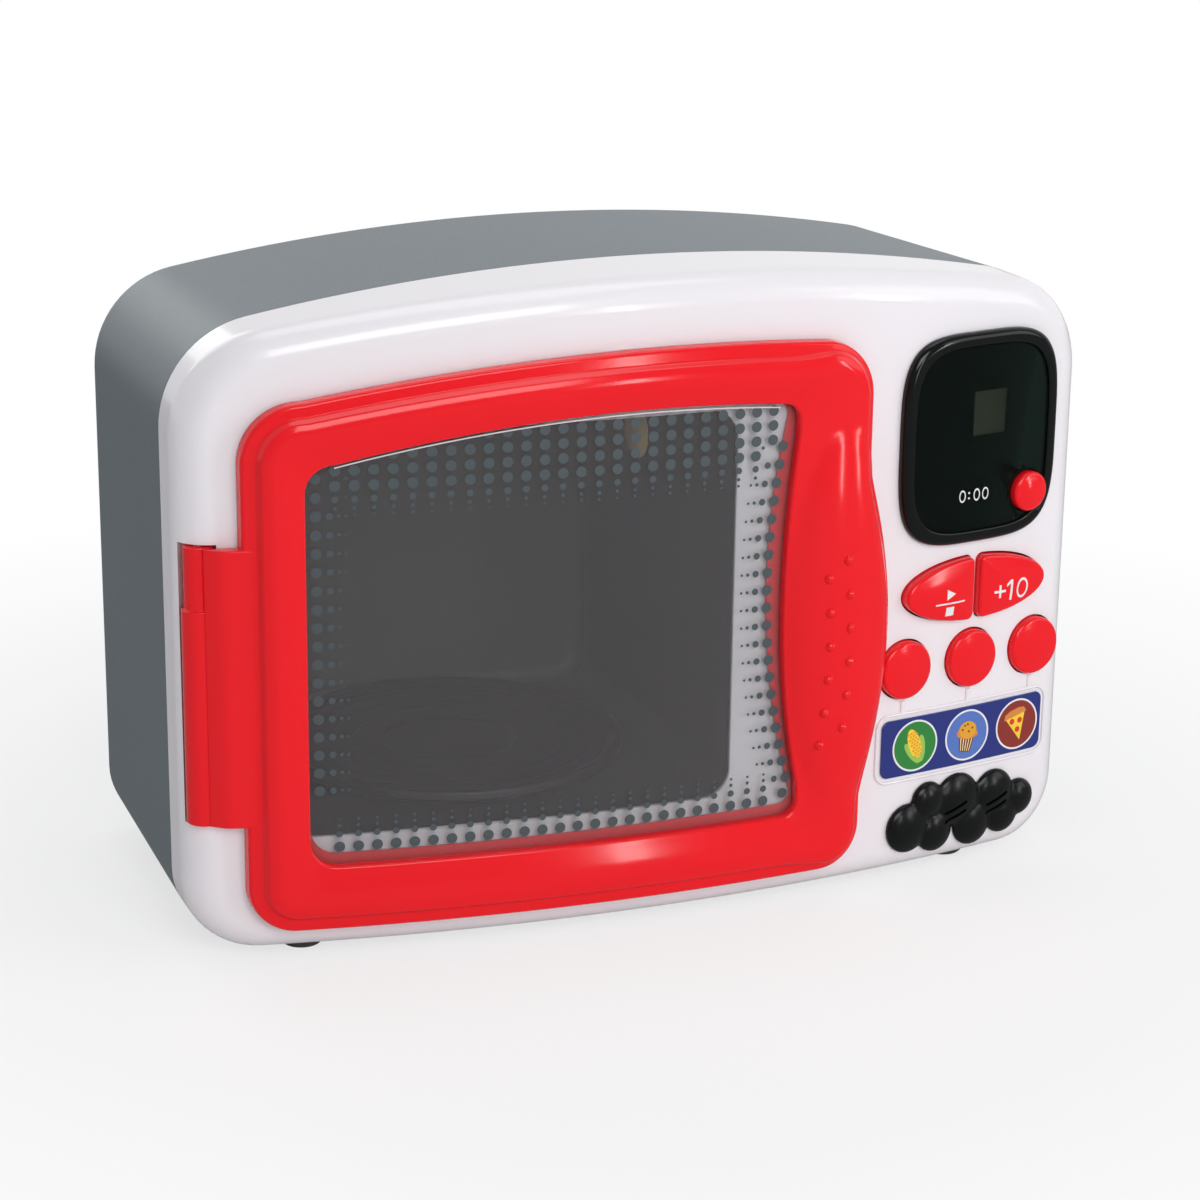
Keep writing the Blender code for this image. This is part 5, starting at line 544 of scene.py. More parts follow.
def cavity_outline(margin=0.0):
    return rounded_rectangle(
        CAVITY_LEFT - margin, CAVITY_BOTTOM - margin, CAVITY_RIGHT + margin, CAVITY_TOP + margin,
        CAVITY_CORNER + margin, 10,
    )


def squircle(inset=0.0, points=120):
    """The display's outline round its own middle, anticlockwise."""
    outline = []
    power = 2 / DISPLAY_POWER
    for i in range(points):
        angle = 2 * math.pi * i / points
        cos, sin = math.cos(angle), math.sin(angle)
        x = math.copysign(abs(cos) ** power, cos) * DISPLAY_HALF_WIDTH
        z = math.copysign(abs(sin) ** power, sin) * DISPLAY_HALF_HEIGHT
        outline.append((x, z))
    wide = 1 - inset / DISPLAY_HALF_WIDTH
    high = 1 - inset / DISPLAY_HALF_HEIGHT
    return [(x * wide, z * high) for x, z in dense(outline, DISPLAY_HALF_WIDTH / 16)]


def wide_outline(side, grow=0.0):
    """One half of the split oval, with soft corners at its flat side. The side is -1 left or 1 right."""
    flat = WIDE_GAP / 2
    corner = WIDE_HALF_HEIGHT * 2 * WIDE_CORNER_SHARE
    limit = math.acos(min((flat + corner) / WIDE_HALF_WIDTH, 1))
    steps = 48
    points = []
    for i in range(steps + 1):
        angle = -limit + 2 * limit * i / steps
        points.append((WIDE_HALF_WIDTH * math.cos(angle), WIDE_HALF_HEIGHT * math.sin(angle)))
    edge_z = WIDE_HALF_HEIGHT * math.sin(limit) - corner
    middle_x = flat + corner
    points += arc(middle_x, edge_z, corner, 90, 180, ROUND_STEPS)[1:]
    points += line(flat, edge_z, flat, -edge_z, ROUND_STEPS)
    points += arc(middle_x, -edge_z, corner, 180, 270, ROUND_STEPS)
    if side < 0:
        points = [(-x, z) for x, z in reversed(points)]
    return offset_outline(points, grow) if grow else points


def label_outline(grow=0.0):
    return rounded_rectangle(
        LABEL_LEFT - grow, LABEL_BOTTOM - grow, LABEL_RIGHT + grow, LABEL_TOP + grow, LABEL_CORNER + grow,
    )


def bulge(z):
    """How far the handle pushes the door's right edge out at a height."""
    return BULGE * max(1 - ((z - BULGE_Z) / BULGE_HALF) ** 2, 0) ** BULGE_POWER


def waist(z):
    """How far the window's right edge is drawn in at a height."""
    return WAIST * max(1 - ((z - WAIST_Z) / WAIST_HALF) ** 2, 0)


def lip_waist(z):
    """How far the lip's right edge is drawn in at a height."""
    half = LIP_WAIST_BELOW if z < LIP_WAIST_Z else LIP_WAIST_ABOVE
    return LIP_WAIST * max(1 - ((z - LIP_WAIST_Z) / half) ** 2, 0)


def crown(x, top, arch_x, arch_radius):
    """Height of an arched top at x."""
    return top - arch_radius + math.sqrt(arch_radius ** 2 - (x - arch_x) ** 2)


def arched_outline(box, arch, low_left, low_right, high_right, high_left, drawn_in):
    """An outline with an arched top, anticlockwise from the lower left, its right side drawn in."""
    left, bottom, right_low, right_high, top = box
    start = left + high_left
    end = right_high - high_right
    right_z = crown(end, top, *arch) - high_right
    left_z = crown(start, top, *arch) - high_left
    points = line(left + low_left, bottom, right_low - low_right, bottom, DOOR_ACROSS_STEPS)
    points += arc(right_low - low_right, bottom + low_right, low_right, -90, 0, DOOR_CORNER_STEPS)
    points += line(right_low, bottom + low_right, right_high, right_z, DOOR_UP_STEPS)
    points += arc(end, right_z, high_right, 0, 90, DOOR_CORNER_STEPS)
    points += [(x, crown(x, top, *arch)) for x, _ in line(end, 0, start, 0, DOOR_ACROSS_STEPS)]
    points += arc(start, left_z, high_left, 90, 180, DOOR_CORNER_STEPS)
    points += line(left, left_z, left, bottom + low_left, DOOR_UP_STEPS)
    points += arc(left + low_left, bottom + low_left, low_left, 180, 270, DOOR_CORNER_STEPS)
    middle = (left + right_high) / 2
    return [(x - drawn_in(z), z) if x > middle else (x, z) for x, z in points]


WINDOW_ARCH = (WINDOW_ARCH_X, WINDOW_ARCH_RADIUS)


def door_outline():
    return arched_outline(
        (DOOR_LEFT, DOOR_BOTTOM, DOOR_RIGHT, DOOR_RIGHT, DOOR_TOP), (0, DOOR_ARCH_RADIUS),
        DOOR_LOW_RADIUS, DOOR_LOW_RADIUS, DOOR_HIGH_RADIUS, DOOR_HIGH_RADIUS, lambda z: -bulge(z),
    )


def window_outline():
    return arched_outline(
        (WINDOW_LEFT, WINDOW_BOTTOM, WINDOW_RIGHT_BOTTOM, WINDOW_RIGHT_TOP, WINDOW_TOP), WINDOW_ARCH,
        WINDOW_LEFT_CORNER, WINDOW_CORNER, WINDOW_CORNER, WINDOW_LEFT_CORNER, waist,
    )


def lip_outline():
    """The line where the frame's front ends and drops to the pane."""
    return arched_outline(
        (LIP_LEFT, LIP_BOTTOM, LIP_RIGHT_BOTTOM, LIP_RIGHT_TOP, LIP_TOP), WINDOW_ARCH,
        LIP_LEFT_CORNER, LIP_CORNER, LIP_CORNER, LIP_LEFT_CORNER, lip_waist,
    )


def handle_rise(x, z):
    """Extra height of the door's front at the handle, a long raised lens."""
    reach = 1 - ((x - HANDLE_X) / HANDLE_HALF_WIDTH) ** 2 - ((z - HANDLE_Z) / HANDLE_HALF_HEIGHT) ** 2
    return HANDLE_RISE * max(reach, 0) ** HANDLE_POWER


# Meshes


def mesh_from(bm, name, smooth_below=35):
    bmesh.ops.recalc_face_normals(bm, faces=bm.faces)
    mesh = bpy.data.meshes.new(name)
    bm.to_mesh(mesh)
    bm.free()
    return smoothed(mesh, smooth_below)


def smoothed(mesh, below=35):
    mesh.shade_smooth()
    mesh.set_sharp_from_angle(angle=math.radians(below))
    return mesh


def loft(name, rings, start="open", end="open", loop=False, smooth_below=35):
    """A skin over rings of equally many points, each end left open, capped flat or closed to a point."""
    bm = bmesh.new()
    rows = [[bm.verts.new(point) for point in ring] for ring in rings]
    for low, high in zip(rows, rows[1:] + (rows[:1] if loop else [])):
        for i in range(len(low)):
            j = (i + 1) % len(low)
            bm.faces.new((low[i], low[j], high[j], high[i]))
    for row, ending in ((rows[0], start), (rows[-1], end)):
        if ending == "flat":
            bm.faces.new(row)
        elif ending != "open":
            tip = bm.verts.new(ending)
            for i in range(len(row)):
                bm.faces.new((row[i], row[(i + 1) % len(row)], tip))
    return mesh_from(bm, name, smooth_below)


def turned(name, profile, steps=64, smooth_below=35):
    """A profile of (radius, height) points turned round local Z. A radius of zero at an end closes it."""
    tiny = 1e-7
    ends = ["flat", "flat"]
    if profile[0][0] < tiny:
        ends[0] = (0, 0, profile[0][1])
        profile = profile[1:]
    if profile[-1][0] < tiny:
        ends[1] = (0, 0, profile[-1][1])
        profile = profile[:-1]
    rings = [[(x, y, height) for x, y in circle(radius, steps)] for radius, height in profile]
    return loft(name, rings, *ends, smooth_below=smooth_below)


def prism(name, outline, low, high, rounding=0.0):
    """A flat outline made solid from one height to another, its upper edge rounded if asked."""
    rings = [[(x, y, low) for x, y in outline]]
    if rounding:
        for sin, cos in quarter(4):
            inner = offset_outline(outline, -rounding * (1 - cos))
            rings.append([(x, y, high - rounding + rounding * sin) for x, y in inner])
    else:
        rings.append([(x, y, high) for x, y in outline])
    return loft(name, rings, "flat", "flat")


def box_mesh(name, low, high, rounding=0.0):
    bm = bmesh.new()
    bmesh.ops.create_cube(bm, size=1.0)
    size = Vector(high) - Vector(low)
    middle = (Vector(high) + Vector(low)) / 2
    bm.transform(Matrix.Translation(middle) @ Matrix.Diagonal((*size, 1)))
    if rounding:
        bmesh.ops.bevel(bm, geom=list(bm.edges), offset=rounding, segments=3, profile=0.5, affect="EDGES")
    return mesh_from(bm, name)


def helper(mesh, place=None):
    """An object that only cuts or joins."""
    if place:
        mesh.transform(place)
    obj = bpy.data.objects.new(mesh.name, mesh)
    bpy.context.scene.collection.objects.link(obj)
    return obj


def slab(outline, low, high, place):
    return helper(prism("slab", outline, low, high), place)


def rod(radius, low, high, place, steps=HOLE_STEPS):
    return helper(turned("rod", [(radius, low), (radius, high)], steps), place)


def baked(obj):
    bpy.context.view_layer.update()
    graph = bpy.context.evaluated_depsgraph_get()
    mesh = bpy.data.meshes.new_from_object(obj.evaluated_get(graph))
    obj.modifiers.clear()
    obj.data = mesh
    return mesh


def carved(obj, cuts, joins=()):
    """The mesh of a helper that others are joined to and cut from. All the helpers are removed."""
    for operation, others in (("UNION", joins), ("DIFFERENCE", cuts)):
        for other in others:
            modifier = obj.modifiers.new(other.name, "BOOLEAN")
            modifier.operation = operation
            modifier.solver = "EXACT"
            modifier.object = other
    mesh = baked(obj)
    for used in (obj, *joins, *cuts):
        bpy.data.objects.remove(used, do_unlink=True)
    return mesh


def laid(obj, material, body):
    """What every piece gets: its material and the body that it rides."""
    obj.data.materials.clear()
    obj.data.materials.append(material)
    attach(obj, body)
    return obj


def piece(name, mesh, material, body="housing", place=None, weighted=True):
    """A finished piece in the frame, riding on its body. One whose name ends in _fine replaces a node."""
    if place:
        mesh.transform(place)
    mesh.name = name
    obj = bpy.data.objects.new(name, mesh)
    bpy.context.scene.collection.objects.link(obj)
    if weighted:
        modifier = obj.modifiers.new("normals", "WEIGHTED_NORMAL")
        modifier.keep_sharp = True
    laid(obj, material, body)
    if name.endswith("_fine"):
        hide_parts(name.removesuffix("_fine"))
    return obj


def outward(x, z):
    """The housing outline's outward direction at a point, in X and Z."""
    step = 1e-5
    across = inset_at(x - step, z) - inset_at(x + step, z)
    up = inset_at(x, z - step) - inset_at(x, z + step)
    return Vector((across, 0, up)).normalized()


def front_normal(point):
    """The front skin's true normal at a point near it, or None elsewhere."""
    x, y, z = point
    inset = inset_at(x, z)
    side = max(0.0, min(1.0, 1 - inset / FRONT_EDGE_RADIUS))
    if y > bow(x) + FRONT_EDGE_RADIUS - SKIN_NEAR:
        if inset > SKIN_NEAR:
            return None
        side = 1.0
    elif abs(y - front_y(x, z)) > SKIN_NEAR * (1 + side):
        return None
    face = Vector((x / math.sqrt(BOW_RADIUS ** 2 - x ** 2), -1, 0)).normalized()
    return (outward(x, z) * side + face * math.sqrt(1 - side ** 2)).normalized()


def back_normal(point):
    """The rear skin's true normal at a point near it, or None elsewhere."""
    x, y, z = point
    start = BACK_Y - BACK_EDGE_RADIUS
    share = max(0.0, min(1.0, (y - SEAM_Y) / (start - SEAM_Y)))
    x /= 1 - BACK_DRAFT * 2 / SHELL_WIDTH * share
    z = SHELL_BOTTOM + (z - SHELL_BOTTOM) / (1 - BACK_DRAFT / (SHELL_TOP - SHELL_BOTTOM) * share)
    rise = max(0.0, min(1.0, (y - start) / BACK_EDGE_RADIUS))
    side = math.sqrt(1 - rise ** 2)
    inset = BACK_EDGE_RADIUS * (1 - side)
    flat = 0.02
    if side > flat and abs(inset_at(x, z) - inset) > SKIN_NEAR * 2:
        return None
    if side <= flat and y < BACK_Y - SKIN_NEAR:
        return None
    return (outward(x, z) * side + Vector((0, rise, 0))).normalized()


def true_normals(mesh, normal_at, place):
    """Gives the outer skin's corners the normals of the shape that they sample, so that gloss runs clean."""
    mesh.transform(place.inverted())
    found = {}
    normals = []
    alike = 0.75
    for polygon in mesh.polygons:
        for index in polygon.loop_indices:
            vertex = mesh.loops[index].vertex_index
            if vertex not in found:
                found[vertex] = normal_at(mesh.vertices[vertex].co)
            normal = found[vertex]
            if normal is not None and normal.dot(polygon.normal) > alike:
                normals.append(tuple(normal))
            else:
                normals.append((0, 0, 0))
    mesh.normals_split_custom_set(normals)
    mesh.transform(place)
    return mesh


def tree_of(obj):
    """What printed films are laid on."""
    bpy.context.view_layer.update()
    mesh = obj.evaluated_get(bpy.context.evaluated_depsgraph_get()).data
    points = [tuple(obj.matrix_world @ vertex.co) for vertex in mesh.vertices]
    return BVHTree.FromPolygons(points, [list(polygon.vertices) for polygon in mesh.polygons])


def film(name, shapes, place, tree, material, body="housing", level=1.0):
    """Flat shapes dropped onto a surface along their plane's normal, as a thin closed film. The level is how
    many film thicknesses it stands proud, so that one print can lie on another."""
    bm = bmesh.new()
    for shape in shapes:
        bm.faces.new([bm.verts.new((u, v, 0)) for u, v in shape])
    bmesh.ops.remove_doubles(bm, verts=bm.verts, dist=GAP / 100)
    bmesh.ops.triangulate(bm, faces=bm.faces)
    for _ in range(3):
        long = [edge for edge in bm.edges if edge.calc_length() > FILM_STEP]
        if not long:
            break
        bmesh.ops.subdivide_edges(bm, edges=long, cuts=1)
        bmesh.ops.triangulate(bm, faces=bm.faces)
    normal = (place.to_3x3() @ Vector((0, 0, 1))).normalized()
    for vert in bm.verts:
        start = place @ vert.co + normal * SHELL_WIDTH / 8
        hit = tree.ray_cast(start, -normal)[0]
        vert.co = (hit if hit else place @ vert.co) + normal * FILM * level
    for face in bm.faces:
        face.normal_update()
        if face.normal.dot(normal) < 0:
            face.normal_flip()
    mesh = bpy.data.meshes.new(name)
    bm.to_mesh(mesh)
    bm.free()
    obj = helper(mesh)
    thick = obj.modifiers.new("film", "SOLIDIFY")
    thick.thickness = FILM * (level + 1)
    thick.offset = -1
    baked(obj)
    return laid(obj, material, body)


# Materials


def add_node(tree, kind, inputs, **settings):
    """A shader node. Each of its inputs is given as a value, or as the output that feeds it."""
    node = tree.nodes.new("ShaderNode" + kind)
    for name, value in settings.items():
        setattr(node, name, value)
    for name, value in inputs.items():
        if isinstance(value, bpy.types.NodeSocket):
            tree.links.new(value, node.inputs[name])
        else:
            node.inputs[name].default_value = value
    return node


def colour(rgb, share=1.0):
    """A display colour, 0 to 255, as the renderer's linear value, made lighter or darker by a share."""
    channels = []
    for channel in rgb:
        value = channel / 255
        value = value / 12.92 if value <= 0.04045 else ((value + 0.055) / 1.055) ** 2.4
        channels.append(min(value * share, 1))
    return (*channels, 1)


def finish(
    name, rgb, roughness, vary=0.05, tint=0.04, tint_scale=14.0, grain_scale=1600.0, grain=0.000004,
    wave=0.00002, metallic=0.0, coat=0.0, level=0.5,
):
    """A moulded surface: drift in colour, fine variation in roughness, a grain and faint waves."""
    material = bpy.data.materials.new(name)
    material.use_nodes = True
    tree = material.node_tree
    place = add_node(tree, "TexCoord", {}).outputs["Object"]

    def noise(scale, detail):
        return add_node(tree, "TexNoise", {"Vector": place, "Scale": scale, "Detail": detail}).outputs["Fac"]

    drift = {"Factor": noise(tint_scale, 3.0), "A": colour(rgb, 1 - tint), "B": colour(rgb, 1 + tint)}
    fine = noise(grain_scale, 2.0)
    spread = {"Value": fine, "To Min": max(roughness - vary, 0.02), "To Max": roughness + vary}
    waves = add_node(tree, "Bump", {"Distance": wave, "Height": noise(26.0, 1.0)})
    bump = add_node(tree, "Bump", {"Distance": grain, "Height": fine, "Normal": waves.outputs["Normal"]})
    shader = tree.nodes["Principled BSDF"].inputs
    base = add_node(tree, "Mix", drift, data_type="RGBA")
    tree.links.new(base.outputs["Result"], shader["Base Color"])
    tree.links.new(add_node(tree, "MapRange", spread).outputs["Result"], shader["Roughness"])
    tree.links.new(bump.outputs["Normal"], shader["Normal"])
    shader["Metallic"].default_value = metallic
    shader["Coat Weight"].default_value = coat
    shader["Coat Roughness"].default_value = 0.04
    shader["Specular IOR Level"].default_value = level
    return material


def clear_finish(name, rgb, haze, through, roughness):
    """A thin clear sheet: light passes with a tint, and more of it is mirrored towards the edge of sight."""
    material = finish(name, haze, roughness, vary=0.02, wave=0.00001)
    tree = material.node_tree
    fresnel = add_node(tree, "Fresnel", {"IOR": 1.45})
    share = add_node(tree, "MapRange", {"Value": fresnel.outputs["Fac"], "To Min": 1 - through})
    open_part = add_node(tree, "BsdfTransparent", {"Color": colour(rgb)}).outputs["BSDF"]
    skin = tree.nodes["Principled BSDF"].outputs["BSDF"]
    mixed(tree, share.outputs["Result"], open_part, skin, "Material Output")
    return material


def mixed(tree, share, first, second, output=None):
    """Two shaders mixed by a share, and led to the output if it is named."""
    mix = add_node(tree, "MixShader", {0: share, 1: first, 2: second}).outputs["Shader"]
    if output:
        tree.links.new(mix, tree.nodes[output].inputs["Surface"])
    return mix


WHITE = finish("white_plastic", (237, 233, 236), 0.20, vary=0.04, tint=0.012, coat=0.25)
GREY = finish(
    "grey_plastic", (92, 104, 110), 0.42, vary=0.08, tint=0.05, grain_scale=1500, grain=0.00006, wave=0.00001,
)
DARK = finish("dark_plastic", (62, 63, 62), 0.55, vary=0.04, tint=0.03, grain_scale=1300)
CHARCOAL = finish("charcoal_plastic", (38, 37, 37), 0.36, grain_scale=1500, grain=0.00001)
RED = finish("red_plastic", (238, 24, 34), 0.14, vary=0.04, tint=0.03, coat=0.06, level=0.36)
BLACK = finish("black_plastic", (9, 12, 12), 0.12, vary=0.03, tint=0.10, coat=0.05, level=0.32)
COVER_BLACK = finish("cover_plastic", (9, 11, 12), 0.24, tint=0.10, level=0.32)
LABEL_BLUE = finish("label_print", (36, 48, 124), 0.30, tint=0.06, grain_scale=2400, grain=0.000003)
RUBBER = finish("grey_rubber", (58, 60, 62), 0.80, vary=0.10, tint=0.10, grain_scale=1800, grain=0.00005)
STEEL = finish(
    "steel", (176, 178, 180), 0.32, vary=0.10, tint=0.08, grain_scale=900, grain=0.00001, metallic=1.0,
)
BOARD = finish("board_green", (28, 84, 52), 0.45, vary=0.08, tint=0.10, grain_scale=500, grain=0.00002)
CELL = finish("cell_wrap", (48, 92, 74), 0.35, tint=0.06)
LCD = finish("lcd_glass", (176, 178, 160), 0.25, vary=0.03, tint=0.05, tint_scale=60)
CLEAR = clear_finish("clear_plastic", (247, 248, 248), (222, 218, 220), 0.975, 0.05)
SMOKED = clear_finish("smoked_plastic", (202, 205, 200), (46, 62, 58), 0.96, 0.06)
AMBER = finish("amber_plastic", (250, 214, 140), 0.16, vary=0.04, tint=0.05, coat=0.4)
DOT_GREY = finish("dot_print", (74, 84, 88), 0.40, vary=0.06, tint=0.06, grain_scale=2600)
# Pale print for the signs and picture rings, also used for the painted highlight line under the window's arch
PALE_PRINT_AND_HIGHLIGHT = finish(
    "pale_print_and_highlight", (232, 232, 230), 0.40, vary=0.06, tint=0.02, grain_scale=2600,
)
PRINT_COLOURS = {
    "green": (44, 132, 58), "leaf": (150, 196, 84), "yellow": (247, 206, 52), "gold": (226, 160, 40),
    "orange": (214, 134, 58), "brown": (122, 64, 34), "cream": (246, 226, 176), "rust": (140, 46, 38),
    "tomato": (218, 52, 40), "sky": (84, 116, 190),
}
PRINTS = {
    key: finish(key + "_print", rgb, 0.32, tint=0.05, grain_scale=2400, grain=0.000003)
    for key, rgb in PRINT_COLOURS.items()
}


# Housing

FOOD_BUTTONS = (("left", -FOOD_SPREAD), ("middle", 0), ("right", FOOD_SPREAD))
PANEL_DEEP = BEZEL_PLUG_DEPTH + OVERRUN


def front_rings(depth):
    """Rings of the front half's skin, a depth under the outer one, from the seam to the face."""
    radius = FRONT_EDGE_RADIUS - depth
    rings = [[(x, SEAM_Y, z) for x, z in shell_outline(depth)]]
    for sin, cos in quarter(EDGE_STEPS):
        rings.append(on_bow(shell_outline(depth + radius * (1 - cos)), -depth - radius * (1 - sin)))
    face = shell_outline(FRONT_EDGE_RADIUS)
    for i in range(1, FACE_RINGS):
        rings.append(on_bow(shrunk(face, 0, SHELL_MIDDLE_Z, 1 - i / FACE_RINGS), -depth))
    return rings


def hinge_block():
    """The solid corner that the hinge pin sits in: it follows the bowed wall inside the front half."""
    left = -SHELL_WIDTH / 2 + SHELL_WALL / 2
    right = left + HINGE_BLOCK_REACH
    outline = []
    for i in range(HINGE_BLOCK_STEPS + 1):
        x = left + (right - left) * i / HINGE_BLOCK_STEPS
        outline.append((x, front_y(x, KNUCKLE_STEP_Z) + SHELL_WALL / 2))
    rear = HINGE_Y + HINGE_BLOCK_REAR
    outline += [(right, rear), (left, rear)]
    return slab(outline, KNUCKLE_BOTTOM - HINGE_BLOCK_WALL, KNUCKLE_TOP + HINGE_BLOCK_WALL, DRAWN)


def panel_holes():
    holes = [slab(squircle(BEZEL_PLUG_INSET - GAP), -PANEL_DEEP, OVERRUN, on_panel(DISPLAY_U, DISPLAY_Z))]
    for _, u in FOOD_BUTTONS:
        holes.append(rod(FOOD_RADIUS + BUTTON_CLEARANCE, -PANEL_DEEP, OVERRUN, on_panel(u, FOOD_Z)))
    for side in (-1, 1):
        holes.append(slab(wide_outline(side, BUTTON_CLEARANCE), -PANEL_DEEP, OVERRUN, on_panel(0, WIDE_Z)))
    return holes


def front_shell():
    rings = list(reversed(front_rings(0.0))) + front_rings(SHELL_WALL)
    ends = (0, 0, SHELL_MIDDLE_Z), (0, SHELL_WALL, SHELL_MIDDLE_Z)
    shell = helper(loft("front_shell", rings, *ends, smooth_below=50), DRAWN)
    half_width = LATCH_WIDTH / 2 + LATCH_SIDE_CLEARANCE
    half_height = LATCH_HEIGHT / 2 + LATCH_END_CLEARANCE
    latch = rounded_rectangle(
        LATCH_X - half_width, LATCH_Z - half_height, LATCH_X + half_width, LATCH_Z + half_height, BEVEL, 3,
    )
    deep = -SEAM_Y / 2
    low = KNUCKLE_BOTTOM - KNUCKLE_CLEARANCE
    high = KNUCKLE_TOP + KNUCKLE_CLEARANCE
    cuts = [
        slab(cavity_outline(), -SEAM_Y, OVERRUN, facing()),
        slab(latch, deep, OVERRUN, facing()),
        rod(SENSOR_HOLE_RADIUS, deep, OVERRUN, facing(SENSOR_HOLE_X, SENSOR_HOLE_Z), SMALL_HOLE_STEPS),
        rod(DRAIN_HOLE_RADIUS, deep, OVERRUN, facing(DRAIN_HOLE_X, DRAIN_HOLE_Z), SMALL_HOLE_STEPS),
        rod(KNUCKLE_RADIUS + KNUCKLE_CLEARANCE, low, high, standing(HINGE_X, HINGE_Y), BORE_STEPS),
        *panel_holes(),
    ]
    mesh = true_normals(carved(shell, cuts, [hinge_block()]), front_normal, DRAWN)
    piece("front_shell_fine", mesh, WHITE, weighted=False)


def half_round(steps, radius, height):
    """How far out and how far up a rounded top lies, from one side of it to the other."""
    for i in range(steps + 1):
        angle = math.pi * i / steps
        yield radius * math.cos(angle), height * math.sin(angle)


def label_rail():
    """The raised line round the label, with a short bar up to each food button, its top rounded."""
    base = dense(label_outline(RAIL_GAP), RAIL_GAP * 2)
    half = RAIL_WIDTH / 2
    rings = [on_front(offset_outline(base, RAIL_WIDTH), -EMBED / 2)]
    for out, up in half_round(ROUND_STEPS, half, RAIL_HEIGHT):
        rings.append(on_front(offset_outline(base, half + out), up))
    rings.append(on_front(base, -EMBED / 2))
    piece("label_rail", loft("label_rail", rings, loop=True, smooth_below=60), WHITE, place=DRAWN)
    low = LABEL_TOP + RAIL_GAP + half
    high = FOOD_Z - FOOD_RADIUS - BUTTON_CLEARANCE * 2
    half = STEM_RAIL_WIDTH / 2
    for name, u in FOOD_BUTTONS:
        x = PANEL_X + u * math.cos(PANEL_SLOPE)
        rings = []
        for _, z in line(0, low, 0, high, 6) + [(0, high)]:
            top = half_round(ROUND_STEPS, half, RAIL_HEIGHT)
            ring = [(x + out, front_y(x + out, z, up), z) for out, up in top]
            foot = front_y(x, z, -EMBED / 2)
            rings.append(ring + [(x - half, foot, z), (x + half, foot, z)])
        mesh = loft("stem_rail", rings, "flat", "flat", smooth_below=60)
        piece(f"{name}_stem_rail", mesh, WHITE, place=DRAWN)


def back_rings(depth):
    """Rings of the rear half's skin, from the seam to the flat back, tapered but for the flat base."""
    narrow = 1 - BACK_DRAFT * 2 / SHELL_WIDTH
    low = 1 - BACK_DRAFT / (SHELL_TOP - SHELL_BOTTOM)
    radius = BACK_EDGE_RADIUS - depth
    rings = [[(x, SEAM_Y + GAP, z) for x, z in shell_outline(depth)]]
    for sin, cos in quarter(EDGE_STEPS):
        y = BACK_Y - depth - radius * (1 - sin)
        outline = shell_outline(depth + radius * (1 - cos))
        rings.append([(x * narrow, y, SHELL_BOTTOM + (z - SHELL_BOTTOM) * low) for x, z in outline])
    return rings


def rear_shell(hatch):
    rings = list(reversed(back_rings(0.0))) + back_rings(SHELL_WALL)
    shell = helper(loft("rear_shell", rings, "flat", "flat", smooth_below=50), DRAWN)
    start = POST_JOINT_Y + GAP
    seat = start + CASE_SCREW_SEAT
    head = CASE_SCREW_HEAD_RADIUS + CASE_SCREW_CLEARANCE
    shank = CASE_SCREW_RADIUS + CASE_SCREW_CLEARANCE
    bore = [(head, -BACK_Y - OVERRUN), (head, -seat), (shank, -seat), (shank, -start + OVERRUN)]
    lead = [(head, -BACK_Y + BEVEL * 2), (head + BEVEL * 3, -BACK_Y - BEVEL)]
    joins = []
    cuts = [slab(hatch, -BACK_Y - OVERRUN, -BACK_Y + SHELL_WALL + EMBED, facing())]
    for across, z in ((POST_LOW_X, POST_LOW_Z), (POST_HIGH_X, POST_HIGH_Z)):
        for x in (-across, across):
            joins.append(rod(REAR_POST_RADIUS, SHELL_WALL / 2 - BACK_Y, -start, facing(x, z), BORE_STEPS))
            cuts.append(helper(turned("rear_bore", bore, BORE_STEPS), facing(x, z)))
            cuts.append(helper(turned("rear_lead", lead, BORE_STEPS), facing(x, z)))
    mesh = true_normals(carved(shell, cuts, joins), back_normal, DRAWN)
    piece("rear_shell_fine", mesh, GREY, weighted=False)


def feet():
    """Soft feet: a rounded pad with two shallow rings moulded into its sole."""
    top = SHELL_BOTTOM - GAP
    groove = FOOT_EDGE / 2
    profile = [(0, top), (FOOT_RADIUS, top), (FOOT_RADIUS, FOOT_EDGE), (FOOT_RADIUS - FOOT_EDGE, 0)]
    for share in FOOT_RING_SHARES:
        middle = FOOT_RADIUS * share
        profile += [(middle + groove, 0), (middle + groove / 2, groove)]
        profile += [(middle - groove / 2, groove), (middle - groove, 0)]
    profile = softened(profile + [(0, 0)], groove / 2, 2)
    places = [(x, y) for y in (FOOT_FRONT_Y, FOOT_BACK_Y) for x in (-FOOT_X, FOOT_X)]
    for i, (x, y) in enumerate(places, 1):
        piece(f"foot_{i}_fine", turned("foot", profile, HOLE_STEPS), RUBBER, place=standing(x, y))


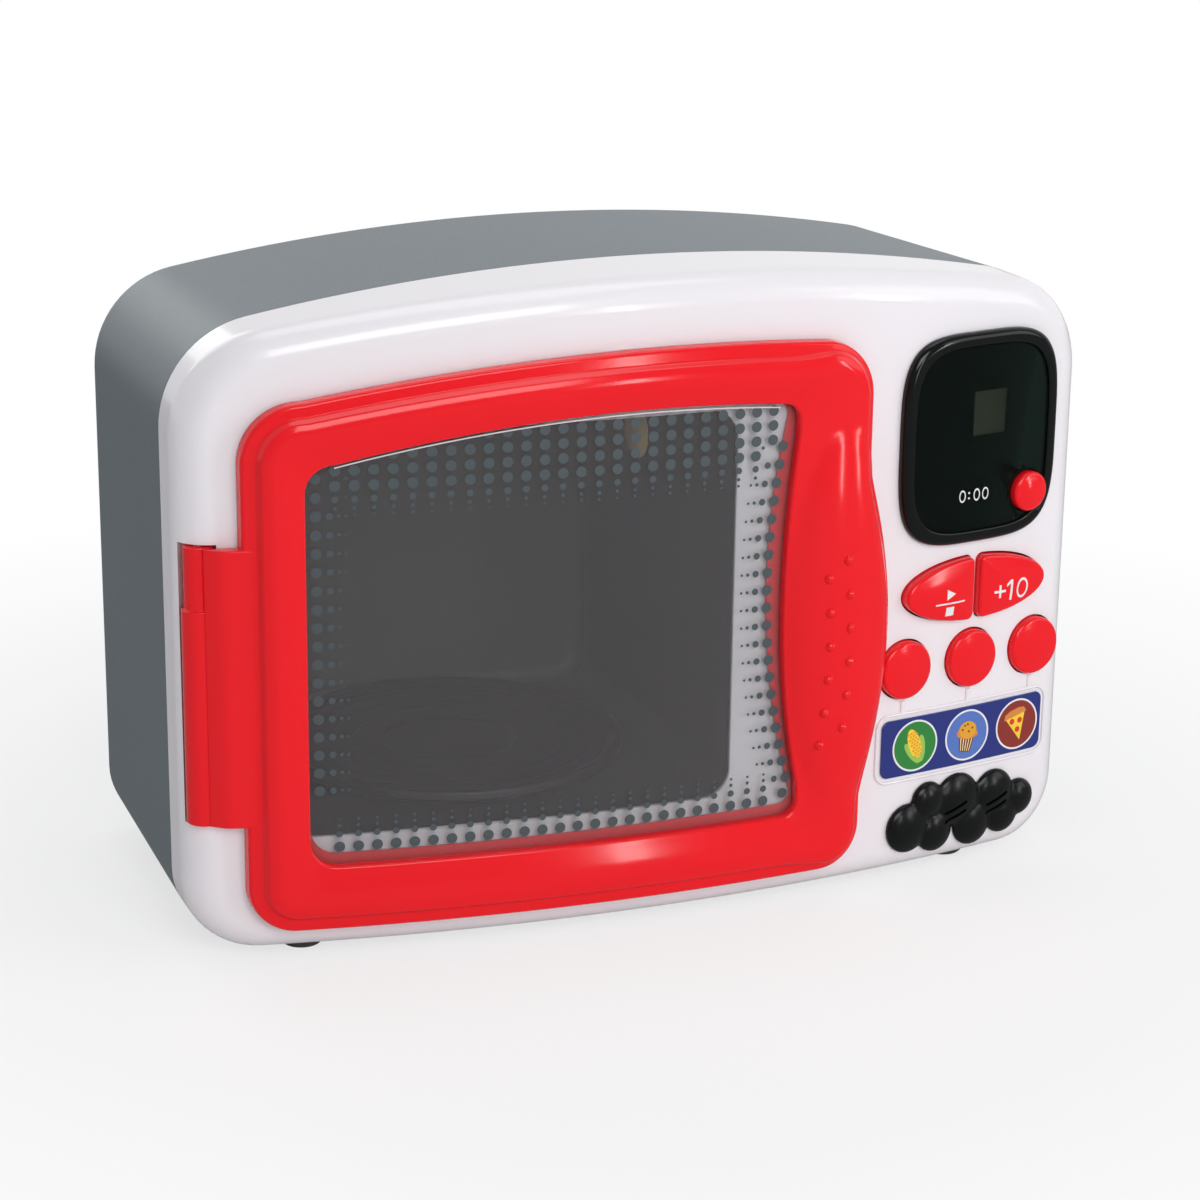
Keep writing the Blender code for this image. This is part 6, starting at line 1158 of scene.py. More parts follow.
def battery_door(outline, low_z, screw_x, screw_z):
    """The hatch, its edge softened, with the screw's sink and three rounded grip grooves."""
    inner = offset_outline(outline, -HATCH_CLEARANCE)
    mesh = prism("battery_door", inner, BACK_Y - SHELL_WALL, BACK_Y, BEVEL)
    mesh.transform(facing() @ Matrix.Scale(-1, 4, (0, 0, 1)))
    mesh.flip_normals()
    hatch = helper(mesh)
    sink = HATCH_SCREW_HEAD_RADIUS + GAP
    profile = [(sink, -BACK_Y + HATCH_SCREW_HEAD_HEIGHT), (sink, -BACK_Y + BEVEL)]
    profile.append((sink + BEVEL * 2, -BACK_Y - BEVEL))
    cuts = [helper(turned("hatch_sink", profile, BORE_STEPS), facing(screw_x, screw_z))]
    half = HATCH_GRIP_WIDTH / 2
    high = HATCH_GRIP_HEIGHT / 2
    for i in range(HATCH_GRIP_COUNT):
        z = low_z + half + i * HATCH_GRIP_PITCH
        groove = rounded_rectangle(screw_x - half, z - high, screw_x + half, z + high, high - GAP / 10, 6)
        cuts.append(slab(groove, -BACK_Y - OVERRUN, -BACK_Y + HATCH_GRIP_DEPTH, facing()))
    piece("battery_door_fine", smoothed(carved(hatch, cuts)), GREY)


def battery_door_screw(x, z):
    """A domed screw head with a cross recess. The local Z axis points out of the head."""
    radius = HATCH_SCREW_HEAD_RADIUS
    height = HATCH_SCREW_HEAD_HEIGHT - GAP * 2
    profile = [(radius * across, height * up) for across, up in HEAD_SHARES]
    profile += [(profile[-1][0], -HATCH_SCREW_REACH), (0, -HATCH_SCREW_REACH)]
    head = helper(turned("screw_head", softened(profile, radius / 12, 2), HEAD_STEPS))
    arm_share, wide_share, floor_share = CROSS_SHARES
    low = (-radius * arm_share, -radius * wide_share, height * floor_share)
    cuts = []
    for turn in (0, math.pi / 2):
        cross = box_mesh("cross", low, (-low[0], -low[1], height * 2))
        cuts.append(helper(cross, Matrix.Rotation(turn, 4, "Z")))
    seat = Matrix.Translation((x, BACK_Y - HATCH_SCREW_HEAD_HEIGHT + GAP + SHIFT, z))
    place = seat @ Matrix.Rotation(-math.pi / 2, 4, "X")
    piece("battery_door_screw_fine", carved(head, cuts), STEEL, place=place)


# Cavity


def liner_share(y):
    """How far the liner's walls are drawn in at y, as a share of their size at the front."""
    back = LINER_BACK - LINER_WALL - CAVITY_CORNER * LINER_ROUND_SHARE
    return 1 + (LINER_TAPER_SHARE - 1) * (y + OVERRUN) / (back + OVERRUN)


def liner_floor(y):
    return CAVITY_MIDDLE_Z + (CAVITY_BOTTOM - LINER_MARGIN - CAVITY_MIDDLE_Z) * liner_share(y)


LINER_RIGHT = CAVITY_MIDDLE_X + (CAVITY_RIGHT + LINER_MARGIN - CAVITY_MIDDLE_X) * liner_share(LAMP_Y)
LAMP_PLACE = Matrix.Translation((LINER_RIGHT, LAMP_Y + SHIFT, LAMP_Z)) @ Matrix.Rotation(-math.pi / 2, 4, "Y")


def liner_outline(share, inset):
    outline = offset_outline(dense(cavity_outline(LINER_MARGIN), CAVITY_CORNER), -inset)
    return shrunk(outline, CAVITY_MIDDLE_X, CAVITY_MIDDLE_Z, share)


def liner():
    """The cavity's box with its flange behind the housing's wall, its back corners well rounded."""
    near = SHELL_WALL + GAP * 2
    behind = near + LINER_FLANGE_DEPTH
    radius = CAVITY_CORNER * LINER_ROUND_SHARE
    wide = radius + LINER_WALL
    inner, outer = [], []
    for sin, cos in quarter(ROUND_STEPS):
        y = LINER_BACK - LINER_WALL - radius * (1 - sin)
        inner.append([(x, y, z) for x, z in liner_outline(LINER_TAPER_SHARE, radius * (1 - cos))])
        y = LINER_BACK - wide * (1 - sin)
        outer.append([(x, y, z) for x, z in liner_outline(LINER_TAPER_SHARE, wide * (1 - cos) - LINER_WALL)])
    rings = list(reversed(inner))
    for inset, depth in ((0, near), (-LINER_FLANGE, near), (-LINER_FLANGE, behind), (-LINER_WALL, behind)):
        rings.append(on_bow(liner_outline(1, inset), -depth))
    body = helper(loft("cavity_liner", rings + outer, "flat", "flat", smooth_below=50), DRAWN)
    low, high = CAVITY_BOTTOM - LINER_WALL - OVERRUN, CAVITY_BOTTOM + OVERRUN
    cuts = [
        rod(TABLE_SHAFT_RADIUS + RUNNING_GAP, low, high, standing(CAVITY_MIDDLE_X, TABLE_Y), BORE_STEPS),
        rod(LAMP_DOME_RADIUS + GAP, -OVERRUN, OVERRUN, LAMP_PLACE),
    ]
    piece("cavity_liner_fine", carved(body, cuts), DARK)


def lamp():
    """The lamp's domed lens, with a plain rim."""
    foot = math.sqrt(LAMP_FLATNESS)
    tall = math.sqrt(1 + LAMP_FLATNESS) - foot
    profile = [(0, LAMP_DOME_HEIGHT)]
    for i in range(1, EDGE_STEPS + 1):
        share = i / EDGE_STEPS
        rise = math.sqrt(1 + LAMP_FLATNESS - share ** 2) - foot
        profile.append((LAMP_DOME_RADIUS * share, LAMP_DOME_HEIGHT * rise / tall))
    profile += [(LAMP_DOME_RADIUS, -LINER_WALL), (0, -LINER_WALL)]
    piece("lamp_lens_fine", turned("lamp_lens", profile, HOLE_STEPS), AMBER, place=LAMP_PLACE)


def turntable():
    """A dished disc with a rolled rim, three faint rings and its stub shaft."""
    under = max(liner_floor(TABLE_Y + reach) for reach in (-TABLE_RADIUS, 0, TABLE_RADIUS)) + RUNNING_GAP
    low = under + TABLE_LIFT
    top = low + TABLE_THICKNESS
    rim = top + TABLE_RIM_HEIGHT
    inner = TABLE_RADIUS - TABLE_RIM_WIDTH
    well = top - TABLE_WELL_DEPTH
    groove = TABLE_GROOVE
    end = under - LINER_WALL * 4
    inside, crest, outside, foot = TABLE_RIM_SHARES
    profile = [(0, well), (TABLE_WELL_RADIUS, well), (TABLE_WELL_RADIUS + TABLE_WELL_DEPTH * 2, top)]
    for share in TABLE_RING_SHARES:
        radius = TABLE_RADIUS * share
        profile += [(radius - groove * 2, top), (radius, top - groove), (radius + groove * 2, top)]
    profile += [
        (inner - TABLE_RIM_HEIGHT, top), (inner, rim - TABLE_RIM_HEIGHT * inside),
        (inner + TABLE_RIM_WIDTH * crest, rim), (TABLE_RADIUS, rim - TABLE_RIM_HEIGHT * outside),
        (TABLE_RADIUS, top - TABLE_THICKNESS * foot), (inner, low), (TABLE_SHAFT_RADIUS * 2, low),
        (TABLE_SHAFT_RADIUS, under), (TABLE_SHAFT_RADIUS, end), (0, end),
    ]
    mesh = turned("turntable", softened(profile, TABLE_RIM_HEIGHT / 3), TABLE_STEPS)
    piece("turntable_fine", mesh, CHARCOAL, "turntable_body", standing(CAVITY_MIDDLE_X, TABLE_Y))


# Door


def ease(share):
    share = max(0.0, min(1.0, share))
    return share * share * (3 - 2 * share)


def ledge_width(x):
    """The outer ledge is wide along the top, left and foot, and narrows towards the handle's side."""
    share = ease((x - LEDGE_TURN_X) / LEDGE_TURN_WIDTH)
    return LEDGE_WIDE + (LEDGE_NARROW - LEDGE_WIDE) * share


def door_lanes(outer, lip):
    """The door's front as rings of (x, z, height), from its outer edge to the foot of its inner lip."""
    start = DOOR_DRAFT + DOOR_ROUND
    lanes = []

    def lane(height, reach_at):
        lanes.append([(x, z, height) for x, z in offset_outline(outer, lambda x: -reach_at(x))])

    for sin, cos in quarter(SHOULDER_STEPS):
        lane(LEDGE_LOW - DOOR_ROUND + DOOR_ROUND * sin, lambda x: DOOR_DRAFT + DOOR_ROUND * (1 - cos))
    lane(LEDGE_HIGH - GAP / 3, lambda x: start + (ledge_width(x) - start) * LEDGE_BREAK_SHARE)
    for i in range(ROUND_STEPS + 1):
        share = i / ROUND_STEPS
        height = LEDGE_HIGH + (STEP_TOP - LEDGE_HIGH) * ease(share)
        lane(height, lambda x: ledge_width(x) + STEP_WIDTH * share)
    for share in CROWN_SHARES:
        reach = STEP_WIDTH + (CROWN_REACH - STEP_WIDTH) * share
        height = STEP_TOP + (DOOR_CREST_HEIGHT - STEP_TOP) * math.sin(math.pi / 2 * share)
        lane(height, lambda x: ledge_width(x) + reach)
    crest = lanes[-1]
    edge = offset_outline(lip, LIP_ROUND)
    for i in range(1, CROWN_STEPS):
        share = i / CROWN_STEPS
        level = DOOR_CREST_HEIGHT + (LIP_HEIGHT - DOOR_CREST_HEIGHT) * share ** CROWN_POWER
        lanes.append([
            (cx + (ex - cx) * share, cz + (ez - cz) * share, level)
            for (cx, cz, _), (ex, ez) in zip(crest, edge)
        ])
    for sin, cos in quarter(SHOULDER_STEPS):
        level = LIP_HEIGHT - LIP_ROUND * (1 - cos)
        lanes.append([(x, z, level) for x, z in offset_outline(lip, LIP_ROUND * (1 - sin))])
    return lanes


def door_frame():
    outer, lip, inner = door_outline(), lip_outline(), window_outline()
    rings = []
    for lane in door_lanes(outer, lip):
        rings.append([(x, bow(x) - height - handle_rise(x, z), z) for x, z, height in lane])
    groove = offset_outline(inner, PANE_REACH + GAP)
    for ring, height in (
        (lip, SEAT_HEIGHT), (groove, SEAT_HEIGHT), (groove, PANE_REST), (inner, PANE_REST), (inner, DOOR_GAP),
        (outer, DOOR_GAP),
    ):
        rings.append(on_bow(ring, height))
    return piece("door_frame_fine", loft("door_frame", rings, loop=True, smooth_below=48), RED, "door", DRAWN)


def grips(door):
    """Small domes on the handle, in two staggered columns, seated on its front."""
    tree = tree_of(door)
    bm = bmesh.new()
    flat = Matrix.Diagonal((1, 1, GRIP_FLAT_SHARE, 1))
    for i in range(GRIP_COUNT * 2):
        row, column = divmod(i, 2)
        z = GRIP_LOW_Z + GRIP_PITCH * (row + column / 2)
        x = GRIP_X + column * GRIP_SPREAD + bulge(z) / 2 - BULGE / 2
        hit, normal = tree.ray_cast(Vector((x, -1, z)), Vector((0, 1, 0)))[:2]
        turn = normal.to_track_quat("Z", "Y").to_matrix().to_4x4()
        place = Matrix.Translation(hit - normal * GRIP_RADIUS * GRIP_SINK_SHARE) @ turn @ flat
        bmesh.ops.create_uvsphere(bm, u_segments=28, v_segments=16, radius=GRIP_RADIUS, matrix=place)
    piece("handle_grips", mesh_from(bm, "handle_grips", 60), RED, "door")


def hinge():
    """The stepped barrel on the hinge line, the leaf that joins it to the door, and the latch tongue."""
    profile = [
        (HINGE_BORE_RADIUS, KNUCKLE_TOP), (KNUCKLE_HIGH_RADIUS, KNUCKLE_TOP),
        (KNUCKLE_HIGH_RADIUS, KNUCKLE_STEP_Z), (KNUCKLE_RADIUS, KNUCKLE_STEP_Z),
        (KNUCKLE_RADIUS, KNUCKLE_BOTTOM), (HINGE_BORE_RADIUS, KNUCKLE_BOTTOM),
    ]
    barrel = turned("hinge_barrel", softened(profile, BEVEL, 3), HOLE_STEPS)
    piece("hinge_barrel", barrel, RED, "door", standing(HINGE_X, HINGE_Y))
    start, slope = LEAF_LEAD_SHARES
    rings = []
    for i in range(LEAF_STEPS + 1):
        share = i / LEAF_STEPS
        x = HINGE_X + LEAF_REACH * share
        back = bow(x) - DOOR_GAP
        lead = LEAF_THICKNESS * math.sin(math.pi / 2 * min(share * slope + start, 1))
        corner = min(BEVEL * 2, lead / 3)
        section = rounded_rectangle(back - lead, KNUCKLE_BOTTOM, back, KNUCKLE_TOP, corner, 4)
        rings.append([(x, y, z) for y, z in section])
    piece("hinge_leaf", loft("hinge_leaf", rings, "flat", "flat"), RED, "door", DRAWN)
    low = (LATCH_X - LATCH_WIDTH / 2, bow(LATCH_X) - DOOR_GAP - EMBED * 2, LATCH_Z - LATCH_HEIGHT / 2)
    high = (LATCH_X + LATCH_WIDTH / 2, LATCH_REACH, LATCH_Z + LATCH_HEIGHT / 2)
    piece("latch_tongue", box_mesh("latch_tongue", low, high, GAP * 2), RED, "door", DRAWN)


def pane():
    """The clear pane: it follows the bow and lies in the frame's groove, before the thin ledge."""
    outline = dense(offset_outline(window_outline(), PANE_REACH), DOOR_HIGH_RADIUS / 4)
    middle_x = (WINDOW_LEFT + WINDOW_RIGHT_TOP) / 2
    middle_z = (WINDOW_BOTTOM + WINDOW_TOP) / 2
    shares = [i / PANE_RINGS for i in range(1, PANE_RINGS + 1)]
    rings = []
    ends = []
    for height, order in ((PANE_REST + GAP, shares), (DOOR_GAP + PANE_THICKNESS, reversed(shares))):
        rings += [on_bow(shrunk(outline, middle_x, middle_z, share), height) for share in order]
        ends += on_bow([(middle_x, middle_z)], height)
    return piece("door_window_fine", loft("door_window", rings, *ends), CLEAR, "door", DRAWN)


def window_crown(x):
    return crown(x, WINDOW_TOP, *WINDOW_ARCH)


def window_right(z):
    share = (z - WINDOW_BOTTOM) / (WINDOW_TOP - WINDOW_BOTTOM)
    return WINDOW_RIGHT_BOTTOM + (WINDOW_RIGHT_TOP - WINDOW_RIGHT_BOTTOM) * share - waist(z)


def dot_column(x, z, ax, az):
    """Four dots that shrink as they run inwards from the edge."""
    dots = []
    for radius, step in zip(DOT_RADII, (0,) + DOT_STEPS):
        x += ax * step
        z += az * step
        dots.append((x, z, radius))
    return dots


def dot_places():
    """The printed border: columns along the top and foot, rows at the sides, full rows under the arch."""
    largest = DOT_RADII[0]
    low_z = WINDOW_BOTTOM + DOT_EDGE + largest
    left_x = WINDOW_LEFT + DOT_EDGE + largest
    main_z = window_crown(WINDOW_LEFT + WINDOW_LEFT_CORNER) - DOT_MAIN_DROP
    turn = DOT_PITCH * DOT_TURN_SHARE
    low_right = window_right(low_z) - largest
    dots = []
    for i in range(int((WINDOW_RIGHT_TOP - largest - left_x) / DOT_PITCH) + 1):
        x = left_x + DOT_PITCH * i
        if 0 < i and x < low_right - turn:
            dots += dot_column(x, low_z, 0, 1)
        if 0 < i and x < window_right(main_z) - turn:
            dots += dot_column(x, main_z, 0, -1)
        z = main_z + DOT_ROW_PITCH
        while z < window_crown(x) - largest / 4:
            if x < window_right(z):
                dots.append((x, z, largest))
            z += DOT_ROW_PITCH
    for i in range(int((main_z - low_z - turn / 2) / DOT_PITCH) + 1):
        z = low_z + turn + DOT_PITCH * i
        dots += dot_column(window_right(z) - largest * DOT_SIDE_SHARE, z, -1, 0)
        if i > 1:
            dots += dot_column(left_x, z, 1, 0)
    corner = turn * DOT_CORNER_SHARE
    dots += dot_column(low_right - corner, low_z + corner, -0.7, 0.7)[:2]
    return sorted(dots, key=lambda dot: -dot[2])


# The dots are print; the pale line under the arch is a painted highlight of the pane's lit top edge
def dot_print(sheet):
    tree = tree_of(sheet)
    kept = []
    for x, z, radius in dot_places():
        if all(math.hypot(x - ox, z - oz) >= radius + other + DOT_CLEARANCE for ox, oz, other in kept):
            kept.append((x, z, radius))
    dots = [circle(radius, DOT_SIDES, x, z) for x, z, radius in kept]
    film("window_dots", dots, facing(), tree, DOT_GREY, "door")
    # A painted highlight: a pale film line under the window's arch, standing in for the pane's lit top edge
    right = WINDOW_RIGHT_TOP - WINDOW_CORNER
    along = [x for x, _ in line(WINDOW_LEFT + WINDOW_LEFT_CORNER, 0, right, 0, HIGHLIGHT_LINE_STEPS)] + [right]
    edge = []
    for a, b in zip(along, along[1:]):
        low_a, low_b = window_crown(a) - HIGHLIGHT_LINE_DROP, window_crown(b) - HIGHLIGHT_LINE_DROP
        edge.append([(a, low_a), (b, low_b), (b, low_b + HIGHLIGHT_LINE_WIDTH), (a, low_a + HIGHLIGHT_LINE_WIDTH)])
    film("window_highlight_line", edge, facing(), tree, PALE_PRINT_AND_HIGHLIGHT, "door", 2.0)


# Display


def bezel_ring(inset, height):
    return [(u, z, height - bow(u + DISPLAY_U)) for u, z in squircle(inset)]


def bezel_rings(inset, height, shares):
    """Rings between an inset and the display's middle."""
    return [bezel_ring(inset + (DISPLAY_HALF_WIDTH - inset) * share, height) for share in shares]


def lens_normal(point):
    """The lens's true normal at a point of its top, in its own place, or None elsewhere."""
    across = point.x + DISPLAY_U
    if abs(point.z - (BEZEL_HEIGHT - LENS_SINK - bow(across))) > SKIN_NEAR:
        return None
    return Vector((across / math.sqrt(BOW_RADIUS ** 2 - across ** 2), 0, 1)).normalized()


def display():
    """The glossy bezel with its rolled rim, and the smoked lens over the liquid crystal panel."""
    place = on_panel(DISPLAY_U, DISPLAY_Z)
    top = BEZEL_HEIGHT - LENS_SINK
    low = top - LENS_THICKNESS
    floor = low - GAP
    drop = bow(DISPLAY_U)
    rings = [bezel_ring(BEZEL_PLUG_INSET, -BEZEL_PLUG_DEPTH), bezel_ring(BEZEL_PLUG_INSET, BEZEL_BASE)]
    rings.append(bezel_ring(0, BEZEL_BASE))
    for sin, cos in quarter(ROUND_STEPS):
        rings.append(bezel_ring(BEZEL_ROUND * (1 - cos), BEZEL_HEIGHT - BEZEL_ROUND * (1 - sin)))
    for sin, cos in quarter(ROUND_STEPS // 2):
        rings.append(bezel_ring(BEZEL_RIM - LENS_SINK * (1 - sin), BEZEL_HEIGHT - LENS_SINK * (1 - cos)))
    rings += bezel_rings(BEZEL_RIM, floor, (0, 0.35, 0.7))
    bezel = helper(loft("display_bezel", rings, "flat", (0, 0, floor - drop), smooth_below=40), place)
    half_width, half_height = LCD_VIEW_WIDTH / 2, LCD_VIEW_HEIGHT / 2
    view = rounded_rectangle(-half_width, -half_height, half_width, half_height, BEVEL, 3)
    pocket = box_mesh(
        "lcd_pocket", (-LCD_POCKET_HALF_WIDTH, -LCD_POCKET_HALF_HEIGHT, -PANEL_DEEP),
        (LCD_POCKET_HALF_WIDTH, LCD_POCKET_HALF_HEIGHT, floor - LCD_POCKET_SKIN - bow(LCD_POCKET_BOW_X)),
    )
    high = OVERRUN + BEZEL_HEIGHT
    reset = (RESET_RADIUS + BUTTON_CLEARANCE, -PANEL_DEEP, high, on_panel(RESET_U, RESET_Z))
    window = on_panel(LCD_U, LCD_Z)
    cuts = [slab(view, -PANEL_DEEP, high, window), rod(*reset), helper(pocket, window)]
    piece("display_bezel_fine", carved(bezel, cuts), BLACK)
    inset = BEZEL_RIM + GAP / 2
    rings = bezel_rings(inset, low, (0.66, 0.33, 0))
    rings += [bezel_ring(inset, top - GAP), bezel_ring(inset + GAP, top)]
    rings += bezel_rings(inset, top, (0.33, 0.66))
    lens = helper(loft("display_lens", rings, (0, 0, low - drop), (0, 0, top - drop)), place)
    mesh = true_normals(carved(lens, [rod(*reset)]), lens_normal, place)
    return piece("display_lens_fine", mesh, SMOKED, weighted=False)


# Buttons and their signs


def round_button(body, radius, u, z, surface):
    """A softly domed cap with a rounded shoulder, down to behind the wall."""
    top = surface + BUTTON_RISE + BUTTON_DOME
    inner = radius - BUTTON_SHOULDER
    level = top - BUTTON_FALL - BUTTON_SHOULDER
    profile = [(0, top)]
    for i in range(1, ROUND_STEPS + 1):
        share = i / ROUND_STEPS
        profile.append((inner * share, top - BUTTON_FALL * share ** 2))
    for sin, cos in list(quarter(SHOULDER_STEPS))[1:]:
        profile.append((inner + BUTTON_SHOULDER * sin, level + BUTTON_SHOULDER * cos))
    profile += [(radius, -BEZEL_PLUG_DEPTH), (0, -BEZEL_PLUG_DEPTH)]
    piece(f"{body}_button_fine", turned("button", profile, BUTTON_STEPS, 50), RED, body, on_panel(u, z))


def wide_button(body, side):
    """Half of the split oval: a rounded shoulder and a softly domed top."""
    outline = wide_outline(side)
    centre = side * WIDE_HALF_WIDTH * WIDE_CREST_SHARE
    top = BUTTON_RISE + WIDE_ROUND
    rings = [[(u, z, -SHELL_WALL - EMBED) for u, z in outline]]
    for sin, cos in quarter(SHOULDER_STEPS):
        inner = offset_outline(outline, -WIDE_ROUND * (1 - cos))
        rings.append([(u, z, BUTTON_RISE + WIDE_ROUND * sin) for u, z in inner])
    edge = offset_outline(outline, -WIDE_ROUND)
    for i in range(1, ROUND_STEPS):
        share = 1 - i / ROUND_STEPS
        height = top + WIDE_DOME * (1 - share ** 2)
        rings.append([(u, z, height) for u, z in shrunk(edge, centre, 0, share)])
    mesh = loft("button", rings, "flat", (centre, 0, top + WIDE_DOME), smooth_below=50)
    return piece(f"{body}_button_fine", mesh, RED, body, on_panel(0, WIDE_Z))


def ring_shapes(radius, width, steps=40, squeeze=1.0):
    """A ring as small four-sided shapes."""
    shapes = []
    for i in range(steps):
        corners = []
        for step, reach in ((i, radius - width), (i, radius), (i + 1, radius), (i + 1, radius - width)):
            turn = 2 * math.pi * step / steps
            corners.append((reach * squeeze * math.cos(turn), reach * math.sin(turn)))
        shapes.append(corners)
    return shapes


def moved(shapes, u=0.0, v=0.0, size=1.0, turn=0.0):
    cos, sin = math.cos(math.radians(turn)), math.sin(math.radians(turn))
    return [
        [(u + (x * cos - y * sin) * size, v + (x * sin + y * cos) * size) for x, y in shape]
        for shape in shapes
    ]


def bar(left, bottom, right, top):
    return [(left, bottom), (right, bottom), (right, top), (left, top)]


def ellipse(wide, high, u=0.0, v=0.0, turn=0.0):
    return moved([[(wide * x, high * y) for x, y in circle(1.0, 32)]], u, v, 1.0, turn)[0]


def sign(name, shapes, spot, plate, body="housing"):
    """A printed sign, whose spot is its place on the panel and its scale."""
    u, z, size = spot
    film(name, moved(shapes, size=size), on_panel(u, z), tree_of(plate), PALE_PRINT_AND_HIGHLIGHT, body)


def signs(lens, start_button, add_button):
    """Generic signs: noughts by the reset button, play over stop, and a plus ten."""
    nought = ring_shapes(1.0, 0.26, squeeze=0.62)
    clock = moved(nought, -2.35) + moved(nought, 0.45) + moved(nought, 2.15)
    clock += [ellipse(0.17, 0.17, -1.08, 0.42), ellipse(0.17, 0.17, -1.08, -0.42)]
    sign("reset_sign", clock, RESET_SIGN, lens)
    play = [(-0.46, 0.34), (0.52, 0.86), (-0.46, 1.38)]
    play_stop = [play, bar(-1.7, -0.08, 1.7, 0.07), bar(-0.44, -1.26, 0.44, -0.38)]
    sign("start_stop_sign", play_stop, START_STOP_SIGN, start_button, "start_stop")
    plus = [bar(-0.5, -0.09, -0.09, 0.09), bar(-0.09, -0.09, 0.09, 0.09), bar(0.09, -0.09, 0.5, 0.09)]
    plus += [bar(-0.09, 0.09, 0.09, 0.5), bar(-0.09, -0.5, 0.09, -0.09)]
    one = [bar(-0.1, -0.8, 0.1, 0.8), [(-0.1, 0.8), (-0.46, 0.5), (-0.46, 0.3), (-0.1, 0.52)]]
    plus_ten = moved(plus, -1.25) + moved(one, -0.2) + moved(ring_shapes(0.8, 0.2, squeeze=0.68), 0.85)
    sign("add_time_sign", plus_ten, ADD_TIME_SIGN, add_button, "add_time")


# Label and its pictures


def label():
    """A thin printed plate that follows the bow inside the raised rail."""
    outline = dense(label_outline(), LABEL_CORNER)
    low, high = GAP / 2, GAP + LABEL_THICKNESS

    def ring(height, share, inset=0.0):
        return on_front(shrunk(offset_outline(outline, -inset), *LABEL_MIDDLE, share), height)

    rings = [ring(low, share) for share in (0.3, 0.6, 1.0)]
    rings += [ring(high - BEVEL / 4, 1.0), ring(high, 1.0, BEVEL / 3)]
    rings += [ring(high, share) for share in (0.85, 0.7, 0.55, 0.4, 0.25, 0.1)]
    ends = on_front([LABEL_MIDDLE], low) + on_front([LABEL_MIDDLE], high)
    return piece("icon_label_fine", loft("icon_label", rings, *ends), LABEL_BLUE, place=DRAWN)


def corn_picture():
    """A cob in its leaves on a green ground."""
    kernels = []
    for row in range(-4, 5):
        for column in (-1, 0, 1):
            u = column * 0.135 + (0.066 if row % 2 else 0)
            if abs(u) < 0.24:
                kernels.append(ellipse(0.055, 0.048, u, row * 0.115 + 0.06))
    return (
        ("leaf", [ellipse(0.17, 0.52, -0.22, -0.22, 18), ellipse(0.17, 0.52, 0.22, -0.22, -18)]),
        ("yellow", [ellipse(0.27, 0.64, 0, 0.06)]),
        ("gold", kernels),
        ("leaf", [[(-0.30, -0.30), (-0.12, -0.72), (0.12, -0.72), (0.30, -0.30), (0, -0.52)]]),
    )


def muffin_picture():
    """A muffin with a domed top and a pleated cup on a blue ground."""
    pleats = []
    for i in (-2, -1, 0, 1, 2):
        top, foot = i * 0.135, i * 0.095
        pleat = [(top - 0.02, -0.04), (foot - 0.015, -0.62), (foot + 0.015, -0.62), (top + 0.02, -0.04)]
        pleats.append(pleat)
    crumbs = ((-0.24, 0.20), (-0.04, 0.42), (0.20, 0.28), (0.06, 0.14), (-0.16, 0.36))
    return (
        ("brown", [[(-0.36, -0.02), (-0.25, -0.66), (0.25, -0.66), (0.36, -0.02)]]),
        ("cream", pleats),
        ("orange", [ellipse(0.50, 0.22, 0, 0.06)]),
        ("gold", [ellipse(0.40, 0.34, 0, 0.20)]),
        ("brown", [ellipse(0.05, 0.04, u, v) for u, v in crumbs]),
    )


def pizza_picture():
    """A slice with round toppings on a red-brown ground."""
    return (
        ("yellow", [[(-0.46, 0.36), (0.0, -0.68), (0.46, 0.36), (0.2, 0.44), (-0.2, 0.44)]]),
        ("orange", [[(-0.54, 0.34), (0.54, 0.34), (0.46, 0.54), (0.2, 0.62), (-0.2, 0.62), (-0.46, 0.54)]]),
        ("tomato", [ellipse(0.115, 0.115, u, v) for u, v in ((-0.2, 0.18), (0.16, 0.10), (-0.02, -0.22))]),
    )


def pictures(plate):
    tree = tree_of(plate)
    drawings = (
        ("left", "green", 20, corn_picture()), ("middle", "sky", -8, muffin_picture()),
        ("right", "rust", 14, pizza_picture()),
    )
    ring_level = 1.3
    layer = 0.3
    for x, (name, ground, turn, drawing) in zip(ICON_X, drawings):
        place = facing(x, LABEL_MIDDLE[1])
        disc = moved([circle(1.0, 48)], size=ICON_RADIUS * ICON_GROUND_SHARE)
        film(f"{name}_picture_ground", disc, place, tree, PRINTS[ground])
        edge = moved(ring_shapes(1.0, 0.07, 60), size=ICON_RADIUS)
        film(f"{name}_picture_ring", edge, place, tree, PALE_PRINT_AND_HIGHLIGHT, level=ring_level)
        for i, (key, shapes) in enumerate(drawing, 1):
            drawn = moved(shapes, size=ICON_RADIUS, turn=turn)
            film(f"{name}_picture_{i}", drawn, place, tree, PRINTS[key], level=ring_level + layer * i)


# Speaker cover


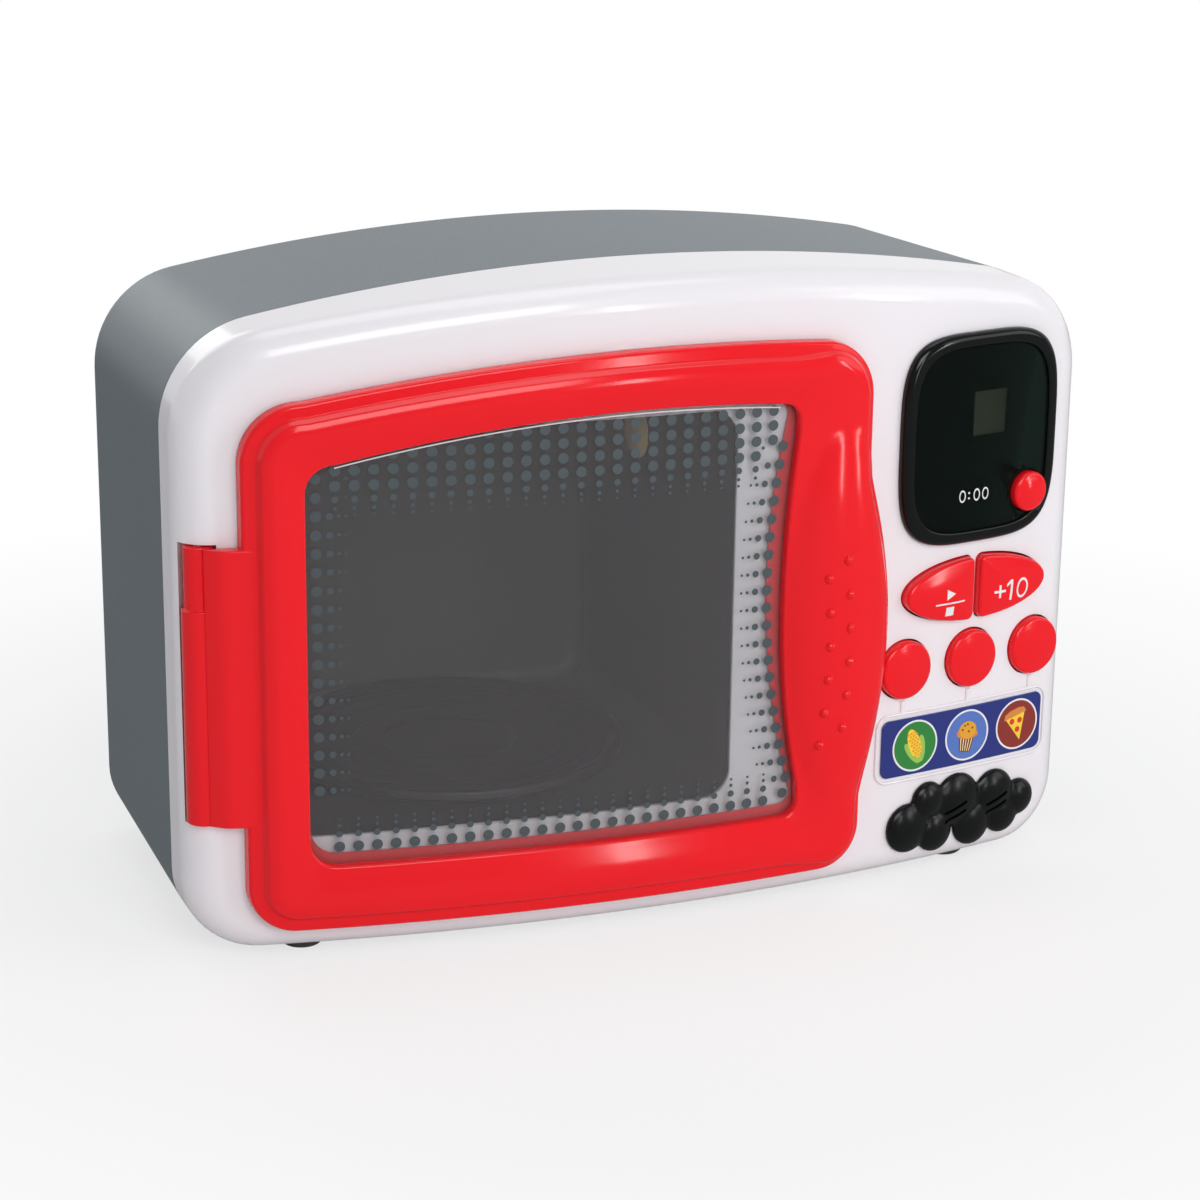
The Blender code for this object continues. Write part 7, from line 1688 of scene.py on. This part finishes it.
def speaker_cover():
    """A lobed relief over the sound holes: swelling lobes with creases between them, and slanted slots."""
    bm = bmesh.new()
    for along, up, size in COVER_LOBE_SHARES:
        u, v, radius = (share * COVER_HALF_WIDTH for share in (along, up, size))
        level = GAP - bow(u)
        rise = COVER_RISE - bow(u) - level
        matrix = Matrix.Translation((u, v, level)) @ Matrix.Diagonal((radius, radius, rise, 1))
        bmesh.ops.create_uvsphere(bm, u_segments=48, v_segments=32, radius=1.0, matrix=matrix)
    mesh = bpy.data.meshes.new("speaker_cover")
    bm.to_mesh(mesh)
    bm.free()
    cover = helper(mesh)
    remesh = cover.modifiers.new("join", "REMESH")
    remesh.mode = "VOXEL"
    remesh.voxel_size = COVER_VOXEL
    smooth = cover.modifiers.new("soften", "SMOOTH")
    smooth.iterations = COVER_SMOOTHING
    baked(cover)
    reach = COVER_HALF_WIDTH * COVER_BASE_SHARE
    edge = [u for u, _ in line(-reach, 0, reach, 0, COVER_BASE_STEPS)] + [reach]
    section = [(u, -COVER_BASE_DEPTH) for u in edge] + [(u, GAP - bow(u)) for u in reversed(edge)]
    ends = (-COVER_HALF_WIDTH, COVER_HALF_WIDTH)
    base = loft("cover_base", [[(u, v, w) for u, w in section] for v in ends], "flat", "flat")
    cuts = [helper(base)]
    half, wide = SLOT_LENGTH / 2, SLOT_WIDTH / 2
    slot = rounded_rectangle(-half, -wide, half, wide, wide * SLOT_ROUND_SHARE, SHOULDER_STEPS)
    tilt = Matrix.Rotation(math.radians(SLOT_TILT_DEG), 4, "Z")
    for share in SLOT_U_SHARES:
        for i in range(SLOT_COUNT):
            z = (i - (SLOT_COUNT - 1) / 2) * SLOT_PITCH
            place = Matrix.Translation((share * COVER_HALF_WIDTH, z, 0)) @ tilt
            cuts.append(slab(slot, COVER_RISE / 3, COVER_RISE * 2, place))
    mesh = smoothed(carved(cover, cuts), 50)
    piece("speaker_cover_fine", mesh, COVER_BLACK, place=on_panel(0, COVER_Z), weighted=False)


# The rest of the nodes

NODE_FINISHES = {
    "battery_box": GREY, "speaker": CHARCOAL, "hinge_pin": STEEL, "spring_contacts": STEEL,
    "plate_contacts": STEEL, "circuit_board": BOARD, "lamp_led": CLEAR, "lcd_panel": LCD,
    "turntable_clip": STEEL,
}
NODE_FINISHES.update({f"case_screw_{i}": STEEL for i in range(1, 5)})
NODE_FINISHES.update({f"board_screw_{i}": STEEL for i in range(1, 5)})
NODE_FINISHES.update({f"cell_{i}": CELL for i in range(1, 4)})


def finish_nodes():
    for name, material in NODE_FINISHES.items():
        mesh = frame["nodes"][name].data
        mesh.materials.clear()
        mesh.materials.append(material)


# Studio

SEEN = ("Is Camera Ray", "Is Transmission Ray")
MIRRORED = "Is Glossy Ray"
PLAIN_WHITE = (1, 1, 1, 1)
# Each lamp's place, width, height and power
LAMPS = {
    "key": ((-0.1, -1.5, 0.95), 0.9, 0.7, 9.5),
    "fill": ((1.3, -0.9, 0.7), 0.9, 0.9, 4),
    "top": ((0.1, 0.1, 1.6), 1.2, 0.8, 4.5),
    "back": ((-0.5, 1.5, 1.0), 0.9, 0.9, 4),
    "strip_near": ((0.44, -1.45, 0.26), 0.07, 0.45, 1.4),
    "strip_far": ((1.02, -1.14, 0.24), 0.07, 0.45, 1.4),
}
LAMP_AIM = (0, 0, 0.1)
CAMERA_LENS = 93.49
CAMERA_PLACE = (-0.356937, -0.885995, 0.381599)
CAMERA_TURN = (1.271457, -0.011687, -0.381197)


def any_ray(tree, *kinds):
    """1 for a ray of one of the kinds, else 0."""
    path = add_node(tree, "LightPath", {}).outputs
    found = path[kinds[0]]
    for kind in kinds[1:]:
        found = add_node(tree, "Math", {0: found, 1: path[kind]}, operation="MAXIMUM").outputs["Value"]
    return found


def ramp(tree, value, start, end, low, high=1.0):
    settings = {"Value": value, "From Min": start, "From Max": end, "To Min": low, "To Max": high}
    return add_node(tree, "MapRange", settings).outputs["Result"]


def world():
    """Soft light for the object. Seen directly the world is white. In gloss it is darker in front."""
    studio = bpy.data.worlds.new("studio")
    bpy.context.scene.world = studio
    studio.use_nodes = True
    tree = studio.node_tree
    soft = tree.nodes["Background"]
    soft.inputs["Color"].default_value = (0.93, 0.95, 1.0, 1)
    soft.inputs["Strength"].default_value = 0.42
    towards = add_node(tree, "TexCoord", {}).outputs["Generated"]
    room = ramp(tree, add_node(tree, "SeparateXYZ", {"Vector": towards}).outputs["Y"], -0.3, 0.5, 0.22)
    level = add_node(tree, "Math", {0: any_ray(tree, *SEEN), 1: room}, operation="MAXIMUM").outputs["Value"]
    backdrop = add_node(tree, "Background", {"Color": PLAIN_WHITE, "Strength": level}).outputs["Background"]
    mixed(tree, any_ray(tree, *SEEN, MIRRORED), soft.outputs["Background"], backdrop, "World Output")


def floor():
    """Paper that keeps the object's shadow near it and runs out to white, and is dim in gloss."""
    bm = bmesh.new()
    bmesh.ops.create_grid(bm, x_segments=24, y_segments=24, size=3.0)
    obj = helper(mesh_from(bm, "floor"))
    material = finish("floor_paper", (240, 240, 240), 0.7, tint=0.005, grain_scale=300)
    obj.data.materials.append(material)
    tree = material.node_tree
    place = add_node(tree, "TexCoord", {}).outputs["Object"]
    far = add_node(tree, "VectorMath", {0: place}, operation="LENGTH").outputs["Value"]
    white = ramp(tree, far, 0.20, 0.45, 0.68)
    share = add_node(tree, "Math", {0: any_ray(tree, *SEEN), 1: white}, operation="MULTIPLY").outputs["Value"]
    glow = add_node(tree, "Emission", {"Color": PLAIN_WHITE}).outputs["Emission"]
    dim = add_node(tree, "Emission", {"Color": PLAIN_WHITE, "Strength": 0.30}).outputs["Emission"]
    paper = mixed(tree, share, tree.nodes["Principled BSDF"].outputs["BSDF"], glow)
    mixed(tree, any_ray(tree, MIRRORED), paper, dim, "Material Output")


def lamps():
    for name, (place, width, height, power) in LAMPS.items():
        light = bpy.data.lights.new(name, "AREA")
        light.shape = "RECTANGLE"
        light.size = width
        light.size_y = height
        light.energy = power
        obj = bpy.data.objects.new(name, light)
        obj.location = place
        obj.rotation_euler = (Vector(LAMP_AIM) - Vector(place)).to_track_quat("-Z", "Y").to_euler()
        obj.visible_camera = False
        bpy.context.scene.collection.objects.link(obj)


def camera():
    """The photograph's angle."""
    lens = bpy.data.cameras.new("camera")
    lens.sensor_width = 36.0
    lens.lens = CAMERA_LENS
    obj = bpy.data.objects.new("camera", lens)
    obj.location = CAMERA_PLACE
    obj.rotation_euler = CAMERA_TURN
    bpy.context.scene.collection.objects.link(obj)
    bpy.context.scene.camera = obj
    bpy.context.scene.view_settings.view_transform = "Standard"


def build():
    hatch_low, hatch_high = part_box("battery_door")
    clear = HATCH_CLEARANCE
    hatch = rounded_rectangle(
        hatch_low.x - clear, HATCH_BOTTOM, hatch_high.x + clear, hatch_high.z + clear, HATCH_CORNER,
    )
    screw_low, screw_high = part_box("battery_door_screw")
    screw = (screw_low.x + screw_high.x) / 2, (screw_low.z + screw_high.z) / 2
    front_shell()
    label_rail()
    rear_shell(hatch)
    battery_door(hatch, HATCH_BOTTOM, *screw)
    battery_door_screw(*screw)
    feet()
    liner()
    lamp()
    turntable()
    grips(door_frame())
    hinge()
    dot_print(pane())
    lens = display()
    for name, u in FOOD_BUTTONS:
        round_button(f"{name}_food", FOOD_RADIUS, u, FOOD_Z, -bow(u))
    round_button("reset", RESET_RADIUS, RESET_U, RESET_Z, BEZEL_HEIGHT - LENS_SINK - bow(RESET_U))
    signs(lens, wide_button("start_stop", -1), wide_button("add_time", 1))
    pictures(label())
    speaker_cover()
    finish_nodes()
    world()
    floor()
    lamps()
    camera()


build()
